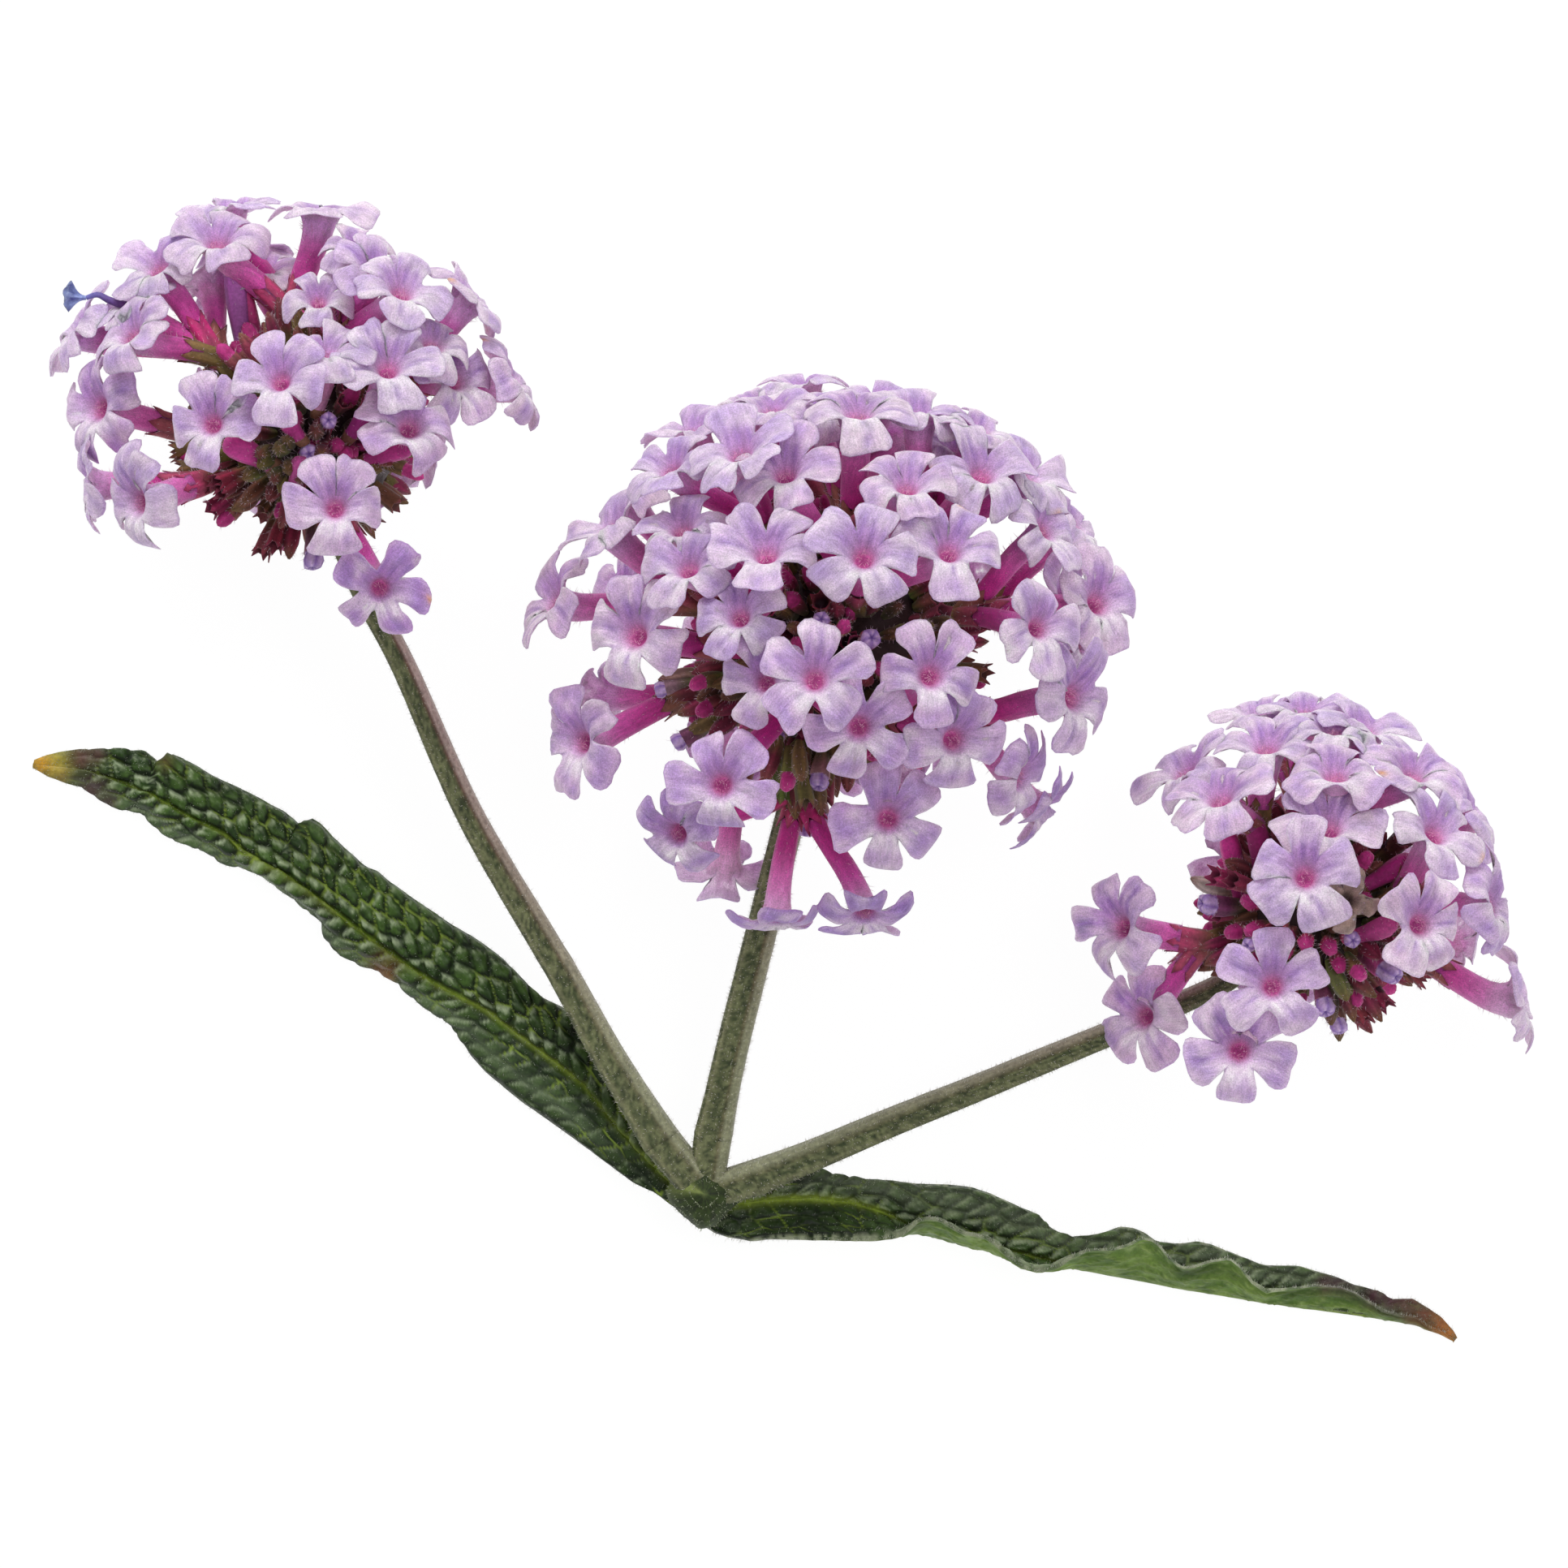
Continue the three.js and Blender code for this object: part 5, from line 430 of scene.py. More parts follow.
BRACT = [(24.6, -10.12, 9.2), (24.22, -9.98, 9.5), (23.9, -9.8, 9.6), (23.54, -9.66, 9.4)]


# ---------------------------------------------------------------- helpers
def lin(r, g, b):
    c = np.array([r, g, b], float) / 255.0
    return np.where(c <= 0.04045, c / 12.92, ((c + 0.055) / 1.055) ** 2.4)


def unit(v):
    v = np.asarray(v, float)
    return v / np.maximum(np.linalg.norm(v, axis=-1, keepdims=True), 1e-12)


def smooth(x, a, b):
    t = np.clip((np.asarray(x, float) - a) / (b - a), 0, 1)
    return t * t * (3 - 2 * t)


def mix(a, b, t):
    t = np.asarray(t, float)[..., None]
    return a * (1 - t) + b * t


def spline(points, t):
    """Catmull-Rom through the rows of points, t from 0 to len - 1."""
    p = np.asarray(points, float)
    n = len(p) - 1
    t = np.clip(np.asarray(t, float), 0, n - 1e-9)
    i = t.astype(int)
    f = (t - i)[:, None]
    a, b = p[np.maximum(i - 1, 0)], p[i]
    c, d = p[np.minimum(i + 1, n)], p[np.minimum(i + 2, n)]
    return 0.5 * (2 * b + (c - a) * f + (2 * a - 5 * b + 4 * c - d) * f * f + (3 * b - a - 3 * c + d) * f * f * f)


def even(points, n):
    """n samples evenly spaced along a spline, with tangents."""
    t = np.linspace(0, len(points) - 1, 40 * len(points))
    p = spline(points, t)
    s = np.concatenate([[0], np.cumsum(np.linalg.norm(np.diff(p, axis=0), axis=1))])
    q = np.stack([np.interp(np.linspace(0, s[-1], n), s, p[:, k]) for k in range(p.shape[1])], 1)
    return q, unit(np.gradient(q, axis=0)), s[-1]


def frame_for(n):
    up = np.array([0, 1.0, 0]) if abs(n[1]) < 0.93 else np.array([0, 0, -1.0 if n[1] > 0 else 1.0])
    e = unit(np.cross(up, n))
    return e, np.cross(n, e)


def lattice(ix, iy, salt):
    """A repeatable number from 0 to 1 for whole-number places."""
    h = (ix.astype(np.int64) * 374761393 + iy.astype(np.int64) * 668265263 + salt * 982451653) & 0x7FFFFFFF
    h = ((h ^ (h >> 13)) * 1274126177) & 0x7FFFFFFF
    return ((h ^ (h >> 16)) & 0xFFFFF) / float(0xFFFFF)


def value_noise(x, y, salt=0):
    x, y = np.asarray(x, float), np.asarray(y, float)
    ix, iy = np.floor(x).astype(np.int64), np.floor(y).astype(np.int64)
    fx, fy = x - ix, y - iy
    fx, fy = fx * fx * (3 - 2 * fx), fy * fy * (3 - 2 * fy)
    a = lattice(ix, iy, salt) * (1 - fx) + lattice(ix + 1, iy, salt) * fx
    b = lattice(ix, iy + 1, salt) * (1 - fx) + lattice(ix + 1, iy + 1, salt) * fx
    return a * (1 - fy) + b * fy


def cells(x, y, salt=0, jitter=0.8):
    """Nearest and second nearest distance to a jittered grid of points, and the nearest one's number."""
    x, y = np.asarray(x, float), np.asarray(y, float)
    ix, iy = np.floor(x).astype(np.int64), np.floor(y).astype(np.int64)
    d1 = np.full(x.shape, 9.0)
    d2 = np.full(x.shape, 9.0)
    who = np.zeros(x.shape)
    for a in (-2, -1, 0, 1, 2):
        for b in (-2, -1, 0, 1, 2):
            jx, jy = ix + a, iy + b
            px = jx + 0.5 + (lattice(jx, jy, salt) - 0.5) * jitter
            py = jy + 0.5 + (lattice(jx, jy, salt + 7) - 0.5) * jitter
            d = np.hypot(px - x, py - y)
            near = d < d1
            d2 = np.where(near, d1, np.minimum(d2, d))
            who = np.where(near, lattice(jx, jy, salt + 3), who)
            d1 = np.where(near, d, d1)
    return d1, d2, who


class Soup:
    """Vertices, faces, colours and pattern coordinates gathered for one piece."""

    def __init__(self):
        self.v, self.c, self.t, self.n = [], [], [], 0
        self.q, self.qm, self.f, self.fm = [], [], [], []

    def points(self, v, c, t=None):
        v = np.asarray(v, float).reshape(-1, 3)
        c = np.broadcast_to(np.asarray(c, float), (len(v), 3)) if np.ndim(c) < 2 else np.asarray(c, float).reshape(-1, 3)
        t = np.zeros((len(v), 3)) if t is None else np.asarray(t, float).reshape(-1, 3)
        o = self.n
        self.v.append(v); self.c.append(c); self.t.append(t)
        self.n += len(v)
        return o

    def quads(self, q, mat):
        q = np.asarray(q, np.int64).reshape(-1, 4)
        self.q.append(q); self.qm.append(np.full(len(q), mat))

    def tris(self, f, mat):
        f = np.asarray(f, np.int64).reshape(-1, 3)
        self.f.append(f); self.fm.append(np.full(len(f), mat))

    def grid(self, pts, col, tex, mat, wrap=False, flip=False):
        """pts (rows, columns, 3); faces look along columns x rows."""
        r, c = pts.shape[:2]
        o = self.points(pts, np.broadcast_to(col, pts.shape), tex)
        i = np.arange(r - 1)[:, None] * c
        j = np.arange(c if wrap else c - 1)[None, :]
        k = (j + 1) % c
        q = np.stack([i + j, i + k, i + c + k, i + c + j], -1).reshape(-1, 4) + o
        self.quads(q[:, ::-1] if flip else q, mat)
        return o

    def fan(self, ring, centre, mat, flip=False):
        n = len(ring)
        a = np.asarray(ring)
        t = np.stack([a, np.roll(a, -1), np.full(n, centre)], -1)
        self.tris(t[:, ::-1] if flip else t, mat)

    def object(self, name, materials):
        v = np.concatenate(self.v) + SHIFT
        low = v[:, 2] < 0.4
        v[low, 2] = 0.03 + 0.37 * np.exp((v[low, 2] - 0.4) / 0.37)
        v *= 0.001
        q = np.concatenate(self.q) if self.q else np.zeros((0, 4), np.int64)
        f = np.concatenate(self.f) if self.f else np.zeros((0, 3), np.int64)
        qm = np.concatenate(self.qm) if self.qm else np.zeros(0)
        fm = np.concatenate(self.fm) if self.fm else np.zeros(0)
        mesh = bpy.data.meshes.new(name)
        mesh.vertices.add(len(v))
        mesh.vertices.foreach_set("co", v.astype(np.float32).ravel())
        mesh.loops.add(q.size + f.size)
        mesh.loops.foreach_set("vertex_index", np.concatenate([q.ravel(), f.ravel()]).astype(np.int32))
        mesh.polygons.add(len(q) + len(f))
        starts = np.concatenate([np.arange(len(q)) * 4, len(q) * 4 + np.arange(len(f)) * 3])
        mesh.polygons.foreach_set("loop_start", starts.astype(np.int32))
        mesh.polygons.foreach_set("material_index", np.concatenate([qm, fm]).astype(np.int32))
        mesh.polygons.foreach_set("use_smooth", np.ones(len(q) + len(f), bool))
        a = mesh.attributes.new("tint", "FLOAT_COLOR", "POINT")
        c = np.clip(np.concatenate(self.c), 0, 1)
        a.data.foreach_set("color", np.hstack([c, np.ones((len(c), 1))]).astype(np.float32).ravel())
        a = mesh.attributes.new("grain", "FLOAT_VECTOR", "POINT")
        a.data.foreach_set("vector", np.concatenate(self.t).astype(np.float32).ravel())
        mesh.update(calc_edges=True)
        mesh.validate(clean_customdata=False)
        for m in materials:
            mesh.materials.append(m)
        ob = bpy.data.objects.new(name, mesh)
        bpy.context.scene.collection.objects.link(ob)
        return ob

    def faces(self):
        return 2 * sum(len(q) for q in self.q) + sum(len(f) for f in self.f)


def hairs(soup, base, direction, length, width, colour, mat):
    """Thin three-sided hairs."""
    base, d = np.asarray(base, float), unit(direction)
    n = len(base)
    if not n:
        return
    length = np.broadcast_to(np.asarray(length, float), (n,))[:, None]
    ref = np.where(np.abs(d[:, 2:3]) < 0.9, np.array([[0, 0, 1.0]]), np.array([[1.0, 0, 0]]))
    e = unit(np.cross(ref, d))
    m = np.cross(d, e)
    pts = [base + (e * math.cos(a) + m * math.sin(a)) * width for a in (0, 2.094, 4.189)] + [base + d * length]
    v = np.stack(pts, 1)
    c = np.broadcast_to(np.asarray(colour, float), (n, 3)) if np.ndim(colour) < 2 else colour
    o = soup.points(v, np.repeat(c[:, None], 4, 1))
    k = (np.arange(n) * 4)[:, None] + o
    soup.tris(np.concatenate([k + np.array([[0, 1, 3]]), k + np.array([[1, 2, 3]]), k + np.array([[2, 0, 3]])]), mat)


# ---------------------------------------------------------------- materials
def material(name, rough=0.5, spec=0.5, sss=0.0, radius=(1, 1, 1), scale=0.001, sheen=0.0):
    m = bpy.data.materials.new(name)
    m.use_nodes = True
    nt = m.node_tree
    b = nt.nodes["Principled BSDF"]
    b.inputs["Roughness"].default_value = rough
    b.inputs["Specular IOR Level"].default_value = spec
    b.inputs["Subsurface Weight"].default_value = sss
    b.inputs["Subsurface Radius"].default_value = radius
    b.inputs["Subsurface Scale"].default_value = scale
    b.inputs["Sheen Weight"].default_value = sheen
    b.inputs["Sheen Roughness"].default_value = 0.5
    return m, nt, b


def node(nt, kind, **values):
    n = nt.nodes.new(kind)
    for k, v in values.items():
        setattr(n, k, v)
    return n


def attribute(nt, name):
    return node(nt, "ShaderNodeAttribute", attribute_name=name)


def noise(nt, vector, scale, detail=2.0, rough=0.5):
    n = node(nt, "ShaderNodeTexNoise")
    n.inputs["Scale"].default_value = scale
    n.inputs["Detail"].default_value = detail
    n.inputs["Roughness"].default_value = rough
    nt.links.new(vector, n.inputs["Vector"])
    return n


def ramp(nt, fac, low, high, a, b):
    """Maps fac from low..high to a..b."""
    n = node(nt, "ShaderNodeMapRange")
    n.inputs["From Min"].default_value = low
    n.inputs["From Max"].default_value = high
    n.inputs["To Min"].default_value = a
    n.inputs["To Max"].default_value = b
    nt.links.new(fac, n.inputs["Value"])
    return n.outputs["Result"]


def times(nt, colour, factor):
    n = node(nt, "ShaderNodeMix", data_type="RGBA", blend_type="MULTIPLY")
    n.inputs[0].default_value = 1.0
    nt.links.new(colour, n.inputs[6])
    nt.links.new(factor, n.inputs[7])
    return n.outputs[2]


def bump(nt, b, height, strength, distance):
    n = node(nt, "ShaderNodeBump")
    n.inputs["Strength"].default_value = strength
    n.inputs["Distance"].default_value = distance
    nt.links.new(height, n.inputs["Height"])
    nt.links.new(n.outputs["Normal"], b.inputs["Normal"])


def petal_material(name, factor, sheen=0.1):
    m, nt, b = material(name, rough=0.55, spec=0.35, sss=0.8, radius=(1.0, 0.75, 1.0), scale=0.0004, sheen=sheen)
    tint, grain = attribute(nt, "tint"), attribute(nt, "grain")
    place = node(nt, "ShaderNodeTexCoord").outputs["Object"]
    fine = noise(nt, place, 13000, 1.5)                        # the cells' sparkle, painted into the colour as fine bright flecks: painted glints
    broad = noise(nt, place, 1900, 3)                         # soft blotches
    stretch = node(nt, "ShaderNodeMapping")
    stretch.inputs["Scale"].default_value = (1.0, 7.0, 1.0)
    nt.links.new(grain.outputs["Vector"], stretch.inputs["Vector"])
    veins = noise(nt, stretch.outputs["Vector"], 1.2, 3, 0.6)   # fine veins along each lobe
    c = times(nt, tint.outputs["Color"], ramp(nt, fine.outputs["Fac"], 0.3, 0.7, 0.80 * factor, 1.22 * factor))
    c = times(nt, c, ramp(nt, broad.outputs["Fac"], 0.3, 0.7, 0.88, 1.10))
    c = times(nt, c, ramp(nt, veins.outputs["Fac"], 0.3, 0.7, 0.84, 1.10))
    nt.links.new(c, b.inputs["Base Color"])
    add = node(nt, "ShaderNodeMath", operation="ADD")
    nt.links.new(ramp(nt, fine.outputs["Fac"], 0, 1, 0, 0.5), add.inputs[0])
    nt.links.new(veins.outputs["Fac"], add.inputs[1])
    bump(nt, b, add.outputs["Value"], 0.5, 0.00008)
    return m


def flesh_material(name, rough, spec, fine_scale, lowest, highest, depth, sss=0.1, sheen=0.1):
    m, nt, b = material(name, rough=rough, spec=spec, sss=sss, radius=(0.6, 0.6, 0.3), scale=0.0004, sheen=sheen)
    tint = attribute(nt, "tint")
    place = node(nt, "ShaderNodeTexCoord").outputs["Object"]
    fine = noise(nt, place, fine_scale, 3, 0.6)
    broad = noise(nt, place, fine_scale / 7, 3)
    c = times(nt, tint.outputs["Color"], ramp(nt, fine.outputs["Fac"], 0.3, 0.7, lowest, highest))
    c = times(nt, c, ramp(nt, broad.outputs["Fac"], 0.3, 0.7, 0.88, 1.12))
    nt.links.new(c, b.inputs["Base Color"])
    bump(nt, b, fine.outputs["Fac"], 0.5, depth)
    return m


M_PETAL = petal_material("petal", 1.0, sheen=0.03)
M_TUBE = petal_material("tube", 1.0, sheen=0.2)
M_CALYX = flesh_material("calyx", 0.6, 0.35, 6000, 0.92, 1.42, 0.00008)
M_STEM = flesh_material("stem", 0.6, 0.3, 5200, 0.72, 1.28, 0.0001, sheen=0.05)
M_LEAF = flesh_material("leaf", 0.38, 0.20, 5000, 0.80, 1.20, 0.00008, sss=0.08, sheen=0.0)
m, nt, b = material("hair", rough=0.45, spec=0.5, sss=0.0)
nt.links.new(attribute(nt, "tint").outputs["Color"], b.inputs["Base Color"])
M_HAIR = m
PETAL, CALYX, HAIR, TUBE = 0, 1, 2, 3

HAIR_WHITE = lin(235, 222, 226)
HAIR_PINK = lin(226, 186, 206)

# ---------------------------------------------------------------- one floret
# half of a lobe's outline from the tip (0) to the cleft (1): along the lobe, across it
HALF_T = np.array([0.0, 0.10, 0.20, 0.30, 0.42, 0.54, 0.68, 0.84, 1.0])
HALF_X = np.array([3.02, 3.01, 2.95, 2.82, 2.57, 2.22, 1.83, 1.43, 1.05])
HALF_Y = np.array([0.00, 0.36, 0.71, 0.99, 1.18, 1.22, 1.08, 0.88, 0.79])
LAV_PALE, LAV_MID, LAV_DEEP = lin(225, 204, 224), lin(198, 170, 209), lin(162, 130, 194)
THROAT_W, THROAT_PINK, THROAT_DEEP = lin(241, 228, 238), lin(210, 114, 176), lin(188, 76, 148)
SHADE, VIOLET = lin(142, 108, 178), lin(168, 140, 204)
LIP = 0.43   # radius of the mouth
DROP = 0.18  # the mouth sits this much below the middle of the limb


def tube_curve(f):
    head = HEADS[BRANCHLETS[f[0]][0]]
    d, C = unit(BRANCHLETS[f[0]][1]), np.array(head["centre"])
    T, N = np.array(f[1]), unit(f[2])
    p0 = C + d * (head["core"] + 1.7)
    L = np.linalg.norm(T - p0)
    g = (T - p0) / L
    return np.array([p0, p0 + unit(0.45 * d + 0.75 * g) * L * 0.36, T - N * L * 0.36, T]), L


def bezier(P, t):
    t = np.asarray(t, float)[:, None]
    u = 1 - t
    at = u ** 3 * P[0] + 3 * u * u * t * P[1] + 3 * u * t * t * P[2] + t ** 3 * P[3]
    d = 3 * (u * u * (P[1] - P[0]) + 2 * u * t * (P[2] - P[1]) + t * t * (P[3] - P[2]))
    return at, unit(d)


def add_floret(soup, f, rng, number, wither=0.0, habit=None):
    """habit: changes to this floret's lobes, {lobe: (length, lift, curl)}."""
    T, N, s = np.array(f[1]), unit(f[2]), f[4]
    front = f[5]
    e, m = frame_for(N)
    per = 16 if front else 10
    nu = per * 5
    bear = np.sort(np.mod(np.array(f[3], float), 360))
    nxt = np.roll(bear, -1).copy(); nxt[-1] += 360
    right = (nxt - bear) / 2
    left = np.roll(right, 1)
    rows = np.array([0, 0.05, 0.11, 0.18, 0.27, 0.38, 0.50, 0.62, 0.74, 0.85, 0.94, 0.985, 1.0] if front else [0, 0.08, 0.18, 0.32, 0.5, 0.68, 0.84, 0.95, 1.0])
    nv = len(rows)
    X, Y, Z = np.zeros((nv, nu)), np.zeros((nv, nu)), np.zeros((nv, nu))
    col = np.zeros((nv, nu, 3))
    tex = np.zeros((nv, nu, 3))
    tone = rng.uniform(-1, 1)
    up = float(N[1])
    side_on = 1 - abs(float(N[2]))
    # painted light from above: florets facing up are painted paler and those facing down deeper violet, mixed with a
    # random tone per floret
    pale = np.clip(0.34 + 0.50 * up + 0.30 * tone, 0, 1)
    base = mix(LAV_MID, LAV_PALE, pale) if up > -0.28 else mix(LAV_MID, LAV_DEEP, np.clip(0.35 - up + 0.25 * tone, 0, 1))
    pinkness = rng.uniform(0, 1)
    base = base * np.array([1 + 0.08 * (pinkness - 0.4), 1.0, 1 + 0.04 * (0.5 - pinkness)])
    slim = np.random.default_rng(7000 + number).uniform(0.88, 1.04)
    rise, curl = rng.uniform(0.14, 0.36), rng.uniform(0.24, 0.46) + 0.12 * side_on
    for i in range(5):
        u = -1 + 2 * np.arange(per) / per
        au = np.abs(u)
        high = math.sin(math.radians(bear[i]))           # 1 for the upper lobe
        own = (habit or {}).get(i, (1.0, 0.0, 0.0))
        wl, wr = rng.uniform(0.88, 1.10, 2)
        w = np.where(u < 0, wl, wr) * rng.uniform(0.90, 1.12)
        ln = rng.uniform(0.93, 1.09) * own[0]
        notch, off = rng.choice([0.02, 0.10, 0.18, 0.28]), rng.uniform(-0.14, 0.14)
        half = np.where(u < 0, left[i], right[i])
        bx = np.interp(au, HALF_T, HALF_X)
        by = np.interp(au, HALF_T, HALF_Y)
        bx = bx - notch * np.exp(-((u - off) / 0.13) ** 2)
        bx = 1.0 + (bx - 1.0) * ln
        bx = bx + (rng.uniform(-0.18, 0.18) * u + rng.uniform(0.0, 0.06) * np.cos(u * 9 + rng.uniform(0, 6.28)) + rng.uniform(0.0, 0.025) * np.cos(u * 17 + rng.uniform(0, 6.28))) * (1 - smooth(au, 0.45, 0.7))
        room = np.clip(np.tan(np.radians(np.minimum(half, 60))) / np.tan(np.radians(36)), 0.8, 1.2)
        by = by * w * slim * room ** 0.6
        by = by * (1 + 0.04 * np.sin(u * 13 + rng.uniform(0, 6.28)))
        rc = 1.26 * rng.uniform(0.90, 1.08)
        k = smooth(au, 0.72, 1.0)
        bx = bx * (1 - k) + rc * np.cos(np.radians(half)) * k
        by = by * (1 - k) + rc * np.sin(np.radians(half)) * k
        by = by * np.sign(u)
        ix = LIP * np.cos(np.radians(u * half))
        iy = LIP * np.sin(np.radians(u * half))
        v = rows[:, None]
        x = ix * (1 - v) + bx * v
        y = iy * (1 - v) + by * v
        r = np.hypot(x, y)
        b = math.radians(bear[i])
        phi = b + np.arctan2(y, x)
        hi = 0.5 + 0.5 * np.sin(phi)                     # 1 on the upper side of the mouth
        # each lobe bows out and back
        start = 0.95
        th0 = rise + rng.normal(0, 0.11) + own[1]
        kap = max(curl + rng.normal(0, 0.11) + rng.choice([0, 0, 0, 0.3]) + own[2], 0.06)
        kap = min(kap, 0.80)
        sl_ = np.maximum(0, x - start)
        ang = th0 - kap * sl_
        dx = (math.sin(th0) - np.sin(ang)) / kap
        dz = (np.cos(ang) - math.cos(th0)) / kap
        xn = np.minimum(x, start) + dx
        z = dz
        far = smooth(sl_, 0, 1.2)
        cup, tw = rng.normal(0.13, 0.13), rng.normal(0.05, 0.13)
        z = z - cup * y ** 2 * far + tw * y * far
        yb = y + rng.normal(0, 0.055) * sl_ ** 2
        ph, am = rng.uniform(0, 6.28), rng.uniform(0.03, 0.15)
        z = z + am * v ** 2.5 * np.sin(u * rng.uniform(3.6, 8.0) + ph)
        crease = np.exp(-((y - 0.15 * np.sin(x * 1.3 + ph)) / 0.15) ** 2) * smooth(x, 0.7, 1.2) * (1 - smooth(x, 2.2, 2.9))
        deep = rng.uniform(0.05, 0.20)
        z = z - deep * crease
        ribs = np.cos((y + 0.12 * x * np.sign(y)) * 7.5 + ph)
        z = z + 0.022 * ribs * smooth(x, 0.9, 1.4) * (1 - smooth(v, 0.85, 1.0))
        z = z + 0.08 * (value_noise(x * 1.5 + 20 * i, y * 1.7 + 9 * number, 3) - 0.5) * 2 * smooth(r, 0.9, 1.5)
        z = z + 0.024 * (value_noise(x * 4.2 + 20 * i, y * 5.0 + 9 * number, 4) - 0.5) * 2 * smooth(r, 0.8, 1.3)
        z = z - 0.09 * v ** 9
        # the trumpet
        z = z - (0.70 + 0.32 * hi) * np.exp(-(r - LIP) / (0.34 + 0.18 * hi))
        if wither:
            z = z - wither * (0.3 * sl_ ** 2 + 0.35 * np.sin(5 * x + ph) * smooth(r, 0.8, 1.6))
            yb = yb * (1 - 0.30 * wither * smooth(x, 1.0, 2.0))
        sl = slice(i * per, (i + 1) * per)
        X[:, sl] = xn * math.cos(b) - yb * math.sin(b)
        Y[:, sl] = xn * math.sin(b) + yb * math.cos(b) - DROP * np.exp(-((r - LIP) / 0.6) ** 2)
        Z[:, sl] = z
        tex[:, sl, 0] = x + 5 * i + 31 * (number % 7)
        tex[:, sl, 1] = y + 3 * number
        tex[:, sl, 2] = tone * 5
        # colour of the upper face
        lobe_tone = rng.uniform(0.90, 1.06)
        c = base * lobe_tone * np.ones(r.shape)[..., None]
        patch = value_noise(x * 1.2 + 7 * i, y * 1.5 + 5 * number, 9)
        c = mix(c, VIOLET, 0.55 * smooth(patch, 0.40, 0.90) * smooth(r, 0.9, 1.6))
        c = mix(c, lin(237, 220, 233), 0.60 * smooth(1 - patch, 0.50, 0.95) * smooth(r, 1.0, 1.8))
        fine = value_noise(x * 5 + 9 * i, y * 6 + 5 * number, 10)
        c = c * (0.94 + 0.12 * fine)[..., None]
        white = smooth(r, 0.55, 0.90) * (1 - smooth(r, 1.15, 2.30)) * (0.22 + 0.78 * (1 - hi))
        c = mix(c, THROAT_W, 0.92 * white)
        wall = smooth(r, 0.42, 0.62) * (1 - smooth(r, 1.05, 2.05)) * hi
        c = mix(c, lin(164, 118, 186), 0.75 * wall)
        streak = np.clip(np.cos(y * 11.0 + rng.uniform(0, 6.28)) * 0.5 + 0.5, 0, 1) ** 2
        where = smooth(r, 0.6, 0.9) * (1 - smooth(r, 1.2, 2.5))
        c = mix(c, SHADE, streak * where * (0.12 + 0.40 * max(high, 0)))
        # painted shade: the lobe darkened in its crease, in the hollows between its ribs and towards the clefts
        c = mix(c, SHADE, crease * rng.uniform(0.15, 0.75))
        valley_shade = np.clip(-ribs, 0, 1) * smooth(x, 1.0, 1.5) * (1 - smooth(v, 0.8, 0.98))
        c = mix(c, SHADE, 0.20 * valley_shade)
        cleft = smooth(au, 0.72, 1.0)[None] * smooth(v, 0.30, 0.9)
        c = mix(c, SHADE, 0.40 * cleft)
        c = mix(c, lin(212, 150, 196), 0.55 * np.exp(-((r - 0.40) / (0.24 + 0.22 * hi)) ** 2))
        c = mix(c, THROAT_PINK, 0.85 * np.exp(-((r - 0.36) / (0.11 + 0.09 * hi)) ** 2))
        # painted highlight: a paler band just inside the lobe's rim, where the edge curls over
        band = smooth(v, 0.80, 0.92) * (1 - smooth(v, 0.95, 0.99)) * np.ones_like(u)
        c = mix(c, lin(236, 222, 236), band * 0.22)
        edge = smooth(v, 0.96, 1.0) * np.ones_like(u) * smooth(r, 1.3, 2.0)
        c = mix(c, lin(150, 118, 186), edge * 0.45)
        if rng.uniform() < 0.05 and front:
            spot = np.exp(-((x - 2.9) ** 2 + (y - rng.uniform(-0.6, 0.6)) ** 2) / 0.06)
            c = mix(c, lin(214, 160, 112), spot)
        if wither:
            c = mix(c, lin(168, 146, 128) * (0.70 + 0.40 * smooth(np.sin(4 * x + 3 * y), -1, 1))[..., None], np.full(r.shape, wither))
            c = mix(c, lin(60, 40, 44), 0.9 * np.exp(-((r - 0.3) / 0.5) ** 2))
        col[:, sl] = c
    L3 = np.stack([X, Y, Z], -1) * s
    basis = np.stack([e, m, N])
    top = T + L3 @ basis
    du = np.roll(top, -1, 1) - np.roll(top, 1, 1)
    dv = np.gradient(top, axis=0)
    nn = unit(np.cross(dv, du))
    nn = nn * np.where((nn @ N).mean() < 0, -1, 1)
    # throat: a shallow floor of hairs
    bearing = np.concatenate([np.radians(bear[i] + (-1 + 2 * np.arange(per) / per) * np.where((-1 + 2 * np.arange(per) / per) < 0, left[i], right[i])) for i in range(5)])
    circle = np.cos(bearing)[:, None] * e + np.sin(bearing)[:, None] * m
    mouth = T - m * DROP * s
    rings = [mouth + circle * r * s + N * z * s for r, z in ((0.22, -1.04), (0.37, -0.98))]
    inside = np.stack(rings + [row for row in top])
    dark = lin(70, 46, 50) if wither else THROAT_DEEP
    cin = np.concatenate([np.stack([np.broadcast_to(dark, (nu, 3)), np.broadcast_to(mix(dark, THROAT_PINK, 0.0 if wither else 0.6), (nu, 3))]), col])
    tin = np.concatenate([np.stack([tex[0], tex[0]]), tex])
    o = soup.grid(inside, cin, tin, PETAL, wrap=True, flip=True)
    # painted shade: the bottom point of the mouth is a fifth darker
    cc = soup.points([mouth + N * -1.02 * s], dark * 0.8)
    soup.fan(np.arange(nu) + o, cc, PETAL)
    rim_top = o + (inside.shape[0] - 1) * nu
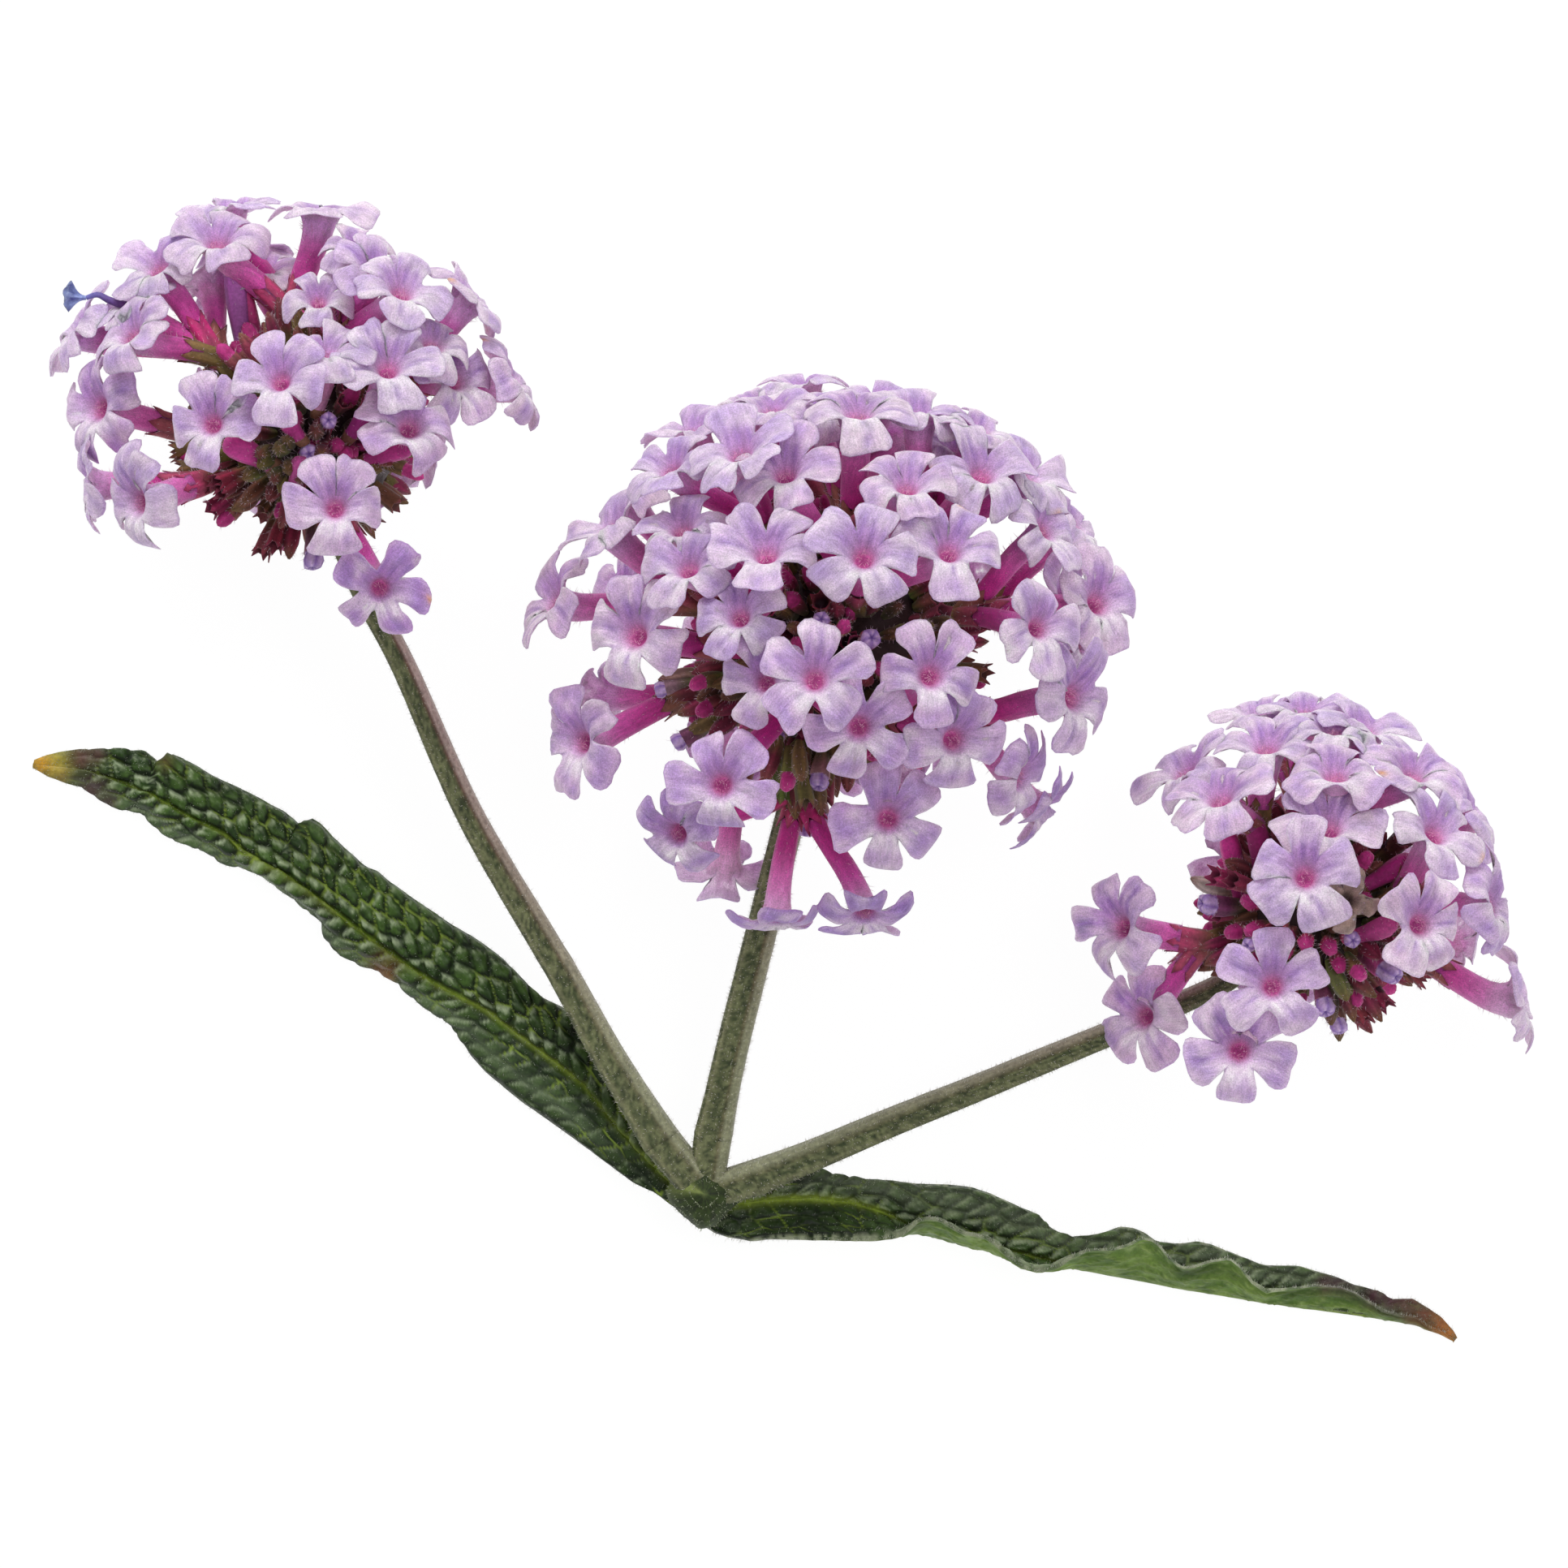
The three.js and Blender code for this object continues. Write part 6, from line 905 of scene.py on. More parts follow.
    # underside, on half as many columns
    pick = [nv - 3, 8, 6, 5, 4] if front else [nv - 3, 4, 3]
    th = np.where(rows > 0.97, 0.03, 0.10) * s
    half_ = np.arange(0, nu, 2)
    rim = top[nv - 1] - nn[nv - 1] * th[-1]
    under = [(top[k] - nn[k] * th[k])[half_] for k in pick]
    # painted light: undersides and rims are painted paler than the upper face, standing for light shining through the
    # thin petal
    underside_through_light = lin(235, 216, 233)
    cu = [mix(col[k], underside_through_light, np.full(nu, 0.66))[half_] for k in pick]
    cu = [mix(cu[q], lin(226, 184, 216), np.full(len(half_), 0.80 * (1 - rows[k]) ** 2)) for q, k in enumerate(pick)]
    net = [0.93 + 0.10 * np.cos(10 * tex[k, :, 1])[half_] for k in pick]
    cu = [cu[q] * net[q][:, None] for q in range(len(pick))]
    tu = [tex[k][half_] for k in pick]
    o2 = soup.grid(np.stack(under), np.stack(cu), np.stack(tu), PETAL, wrap=True, flip=True)
    orim = soup.points(rim, mix(col[nv - 1], underside_through_light, np.full(nu, 0.4)), tex[nv - 1])
    a = np.arange(nu)
    soup.quads(np.stack([rim_top + a, rim_top + (a + 1) % nu, orim + (a + 1) % nu, orim + a], -1)[:, ::-1], PETAL)
    nh2 = nu // 2
    j = np.arange(nh2)
    a0, a1, a2 = orim + 2 * j, orim + 2 * j + 1, orim + (2 * j + 2) % nu
    b0, b1 = o2 + j, o2 + (j + 1) % nh2
    soup.tris(np.concatenate([np.stack([a0, b0, a1], -1), np.stack([a1, b0, b1], -1), np.stack([a1, b1, a2], -1)]), PETAL)
    # the tube
    P, L = tube_curve(f)
    dist = np.array([0.74, 1.0, 1.4, 1.95, 2.7, 3.6, 4.7, 6.0, 7.4, 9.0] if front else [0.74, 1.2, 2.2, 3.6, 5.4, 7.6]) * s
    dist = dist[dist < L * 0.93]
    at, tan = bezier(P, 1 - dist / L)
    at = at - m * (DROP * s * (1 - smooth(dist, 1.2 * s, 3.5 * s)))[:, None]
    rad = np.interp(dist / s, [0.74, 1.0, 1.4, 1.95, 2.7, 4.0, 6.0, 9.0], [0.92, 0.83, 0.76, 0.71, 0.67, 0.64, 0.57, 0.47]) * s * (1 + 0.05 * tone)
    th2 = bearing[::2]
    E = unit(e - tan * (tan @ e)[:, None])
    Mv = np.cross(tan, E)
    tube = at[:, None] + (np.cos(th2)[None, :, None] * E[:, None] + np.sin(th2)[None, :, None] * Mv[:, None]) * rad[:, None, None]
    q = smooth(dist / s, 0.3, min(5.2, L / s))
    hot = rng.uniform(0, 1)
    c_top, c_mid, c_low = mix(lin(236, 186, 224), lin(212, 160, 218), rng.uniform(0, 1)), mix(lin(230, 130, 200), lin(212, 82, 176), hot), mix(lin(216, 56, 162), lin(186, 32, 134), rng.uniform(0, 1))
    ct = np.where((q < 0.42)[:, None], mix(c_top, c_mid, smooth(q, 0, 0.42)), mix(c_mid, c_low, smooth(q, 0.42, 1.05)))
    stripe = 1 + 0.05 * np.cos(5 * th2 + 1.0)[None, :, None]
    ctube = ct[:, None] * stripe
    ttex = np.stack([np.repeat(dist[:, None], len(th2), 1), np.repeat(th2[None] * 0.5, len(dist), 0), np.full((len(dist), len(th2)), tone * 5)], -1)
    o3 = soup.grid(tube, ctube, ttex, TUBE, wrap=True, flip=True)
    last = o2 + (len(pick) - 1) * nh2
    soup.quads(np.stack([last + j, last + (j + 1) % nh2, o3 + (j + 1) % nh2, o3 + j], -1)[:, ::-1], TUBE)
    # hairs on the tube
    nh = 96 if front else 12
    k = rng.uniform(0, len(dist) - 1.001, nh)
    i0 = k.astype(int); fr = (k - i0)[:, None]
    aa = rng.uniform(0, 6.283, nh)
    ax = at[i0] * (1 - fr) + at[i0 + 1] * fr
    tn = tan[i0]
    rr = (rad[i0] * (1 - fr[:, 0]) + rad[i0 + 1] * fr[:, 0])[:, None]
    out = np.cos(aa)[:, None] * E[i0] + np.sin(aa)[:, None] * Mv[i0]
    hairs(soup, ax + out * rr * 0.97, out + tn * rng.uniform(0.0, 1.1, (nh, 1)) + rng.normal(0, 0.2, (nh, 3)), rng.uniform(0.18, 0.46, nh), 0.020, mix(lin(246, 222, 238), lin(214, 110, 172), rng.uniform(0, 1, nh)), HAIR)
    if front:  # the tuft of hairs in the mouth
        nh = 44
        aa = rng.uniform(0, 6.283, nh)
        out = np.cos(aa)[:, None] * e + np.sin(aa)[:, None] * m
        zz = rng.uniform(0.45, 0.95, (nh, 1))
        tuft = (lin(120, 96, 84), lin(80, 60, 56)) if wither else (lin(244, 190, 218), lin(196, 84, 148))
        hairs(soup, mouth + out * rng.uniform(0.16, 0.44, (nh, 1)) * s - N * zz * s, -out * rng.uniform(0.0, 0.9, (nh, 1)) + N * rng.uniform(0.5, 1.3, (nh, 1)) + rng.normal(0, 0.35, (nh, 3)), rng.uniform(0.16, 0.36, nh), 0.020, mix(tuft[0], tuft[1], rng.uniform(0, 1, nh)), HAIR)
    add_calyx(soup, P, L, s, rng, E, e, tone)


CAL_MAROON, CAL_OLIVE, CAL_RED, CAL_GREEN = lin(114, 26, 62), lin(108, 100, 46), lin(174, 38, 104), lin(104, 126, 54)


def add_calyx(soup, P, L, s, rng, E0, e, tone):
    """The hairy five-toothed cup round a tube's foot."""
    reach = min(0.30, 2.1 / L) + rng.uniform(-0.03, 0.03)
    t = np.array([-0.24, -0.10, 0.04, 0.18, 0.32, 0.47]) / 0.47 * reach
    at, tan = bezier(P, t)
    n = 20
    th = np.arange(n) / n * 2 * math.pi + rng.uniform(0, 1)
    E = unit(e - tan * (tan @ e)[:, None])
    Mv = np.cross(tan, E)
    ribs = 1 + 0.08 * np.cos(5 * (th - th[0]))
    rad = np.array([0.40, 0.52, 0.60, 0.64, 0.65, 0.66]) * s
    ring = at[:, None] + (np.cos(th)[None, :, None] * E[:, None] + np.sin(th)[None, :, None] * Mv[:, None]) * (rad[:, None] * ribs[None])[..., None]
    tooth = np.array([0.62, 0.20, -0.10, 0.20])[np.arange(n) % 4] * rng.uniform(0.8, 1.2)
    flare = np.array([0.10, 0.05, 0.0, 0.05])[np.arange(n) % 4]
    out = (np.cos(th)[:, None] * E[-1] + np.sin(th)[:, None] * Mv[-1])
    ring = np.concatenate([ring, (ring[-1] + tan[-1] * tooth[:, None] + out * flare[:, None])[None]])
    k = np.linspace(0, 1, len(ring))
    warm = rng.uniform(0, 1)
    c = mix(mix(CAL_OLIVE, CAL_MAROON, 0.3 * warm), mix(CAL_OLIVE, CAL_RED, warm), smooth(k, 0.1, 0.7))
    rib = 0.7 + 0.6 * (0.5 + 0.5 * np.cos(5 * (th - th[0])))
    cc = c[:, None] * rib[None, :, None]
    cc[-1] = mix(cc[-1], lin(110, 24, 56), np.where(np.arange(n) % 4 == 0, 0.7, 0.2))
    inner = (ring[-3:] - (np.cos(th)[None, :, None] * E[-3:, None] + np.sin(th)[None, :, None] * Mv[-3:, None]) * 0.06)[::-1]
    both = np.concatenate([ring, inner])
    # painted shade: the inside of the cup's rim is 0.7 times as bright as the outside
    o = soup.grid(both, np.concatenate([cc, cc[-3:][::-1] * 0.7]), np.zeros(both.shape), CALYX, wrap=True)
    c0 = soup.points([at[0] - tan[0] * 0.1], cc[0, 0])
    soup.fan(np.arange(n) + o, c0, CALYX, flip=True)
    nh = 40
    r0 = rng.integers(1, len(ring) - 1, nh)
    c0 = rng.integers(0, n, nh)
    b = ring[r0, c0]
    axis = np.concatenate([at, at[-1:]])[r0]
    d = unit(b - axis)
    hairs(soup, b - d * 0.02, d + tan[np.minimum(r0, len(tan) - 1)] * rng.uniform(0.2, 1.0, (nh, 1)) + rng.normal(0, 0.2, (nh, 3)), rng.uniform(0.16, 0.40, nh), 0.012, HAIR_WHITE, HAIR)


def add_bud(soup, foot, tip, radius, rng, kind="closed", colour=None, hair=20, n=15):
    """A hairy calyx: closed over its bud, open with five teeth, or with a magenta or violet bud in it."""
    foot, tip = np.asarray(foot, float), np.asarray(tip, float)
    d = tip - foot
    L = np.linalg.norm(d)
    d = d / L
    e, m = frame_for(d)
    th = np.arange(n) / n * 2 * math.pi + rng.uniform(0, 1.2)
    five = 0.5 + 0.5 * np.cos(5 * (th - th[0]))
    body = mix(mix(CAL_MAROON, CAL_OLIVE, rng.uniform(0, 0.9)), CAL_RED, rng.uniform(0, 0.6)) if colour is None else np.asarray(colour, float)
    low = mix(CAL_OLIVE, CAL_GREEN, rng.uniform(0, 1)) * 0.85
    if kind == "closed":
        prof = [(0, 0.50), (0.22, 0.78), (0.48, 0.94), (0.68, 0.92), (0.82, 0.70), (0.92, 0.42), (1.0, 0.10)]
        tooth = 0.30
    elif kind == "magenta" or kind == "knob":
        prof = [(0, 0.50), (0.22, 0.78), (0.48, 0.92), (0.66, 0.96), (0.67, 0.76), (0.78, 0.84), (0.90, 0.72), (0.97, 0.40), (1.0, 0.06)]
        tooth = 0.0
    elif kind == "violet":
        prof = [(0, 0.50), (0.25, 0.78), (0.50, 0.94), (0.72, 1.0), (0.73, 0.80), (0.84, 0.98), (0.95, 0.82), (0.98, 0.45), (0.93, 0.08)]
        tooth = 0.0
    elif kind == "club":
        prof = [(0, 0.62), (0.18, 0.78), (0.19, 0.66), (0.40, 0.80), (0.62, 0.98), (0.80, 1.0), (0.92, 0.80), (0.98, 0.45), (1.0, 0.08)]
        tooth = 0.0
    else:
        prof = [(0, 0.50), (0.25, 0.80), (0.55, 0.98), (0.80, 1.04)]
        tooth = 0.0
    k = np.array([p[0] for p in prof])
    r = np.array([p[1] for p in prof]) * radius
    soft = smooth(k, 0.05, 0.5)
    rib = 1 + 0.12 * (five - 0.5)[None] * soft[:, None]
    circle = np.cos(th)[:, None] * e + np.sin(th)[:, None] * m
    bend = rng.normal(0, 0.12, 2)
    sway = (k * (1 - k))[:, None] * (e * bend[0] + m * bend[1]) * L
    ring = foot + d * (k * L)[:, None] + sway
    ring = ring[:, None] + circle[None] * (r[:, None] * rib)[..., None]
    if tooth:  # the teeth lean together over the bud
        ring = ring + d * (tooth * radius * (five - 0.5)[None] * smooth(k, 0.6, 0.95)[:, None])[..., None]
    c = mix(low, body, smooth(k, 0.02, 0.50))
    cc = c[:, None] * (0.55 + 0.80 * five)[None, :, None]
    if kind == "closed":
        cc = mix(cc, np.broadcast_to(mix(lin(120, 30, 60), CAL_OLIVE, rng.uniform(0, 1)), cc.shape), (smooth(k, 0.7, 1.0)[:, None] * (0.4 + 0.5 * five)[None]))
    if kind in ("magenta", "knob"):
        m_top = mix(lin(196, 60, 138), lin(158, 34, 104), rng.uniform(0, 1))
        cc = np.where((k > 0.665)[:, None, None], m_top * (0.85 + 0.25 * five)[None, :, None] * np.ones_like(cc), cc)
    if kind == "club":
        c_top = lin(186, 58, 138) if colour is None else np.asarray(colour, float)
        cc = np.where((k > 0.185)[:, None, None], mix(c_top * 0.72, c_top, smooth(k, 0.2, 0.8))[:, None] * (0.9 + 0.16 * five)[None, :, None], mix(CAL_OLIVE, CAL_MAROON, 0.5) * np.ones_like(cc))
    if kind == "violet":
        swirl = 0.5 + 0.5 * np.cos(5 * (th[None] - th[0]) + 4 * k[:, None])
        v_top = mix(np.broadcast_to(lin(132, 98, 176), cc.shape), np.broadcast_to(lin(206, 180, 220), cc.shape), swirl)
        cc = np.where((k > 0.725)[:, None, None], v_top, cc)
        cc[-1] = lin(96, 66, 140)
    if kind in ("cup", "teeth"):
        if n % 3 == 0:
            step = np.array([1.0, 0.12, 0.12])[np.arange(n) % 3]
        else:
            step = (np.arange(n) % 2 == 0) * 1.0
        long = radius * (0.95 if kind == "teeth" else 0.6)
        ring = np.concatenate([ring, (ring[-1] + d * (step * long * rng.uniform(0.8, 1.2, n))[:, None] + circle * (radius * 0.22 * step)[:, None])[None]])
        cc = np.concatenate([cc, mix(cc[-1], lin(140, 34, 74), 0.6 * step)[None]])
        inner = (ring[-2:] - circle[None] * 0.07)[::-1]
        floor_ = (foot + d * 0.5 * L + circle * radius * 0.7)[None]
        full = np.concatenate([ring, inner, floor_])
        # painted shade: the inside of the open cup darkens towards its floor
        dark = np.broadcast_to(lin(66, 18, 40), (n, 3))
        call = np.concatenate([cc, mix(cc[-2:][::-1], dark[None], 0.5 * np.ones((2, n))), dark[None] * 0.5])
        o = soup.grid(full, call, np.zeros(full.shape), CALYX, wrap=True)
        c0 = soup.points([foot + d * 0.48 * L], lin(44, 12, 28))
        soup.fan(np.arange(n) + o + (len(full) - 1) * n, c0, CALYX)
    else:
        o = soup.grid(ring, cc, np.zeros(ring.shape), CALYX, wrap=True)
        c0 = soup.points([ring[-1].mean(0) + d * (0.0 if kind == "violet" else 0.03)], cc[-1].mean(0))
        soup.fan(np.arange(n) + o + (len(ring) - 1) * n, c0, CALYX)
    if hair:
        last = len(ring) - 1
        r0 = rng.integers(1, last, hair)
        if kind in ("violet", "magenta"):  # a fringe round the bud
            r0[: hair // 2] = 3
        c1 = rng.integers(0, n, hair)
        b = ring[r0, c1]
        out = circle[c1]
        hairs(soup, b - out * 0.02, out + d * rng.uniform(0.3, 1.4, (hair, 1)) + rng.normal(0, 0.2, (hair, 3)), rng.uniform(0.15, 0.38, hair), 0.012, mix(HAIR_WHITE, HAIR_PINK, rng.uniform(0, 1, hair)), HAIR)


def spread(d, angle, turn):
    e, m = frame_for(d)
    return unit(d * math.cos(angle) + (e * math.cos(turn) + m * math.sin(turn)) * math.sin(angle))


# ---------------------------------------------------------------- the flower heads
total = 0
count = {}
for i, (h, d) in enumerate(BRANCHLETS):
    count[h] = count.get(h, 0) + 1
    name = "florets_%s_%02d" % (h, count[h])
    rng = np.random.default_rng(100 + i)
    soup = Soup()
    d = unit(d)
    C, core = np.array(HEADS[h]["centre"]), HEADS[h]["core"]
    for number, f in enumerate(FLORETS):
        if f[0] == i:
            add_floret(soup, f, np.random.default_rng(1000 + number), number, WITHERED.get(number, 0.0), HABIT.get(number))
    # the branchlet itself and the buds crowded at its end
    add_bud(soup, C + d * (core - 0.6), C + d * (core + 2.3), 0.62, rng, "closed", lin(84, 62, 36), 20)
    nb = 8
    for k in range(nb):
        ang = rng.uniform(0.10, 0.18) if k == 0 else rng.uniform(0.16, 0.36) * (6.4 / core) ** 0.5
        dd = spread(d, ang, 2.4 * k + rng.uniform(-0.4, 0.4))
        ln = core + (2.7 if k == 0 else rng.uniform(1.7, 2.8))
        kind = rng.choice(["closed", "closed", "closed", "magenta", "magenta", "cup"])
        add_bud(soup, C + dd * (core - 0.2), C + dd * ln + rng.normal(0, 0.12, 3), rng.uniform(0.40, 0.56), rng, kind, None, 22, n=12)
    ob = soup.object(name + "_look", [M_PETAL, M_CALYX, M_HAIR, M_TUBE])
    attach(ob, "root")
    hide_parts(name)
    total += soup.faces()

for h, data in HEADS.items():
    rng = np.random.default_rng({"centre": 7, "left": 8, "right": 9}[h])
    C, core = np.array(data["centre"]), data["core"]
    soup = Soup()
    nu, nv = 40, 24
    th = np.arange(nu) / nu * 2 * math.pi
    ph = np.linspace(0.02, math.pi - 0.02, nv)
    dirs = np.stack([np.sin(ph)[:, None] * np.cos(th), np.sin(ph)[:, None] * np.sin(th), np.repeat(np.cos(ph)[:, None], nu, 1)], -1)
    bumpy = 0.86 + 0.12 * value_noise(th[None] * 4 + 9 * np.cos(ph)[:, None], ph[:, None] * 5 + 0 * th[None], 3)
    # painted shade: the core is painted near-black brown and darker in its dips, for the shade deep inside the head
    soup.grid(C + dirs * (core * bumpy)[..., None], np.broadcast_to(lin(40, 22, 22), dirs.shape) * (0.7 + 0.6 * bumpy[..., None]), np.zeros(dirs.shape), CALYX, wrap=True, flip=True)
    n = int(4 * math.pi * core * core / 3.4)
    for k in range(n):
        z = 1 - (2 * k + 1) / n
        a = k * 2.399963 + 0.3
        dd = np.array([math.sqrt(1 - z * z) * math.cos(a), math.sqrt(1 - z * z) * math.sin(a), z])
        dd = unit(dd + rng.normal(0, 0.06, 3))
        kind = rng.choice(["closed", "closed", "magenta", "cup"])
        add_bud(soup, C + dd * (core - 1.8), C + dd * (core + rng.uniform(0.3, 2.0)), rng.uniform(0.38, 0.52), rng, kind, mix(CAL_MAROON, CAL_OLIVE, rng.uniform(0, 1)), 12 if dd[2] > -0.2 else 0, n=12)
    for (bh, tip, away, long, fat, kind, colour) in BUDS:
        if bh == h:
            tip = np.array(tip)
            add_bud(soup, tip - unit(away) * long, tip, fat, rng, kind, None if colour is None else lin(*colour), 46)
    if h == "left":  # one dried blue corolla on its thread
        a, b, c = np.array(BLUE[0]), np.array(BLUE[1]), np.array(BLUE[2])
        bl = np.random.default_rng(77)
        pts = np.stack([a + [0.9, -0.3, 0.2], a, (a + b) / 2 + [0, 0.25, 0], b])
        at, tan, ll = even(pts, 12)
        ring_e = unit(np.cross(tan, [0, 0, 1.0]))
        ring_m = np.cross(tan, ring_e)
        aa = np.arange(8) / 8 * 2 * math.pi
        thick = np.linspace(0.26, 0.13, 12)
        tube_ = at[:, None] + (np.cos(aa)[None, :, None] * ring_e[:, None] + np.sin(aa)[None, :, None] * ring_m[:, None]) * thick[:, None, None]
        soup.grid(tube_, mix(lin(112, 64, 132), lin(96, 96, 160), np.linspace(0, 1, 12))[:, None] * np.ones((12, 8, 1)), np.zeros(tube_.shape), CALYX, wrap=True, flip=False)
        dn = unit(c - b)
        e1, m1 = frame_for(dn)
        na = 40
        ang = np.arange(na) / na * 2 * math.pi
        up = [0.0, 0.18, 0.38, 0.58, 0.76, 0.92, 1.05, 1.12, 1.08, 0.98, 0.84, 0.70, 0.62]
        out = [0.12, 0.15, 0.22, 0.34, 0.46, 0.58, 0.68, 0.74, 0.70, 0.56, 0.38, 0.18, 0.01]
        rim = [0.0, 0.0, 0.1, 0.3, 0.55, 0.8, 0.95, 1.0, 1.0, 0.85, 0.5, 0.2, 0.0]
        up, out, rim = np.array(up)[:, None], np.array(out)[:, None], np.array(rim)[:, None]
        kk = np.linspace(0, 1, len(up))
        ragged = 0.30 * np.cos(5 * ang) + 0.10 * np.cos(3 * ang + 1) + 0.06 * np.cos(11 * ang + 2)
        star = out * (1 + rim * ragged[None])
        along = up + rim * (0.14 * np.cos(2 * ang + 0.6) + 0.07 * np.cos(7 * ang))[None] - 0.05 * rim * np.cos(5 * ang)[None]
        body = b + dn * along[..., None] + (np.cos(ang)[None, :, None] * e1 + np.sin(ang)[None, :, None] * m1) * star[..., None]
        shade = value_noise(kk[:, None] * 6, ang[None] * 2 + 0 * kk[:, None], 5)
        soup.grid(body, mix(lin(50, 56, 126), lin(150, 166, 212), shade), np.zeros(body.shape), CALYX, wrap=True)
    ob = soup.object("receptacle_%s_look" % h, [M_PETAL, M_CALYX, M_HAIR])
    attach(ob, "root")
    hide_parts("receptacle_" + h)
    total += soup.faces()

# ---------------------------------------------------------------- stems
STEM_GREEN, STEM_DARK, STEM_PALE, STEM_LINE = lin(114, 119, 82), lin(60, 70, 40), lin(182, 158, 152), lin(98, 46, 52)


def section(th):
    return 0.94 / (np.abs(np.cos(th)) ** 4 + np.abs(np.sin(th)) ** 4) ** 0.25


def add_stem(soup, pts, radii, rng, turn, pale_side, n=170, around=36, hair=2600, flare=0.16, before=0.0, pink=1.0):
    at, tan, L = even(pts, n)
    k = np.linspace(0, 1, n)
    R = (radii[0] + (radii[1] - radii[0]) * k) * (1 + flare * np.exp(-k * 14))
    ref = np.array([0, 0, 1.0])
    E = unit(ref - tan * (tan @ ref)[:, None])
    Mv = np.cross(tan, E)
    th = np.arange(around) / around * 2 * math.pi
    shape = section(th - turn) * (1 - 0.07 * np.exp(-(np.sin(2 * (th - turn)) / 0.35) ** 2))
    wob = 1 + 0.02 * (value_noise(k[:, None] * L * 1.2, th[None] * 2 + 0 * k[:, None], 5) - 0.5)
    ring = at[:, None] + (np.cos(th)[None, :, None] * E[:, None] + np.sin(th)[None, :, None] * Mv[:, None]) * (R[:, None] * shape[None] * wob)[..., None]
    # colour round the stem: a purple-brown line along one corner, paler on the side of the light as painted light
    side = np.mod((th - turn) * pale_side + math.pi, 2 * math.pi) - math.pi
    line = np.exp(-((side - 0.40) / 0.10) ** 2)
    pale = smooth(side, 0.40, 0.62) * (1 - smooth(side, 1.7, 2.4))
    far = (k[:, None] * L - before) + 60
    mottle = value_noise(far * 2.6, side[None] * 5 + 40, 11) * 0.5 + value_noise(far * 6.5, side[None] * 11 + 80, 12) * 0.5
    speck = smooth(value_noise(far * 9, side[None] * 14 + 90, 13), 0.62, 0.80)
    c = mix(STEM_DARK, STEM_GREEN, smooth(mottle, 0.25, 0.65))
    c = mix(c, lin(44, 50, 32), speck * 0.55)
    warm = smooth(far, 62, 90) * pink
    c = mix(c, mix(np.broadcast_to(lin(150, 152, 122), c.shape), np.broadcast_to(STEM_PALE, c.shape), warm * np.ones_like(mottle)), pale[None] * (0.66 + 0.34 * mottle))
    c = mix(c, STEM_LINE, line[None] * (0.45 + 0.5 * smooth(mottle, 0.2, 0.6)) * (0.25 + 0.75 * warm))
    other = np.exp(-((side + 0.62) / 0.10) ** 2) + np.exp(-((side + 1.30) / 0.12) ** 2)
    c = mix(c, lin(148, 146, 112), other[None] * 0.55 * np.ones_like(mottle))
    base = soup.grid(ring, c, np.zeros(ring.shape), CALYX, wrap=True)
    o1 = soup.points([at[0]], STEM_GREEN)
    soup.fan(base + np.arange(around), o1, CALYX, flip=True)
    o2 = soup.points([at[-1]], STEM_GREEN)
    soup.fan(base + (n - 1) * around + np.arange(around), o2, CALYX)
    r0, c0 = rng.integers(1, n - 1, hair), rng.integers(0, around, hair)
    b = ring[r0, c0]
    out = unit(b - at[r0])
    hairs(soup, b - out * 0.015 + tan[r0] * rng.uniform(-0.2, 0.2, (hair, 1)), out + tan[r0] * rng.uniform(-0.1, 0.8, (hair, 1)) + rng.normal(0, 0.25, (hair, 3)), rng.uniform(0.10, 0.30, hair), 0.015, mix(lin(236, 232, 222), lin(190, 184, 164), rng.uniform(0, 1, hair)), HAIR)
    return ring


TURN = {"left": (-0.10, 1), "centre": (-0.05, 1), "right": (0.15, -1)}
PINK = {"left": 1.0, "centre": 0.8, "right": 0.55}
for h, pts in STEMS.items():
    rng = np.random.default_rng({"centre": 17, "left": 18, "right": 19}[h])
    soup = Soup()
    add_stem(soup, pts, STEM_R[h], rng, *TURN[h], pink=PINK[h])
    ob = soup.object("stem_%s_look" % h, [M_PETAL, M_STEM, M_HAIR])
    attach(ob, "root")
    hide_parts("stem_" + h)
    total += soup.faces()

# the node: a short cut stub and three arms
soup = Soup()
rng = np.random.default_rng(23)
N0 = np.array(NODE)
for h, pts in STEMS.items():
    p0, p1 = np.array(pts[0]), np.array(pts[1])
    dirn = unit(p1 - p0)
    stop = p0 + dirn * 0.12
    r = STEM_R[h][0] * 1.16
    arm = [N0 + (N0 - stop) * 0.05, N0 * 0.66 + stop * 0.34, N0 * 0.33 + stop * 0.67 - dirn * 0.05, stop]
    add_stem(soup, arm, (r * 0.92, r * 0.995), rng, *TURN[h], n=26, around=36, hair=260, flare=0.0, before=even(arm, 26)[2])
zz = np.array([0.03, 0.3, 0.8, 1.2, 1.9, 2.5, 3.0, 3.5, 3.9, 4.2, 4.5, 4.7, 4.8])
rr = np.array([1.05, 1.14, 1.14, 1.16, 1.30, 1.68, 1.86, 1.88, 1.70, 1.45, 1.10, 0.70, 0.30])
na = 72
th = np.arange(na) / na * 2 * math.pi
rough_ = 1 + 0.09 * (value_noise(th[None] * 4 + 9, zz[:, None] * 1.6, 61) - 0.5) + 0.05 * (value_noise(th[None] * 11 + 9, zz[:, None] * 4, 62) - 0.5)
rad = rr[:, None] * section(th - 0.785)[None] * rough_
ring = np.stack([N0[0] + np.cos(th)[None] * rad, N0[1] + np.sin(th)[None] * rad, np.repeat(zz[:, None], na, 1)], -1)
mott = value_noise(th[None] * 7 + 9, zz[:, None] * 5, 63)
c = mix(np.broadcast_to(lin(22, 32, 10), ring.shape), np.broadcast_to(lin(58, 76, 26), ring.shape), mott)
bright = np.exp(-((th - 2.75) / 0.35) ** 2)[None] * smooth(zz, 2.6, 3.6)[:, None]
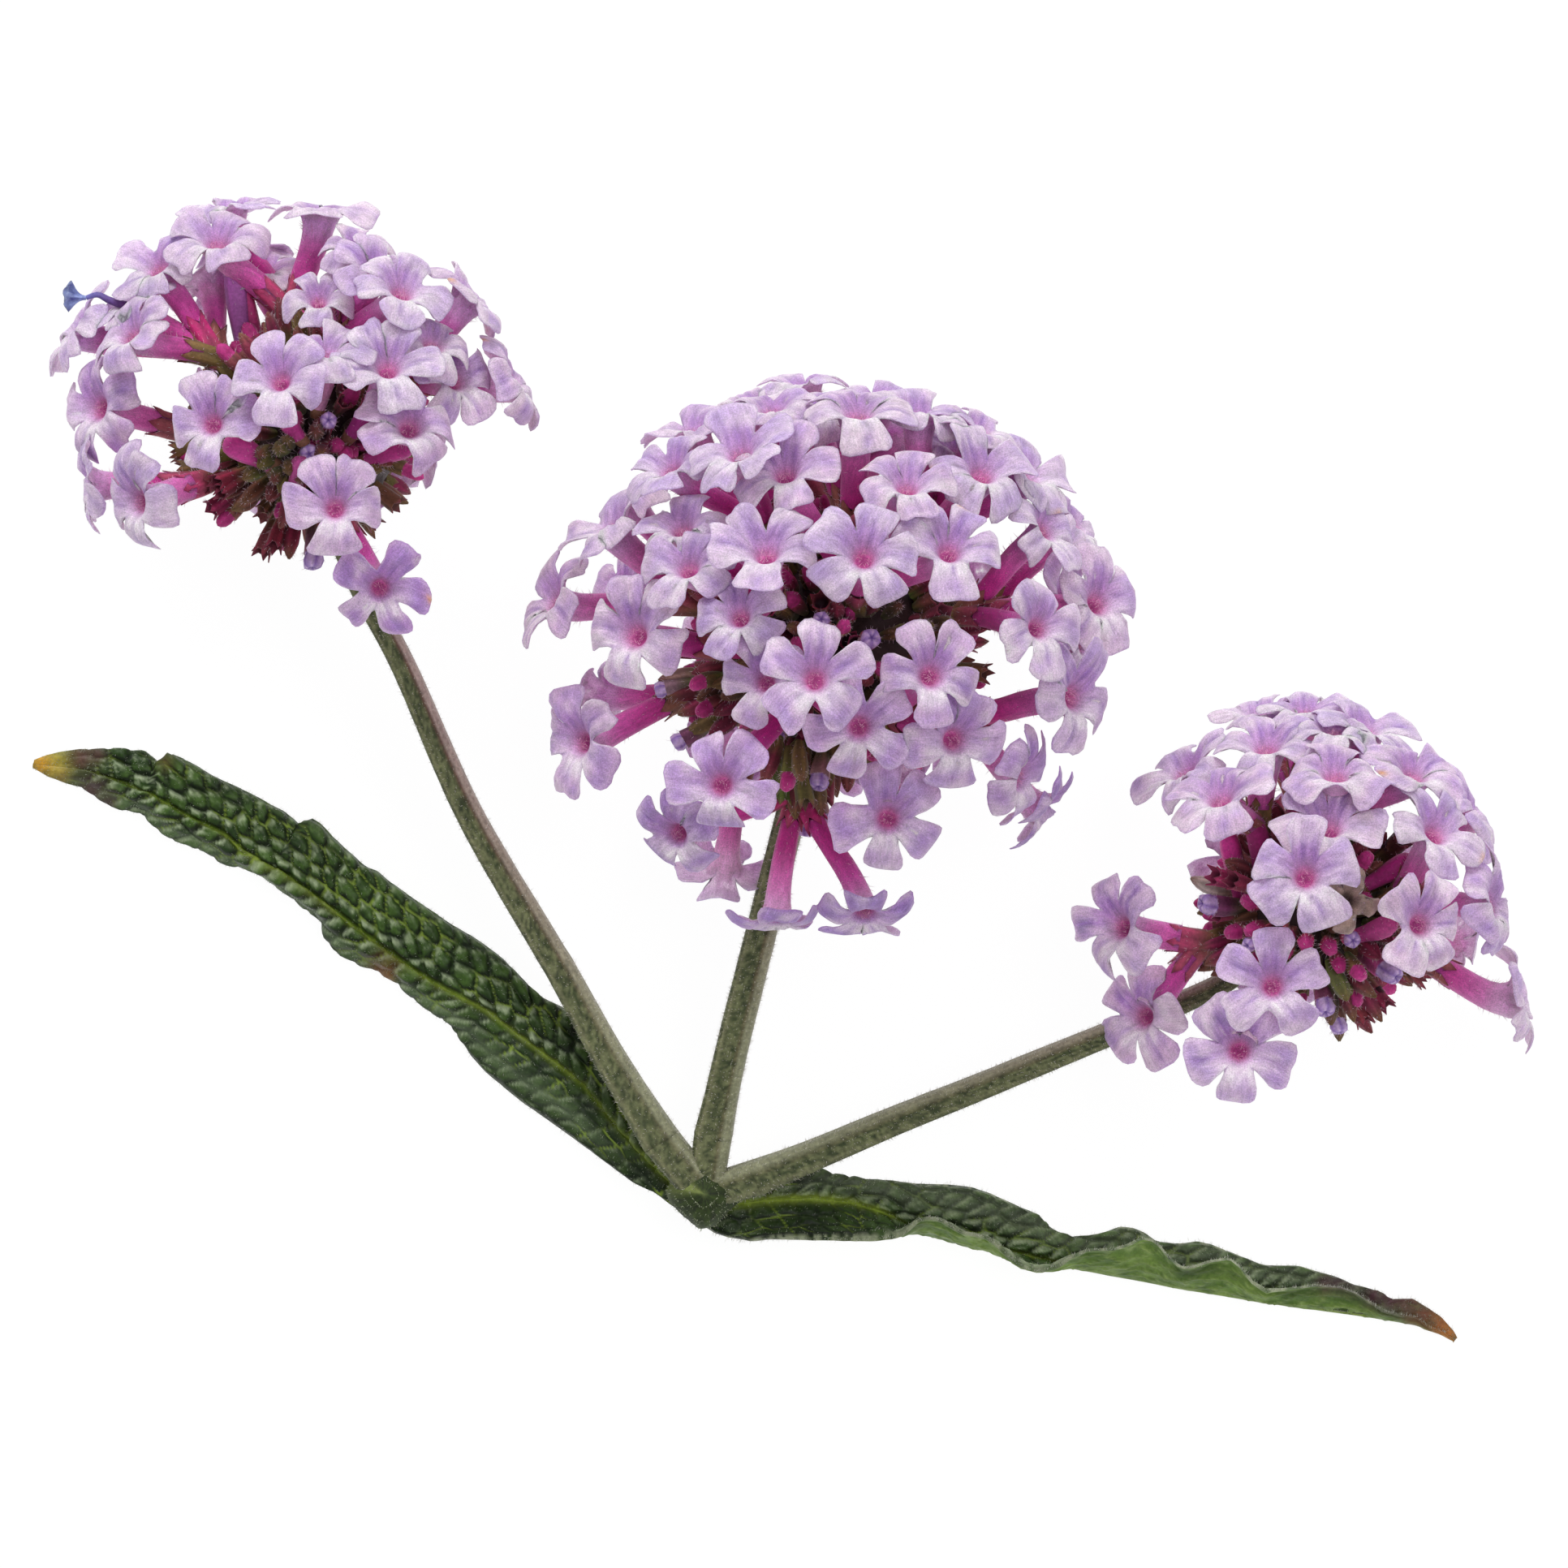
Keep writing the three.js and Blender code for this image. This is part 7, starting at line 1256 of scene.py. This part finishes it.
c = mix(c, lin(142, 156, 84), 0.75 * bright)
o = soup.grid(ring, c, np.zeros(ring.shape), CALYX, wrap=True)
k = soup.points([[N0[0], N0[1], 4.85], [N0[0], N0[1], 0.03]], [lin(92, 106, 56), lin(170, 178, 130)])
soup.fan(o + (len(zz) - 1) * na + np.arange(na), k, CALYX)
soup.fan(o + np.arange(na), k + 1, CALYX, flip=True)
nh = 700
r0, c0 = rng.integers(4, len(zz) - 1, nh), rng.integers(0, na, nh)
out = unit(ring[r0, c0] - (N0 * [1, 1, 0] + np.array([0, 0, 3.0])))
hairs(soup, ring[r0, c0] - out * 0.02, out + rng.normal(0, 0.4, (nh, 3)), rng.uniform(0.10, 0.28, nh), 0.014, mix(lin(214, 220, 190), lin(150, 160, 120), rng.uniform(0, 1, nh)), HAIR)
ob = soup.object("stem_node_look", [M_PETAL, M_STEM, M_HAIR])
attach(ob, "root")
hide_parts("stem_node")
total += soup.faces()


# ---------------------------------------------------------------- leaves
def leaf_sheet(data, ns, nw):
    """Far margin, midrib and near margin at ns even stations along the leaf's own axis."""
    axis = unit(np.array(data["tip"]) - np.array(data["base"]))
    t1 = float((np.array(data["tip"]) - np.array(data["base"])) @ axis)
    t = t1 * np.linspace(data["from"], 1, ns)
    out = []
    for key in ("far", "mid", "near"):
        p = np.array(data[key], float)
        q = (p[:, :2] - np.array(data["base"])) @ axis
        order = np.argsort(q, kind="stable")
        q, p = q[order], p[order]
        out.append(np.stack([np.interp(t, q, p[:, k]) for k in range(3)], -1))
    return out, t, t1


def add_leaf(soup, data, side, rng_seed, ns=300, nw=72):
    (F, M, Nn), t, t1 = leaf_sheet(data, ns, nw)
    w = np.linspace(-1, 1, nw)
    aw = np.abs(w)
    bulge = np.array(data["bulge"])
    edge = np.where(w[None, :, None] < 0, F[:, None], Nn[:, None])
    base = M[:, None] * (1 - aw[None, :, None]) + edge * aw[None, :, None]
    width = np.linalg.norm(edge - M[:, None], axis=-1)
    k = np.minimum(1, (np.linalg.norm(F - M, axis=1) + np.linalg.norm(Nn - M, axis=1)) / 5)
    hump = 4 * aw * (1 - aw)
    lift = np.where(w < 0, bulge[0], bulge[1])
    base[..., 2] += hump[None] * lift[None] * k[:, None]
    base[..., 1] += hump[None] * np.where(w > 0, bulge[2], 0)[None] * k[:, None]
    du = np.gradient(base, axis=0)
    dv = np.gradient(base, axis=1)
    nn = unit(np.cross(du, dv)) * data["facing"]
    a = t[:, None] + 0 * w[None]                     # mm along
    b = np.sign(w)[None] * aw[None] * np.maximum(width, 0.2)  # mm across
    # quilting between the veins: cells leaning forward from the midrib
    sk = a - np.abs(b) * 0.75
    warp = 0.25 * (value_noise(a * 0.8, b * 0.8 + 60, rng_seed + 9) - 0.5)
    d1, d2, who = cells(sk / 1.16 + 40 + warp, np.abs(b) / 0.86 + 3 + warp + 50 * (w[None] > 0), rng_seed, 0.55)
    gap = d2 - d1
    pillow = np.sqrt(1 - (1 - np.clip(gap / 0.80, 0, 1)) ** 2)
    rib = np.exp(-(b / (0.14 + 0.15 * (1 - a / t1))) ** 2)
    near_edge = smooth(aw, 0.90, 1.0)[None] * np.ones_like(a)
    fade = smooth(t1 - a, 0.3, 5.0) * (1 - 0.75 * near_edge) * smooth(aw, 0.03, 0.17)[None]
    side2 = data["quilt"]
    amp = np.where(w < 0, side2[0], side2[1])[None] * (1 - data["smooth"] * smooth(w, 0, 0.1)[None] * np.maximum(1 - smooth(a / t1, 0.30, 0.55), smooth(w, 0.35, 0.65)[None]))
    d1b, d2b, _ = cells(sk / 0.62 + 11, np.abs(b) / 0.5 + 9, rng_seed + 5, 0.8)
    small = smooth(d2b - d1b, 0.0, 0.5)
    lift = amp * fade * (0.40 * pillow * (0.8 + 0.4 * who) + 0.05 * small) + 0.13 * rib * smooth(t1 - a, 0.5, 3)
    curl = near_edge * 0.16
    top = base + nn * (0.16 + lift - curl)[..., None]
    th = data["thick"]
    low = base - nn * (th - 0.85 * lift + 0.1 * near_edge)[..., None]
    # colours
    vein = lin(146, 172, 62)
    m1 = value_noise(a * 0.9, b * 1.3 + 30, rng_seed) * 0.6 + value_noise(a * 3, b * 3 + 30, rng_seed + 1) * 0.4
    c = mix(lin(38, 62, 22), lin(74, 104, 42), smooth(m1, 0.2, 0.8))
    c = c * (0.85 + 0.3 * who[..., None])
    c = c * (1 - 0.58 * smooth(1 - a / t1, 0.50, 0.92))[..., None]
    # painted highlight on the sides of the domes that face the key light, painted shade on the sides that face away
    nt_ = unit(np.cross(np.gradient(top, axis=0), np.gradient(top, axis=1))) * data["facing"]
    dome_facing_light = nt_ @ unit(np.array([-0.35, 0.75, 0.55]))
    sheet_facing_light = nn @ unit(np.array([-0.35, 0.75, 0.55]))
    c = mix(c, lin(188, 204, 164), 0.82 * smooth(dome_facing_light - sheet_facing_light, 0.02, 0.45) * fade * (1 - 0.45 * smooth(1 - a / t1, 0.55, 0.92)))
    c = mix(c, lin(10, 18, 6), 0.92 * smooth(sheet_facing_light - dome_facing_light, 0.02, 0.44) * np.clip(fade * 1.3, 0, 1))
    # painted shade darkening the valleys between the domes
    valley_shade = 1 - smooth(gap, 0.0, 0.34)
    c = mix(c, lin(18, 32, 11), valley_shade * 0.62 * np.clip(fade * 1.3, 0, 1))
    veinline = (1 - smooth(gap, 0.02, 0.13)) * np.where(aw < 0.86, 1, 0.3)[None] * smooth(value_noise(a * 0.7 + 5, b * 0.9 + 44, rng_seed + 2), 0.35, 0.7)
    c = mix(c, vein, veinline * data["veins"] * smooth(t1 - a, 0, 4))
    c = mix(c, lin(164, 184, 74), rib * 0.82 * smooth(t1 - a, 0.5, 6))
    # bands along the leaf; on the left leaf two of them are painted light and painted shade by the rolled near margin
    for band in data["bands"]:
        centre, wide, colour, amount = band
        c = mix(c, lin(*colour), amount * np.exp(-((w[None] - centre) / wide) ** 2) * np.ones_like(a) * (0.6 + 0.4 * m1) * smooth(a, 3, 9))
    # painted shade: darker along the margins where they roll under, less where the margin is hoary
    c = mix(c, lin(30, 44, 24), near_edge * 0.45 * (1 - data["hoary"]))
    c = mix(c, lin(166, 174, 142), near_edge * data["hoary"] * smooth(value_noise(a * 5, b * 2 + 70, rng_seed + 6), 0.35, 0.75))
    for (x, y, r, colour, amount) in data["spots"]:
        dd = np.hypot(base[..., 0] - x, base[..., 1] - y)
        c = mix(c, lin(*colour), amount * np.exp(-(dd / r) ** 2) * (0.5 + 0.5 * smooth(m1, 0.2, 0.6)))
    cu = mix(lin(76, 104, 40), lin(116, 142, 66), smooth(m1, 0.15, 0.85))
    # painted shade: the underside is darker in the hollows between its bumps
    cu = cu * (0.86 + 0.28 * pillow[..., None])
    back = np.exp(-(b / 0.30) ** 2)
    netted = (1 - smooth(gap, 0.0, 0.16)) * 0.5
    cu = mix(cu, lin(158, 178, 106), np.maximum(netted, back * 0.7))
    cu = mix(cu, lin(52, 72, 32), 0.7 * smooth(aw, 0.55, 0.85)[None] * (1 - smooth(aw, 0.93, 0.99))[None] * smooth(value_noise(a * 0.5, b * 0.2 + 12, rng_seed + 4), 0.35, 0.7))
    for (x, y, r, colour, amount) in data["spots"]:
        dd = np.hypot(base[..., 0] - x, base[..., 1] - y)
        cu = mix(cu, lin(*colour), amount * np.exp(-(dd / r) ** 2) * (0.5 + 0.5 * smooth(m1, 0.2, 0.6)))
    tex = np.stack([a, b, 0 * a], -1)
    up = data["facing"] > 0
    soup.grid(top, c, tex, CALYX, flip=up)
    # the underside on every other line
    ii, jj = np.arange(0, ns, 2), np.arange(0, nw, 1)
    if ii[-1] != ns - 1:
        ii = np.append(ii, ns - 1)
    lw = low[ii][:, jj]
    soup.grid(lw, cu[ii][:, jj], tex[ii][:, jj], CALYX, flip=not up)
    for j, far in ((0, True), (nw - 1, False)):
        tp, lo = top[ii][:, j], lw[:, j]
        soup.grid(np.stack([tp, lo], 1), np.stack([c[ii][:, j], c[ii][:, j]], 1), np.zeros((len(ii), 2, 3)), CALYX, flip=(far != up))
    for i2, far in ((0, True), (-1, False)):
        soup.grid(np.stack([top[i2], low[i2]], 0), np.stack([c[i2], c[i2]], 0), np.zeros((2, nw, 3)), CALYX, flip=(far != up))
    return top, low, nn, base, a


for side, data in (("left", LEAF_LEFT), ("right", LEAF_RIGHT)):
    rng = np.random.default_rng({"left": 31, "right": 32}[side])
    soup = Soup()
    top, low, nn, base, a = add_leaf(soup, data, side, {"left": 41, "right": 52}[side])
    ns, nw = a.shape
    # short stiff hairs on one face, longer along the margins
    nh = data["hairs"][0]
    r0, c0 = rng.integers(4, ns - 1, nh), rng.integers(1, nw - 1, nh)
    hairs(soup, top[r0, c0], nn[r0, c0] + rng.normal(0, 0.6, (nh, 3)), rng.uniform(0.07, 0.20, nh), 0.013, mix(lin(206, 212, 192), lin(140, 152, 120), rng.uniform(0, 1, nh)), HAIR)
    nh = data["hairs"][1]
    for j, inner, share in ((0, 3, data["hairs"][2]), (nw - 1, nw - 4, 1.0)):
        n1 = int(nh * share)
        r0 = rng.integers(6, ns - 1, n1)
        out = unit(base[r0, j] - base[r0, inner])
        hairs(soup, (top[r0, j] + low[r0, j]) / 2 + rng.normal(0, 0.05, (n1, 3)), out + nn[r0, j] * rng.uniform(-0.6, 1.0, (n1, 1)) + rng.normal(0, 0.4, (n1, 3)), rng.uniform(0.10, 0.26, n1), 0.013, lin(214, 216, 200), HAIR)
    ob = soup.object("leaf_%s_look" % side, [M_PETAL, M_LEAF, M_HAIR])
    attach(ob, "root")
    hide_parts("leaf_" + side)
    total += soup.faces()

# the small bract under the right head
soup = Soup()
pts = np.array(BRACT)
mid, tan, L = even(pts, 24)
w = np.linspace(-1, 1, 13)
k = np.linspace(0, 1, 24)
wide = 0.34 * np.sin(np.clip(k, 0, 1) * math.pi) ** 0.7 + 0.03
across = unit(np.cross(tan, np.array([0.2, -0.2, 1.0])))
nrm = unit(np.cross(across, tan))
for sgn, colour in ((1, lin(78, 112, 48)), (-1, lin(104, 134, 70))):
    p = mid[:, None] + across[:, None] * (w[None] * wide[:, None])[..., None] + nrm[:, None] * (sgn * 0.06 - 0.35 * (w[None] ** 2) * wide[:, None])[..., None]
    soup.grid(p, np.broadcast_to(colour, p.shape) * (1 - 0.3 * np.exp(-(w / 0.2) ** 2))[None, :, None], np.zeros(p.shape), CALYX, flip=sgn < 0)
ob = soup.object("bract_right_look", [M_PETAL, M_LEAF, M_HAIR])
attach(ob, "root")
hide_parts("bract_right")
total += soup.faces()
print("triangles", total)

# ---------------------------------------------------------------- table, light and camera
bpy.ops.mesh.primitive_plane_add(size=4.0, location=(0, 0, 0))
floor = bpy.context.object
floor.name = "table"
m, nt, b = material("table_white", rough=1.0, spec=0.0)
b.inputs["Base Color"].default_value = (0.08, 0.08, 0.08, 1)
b.inputs["Emission Color"].default_value = (1, 1, 1, 1)
b.inputs["Emission Strength"].default_value = 0.955
floor.data.materials.append(m)

world = bpy.data.worlds.new("studio")
bpy.context.scene.world = world
world.use_nodes = True
bg = world.node_tree.nodes["Background"]
bg.inputs["Color"].default_value = (1.0, 1.0, 1.0, 1)
bg.inputs["Strength"].default_value = 0.49


def area(name, place, size, power, colour=(1, 1, 1)):
    data = bpy.data.lights.new(name, "AREA")
    data.shape = "DISK"
    data.size = size
    data.energy = power
    data.color = colour
    ob = bpy.data.objects.new(name, data)
    ob.location = place
    from mathutils import Vector
    ob.rotation_euler = (-Vector(place)).to_track_quat("-Z", "Y").to_euler()
    bpy.context.scene.collection.objects.link(ob)
    return ob


area("key", (-0.25, 0.85, 0.55), 0.45, 5.3)
area("fill", (0.3, 0.1, 0.9), 0.5, 2.2)

cam = bpy.data.cameras.new("camera")
cam.sensor_width = 36
cam.sensor_fit = "HORIZONTAL"
cam.lens = 36 * 606 / 87.8182
eye = bpy.data.objects.new("camera", cam)
eye.location = (SHIFT[0] * 0.001, SHIFT[1] * 0.001, 0.62)
eye.rotation_euler = (0, 0, 0)
bpy.context.scene.collection.objects.link(eye)
bpy.context.scene.camera = eye
bpy.context.scene.view_settings.view_transform = "Standard"
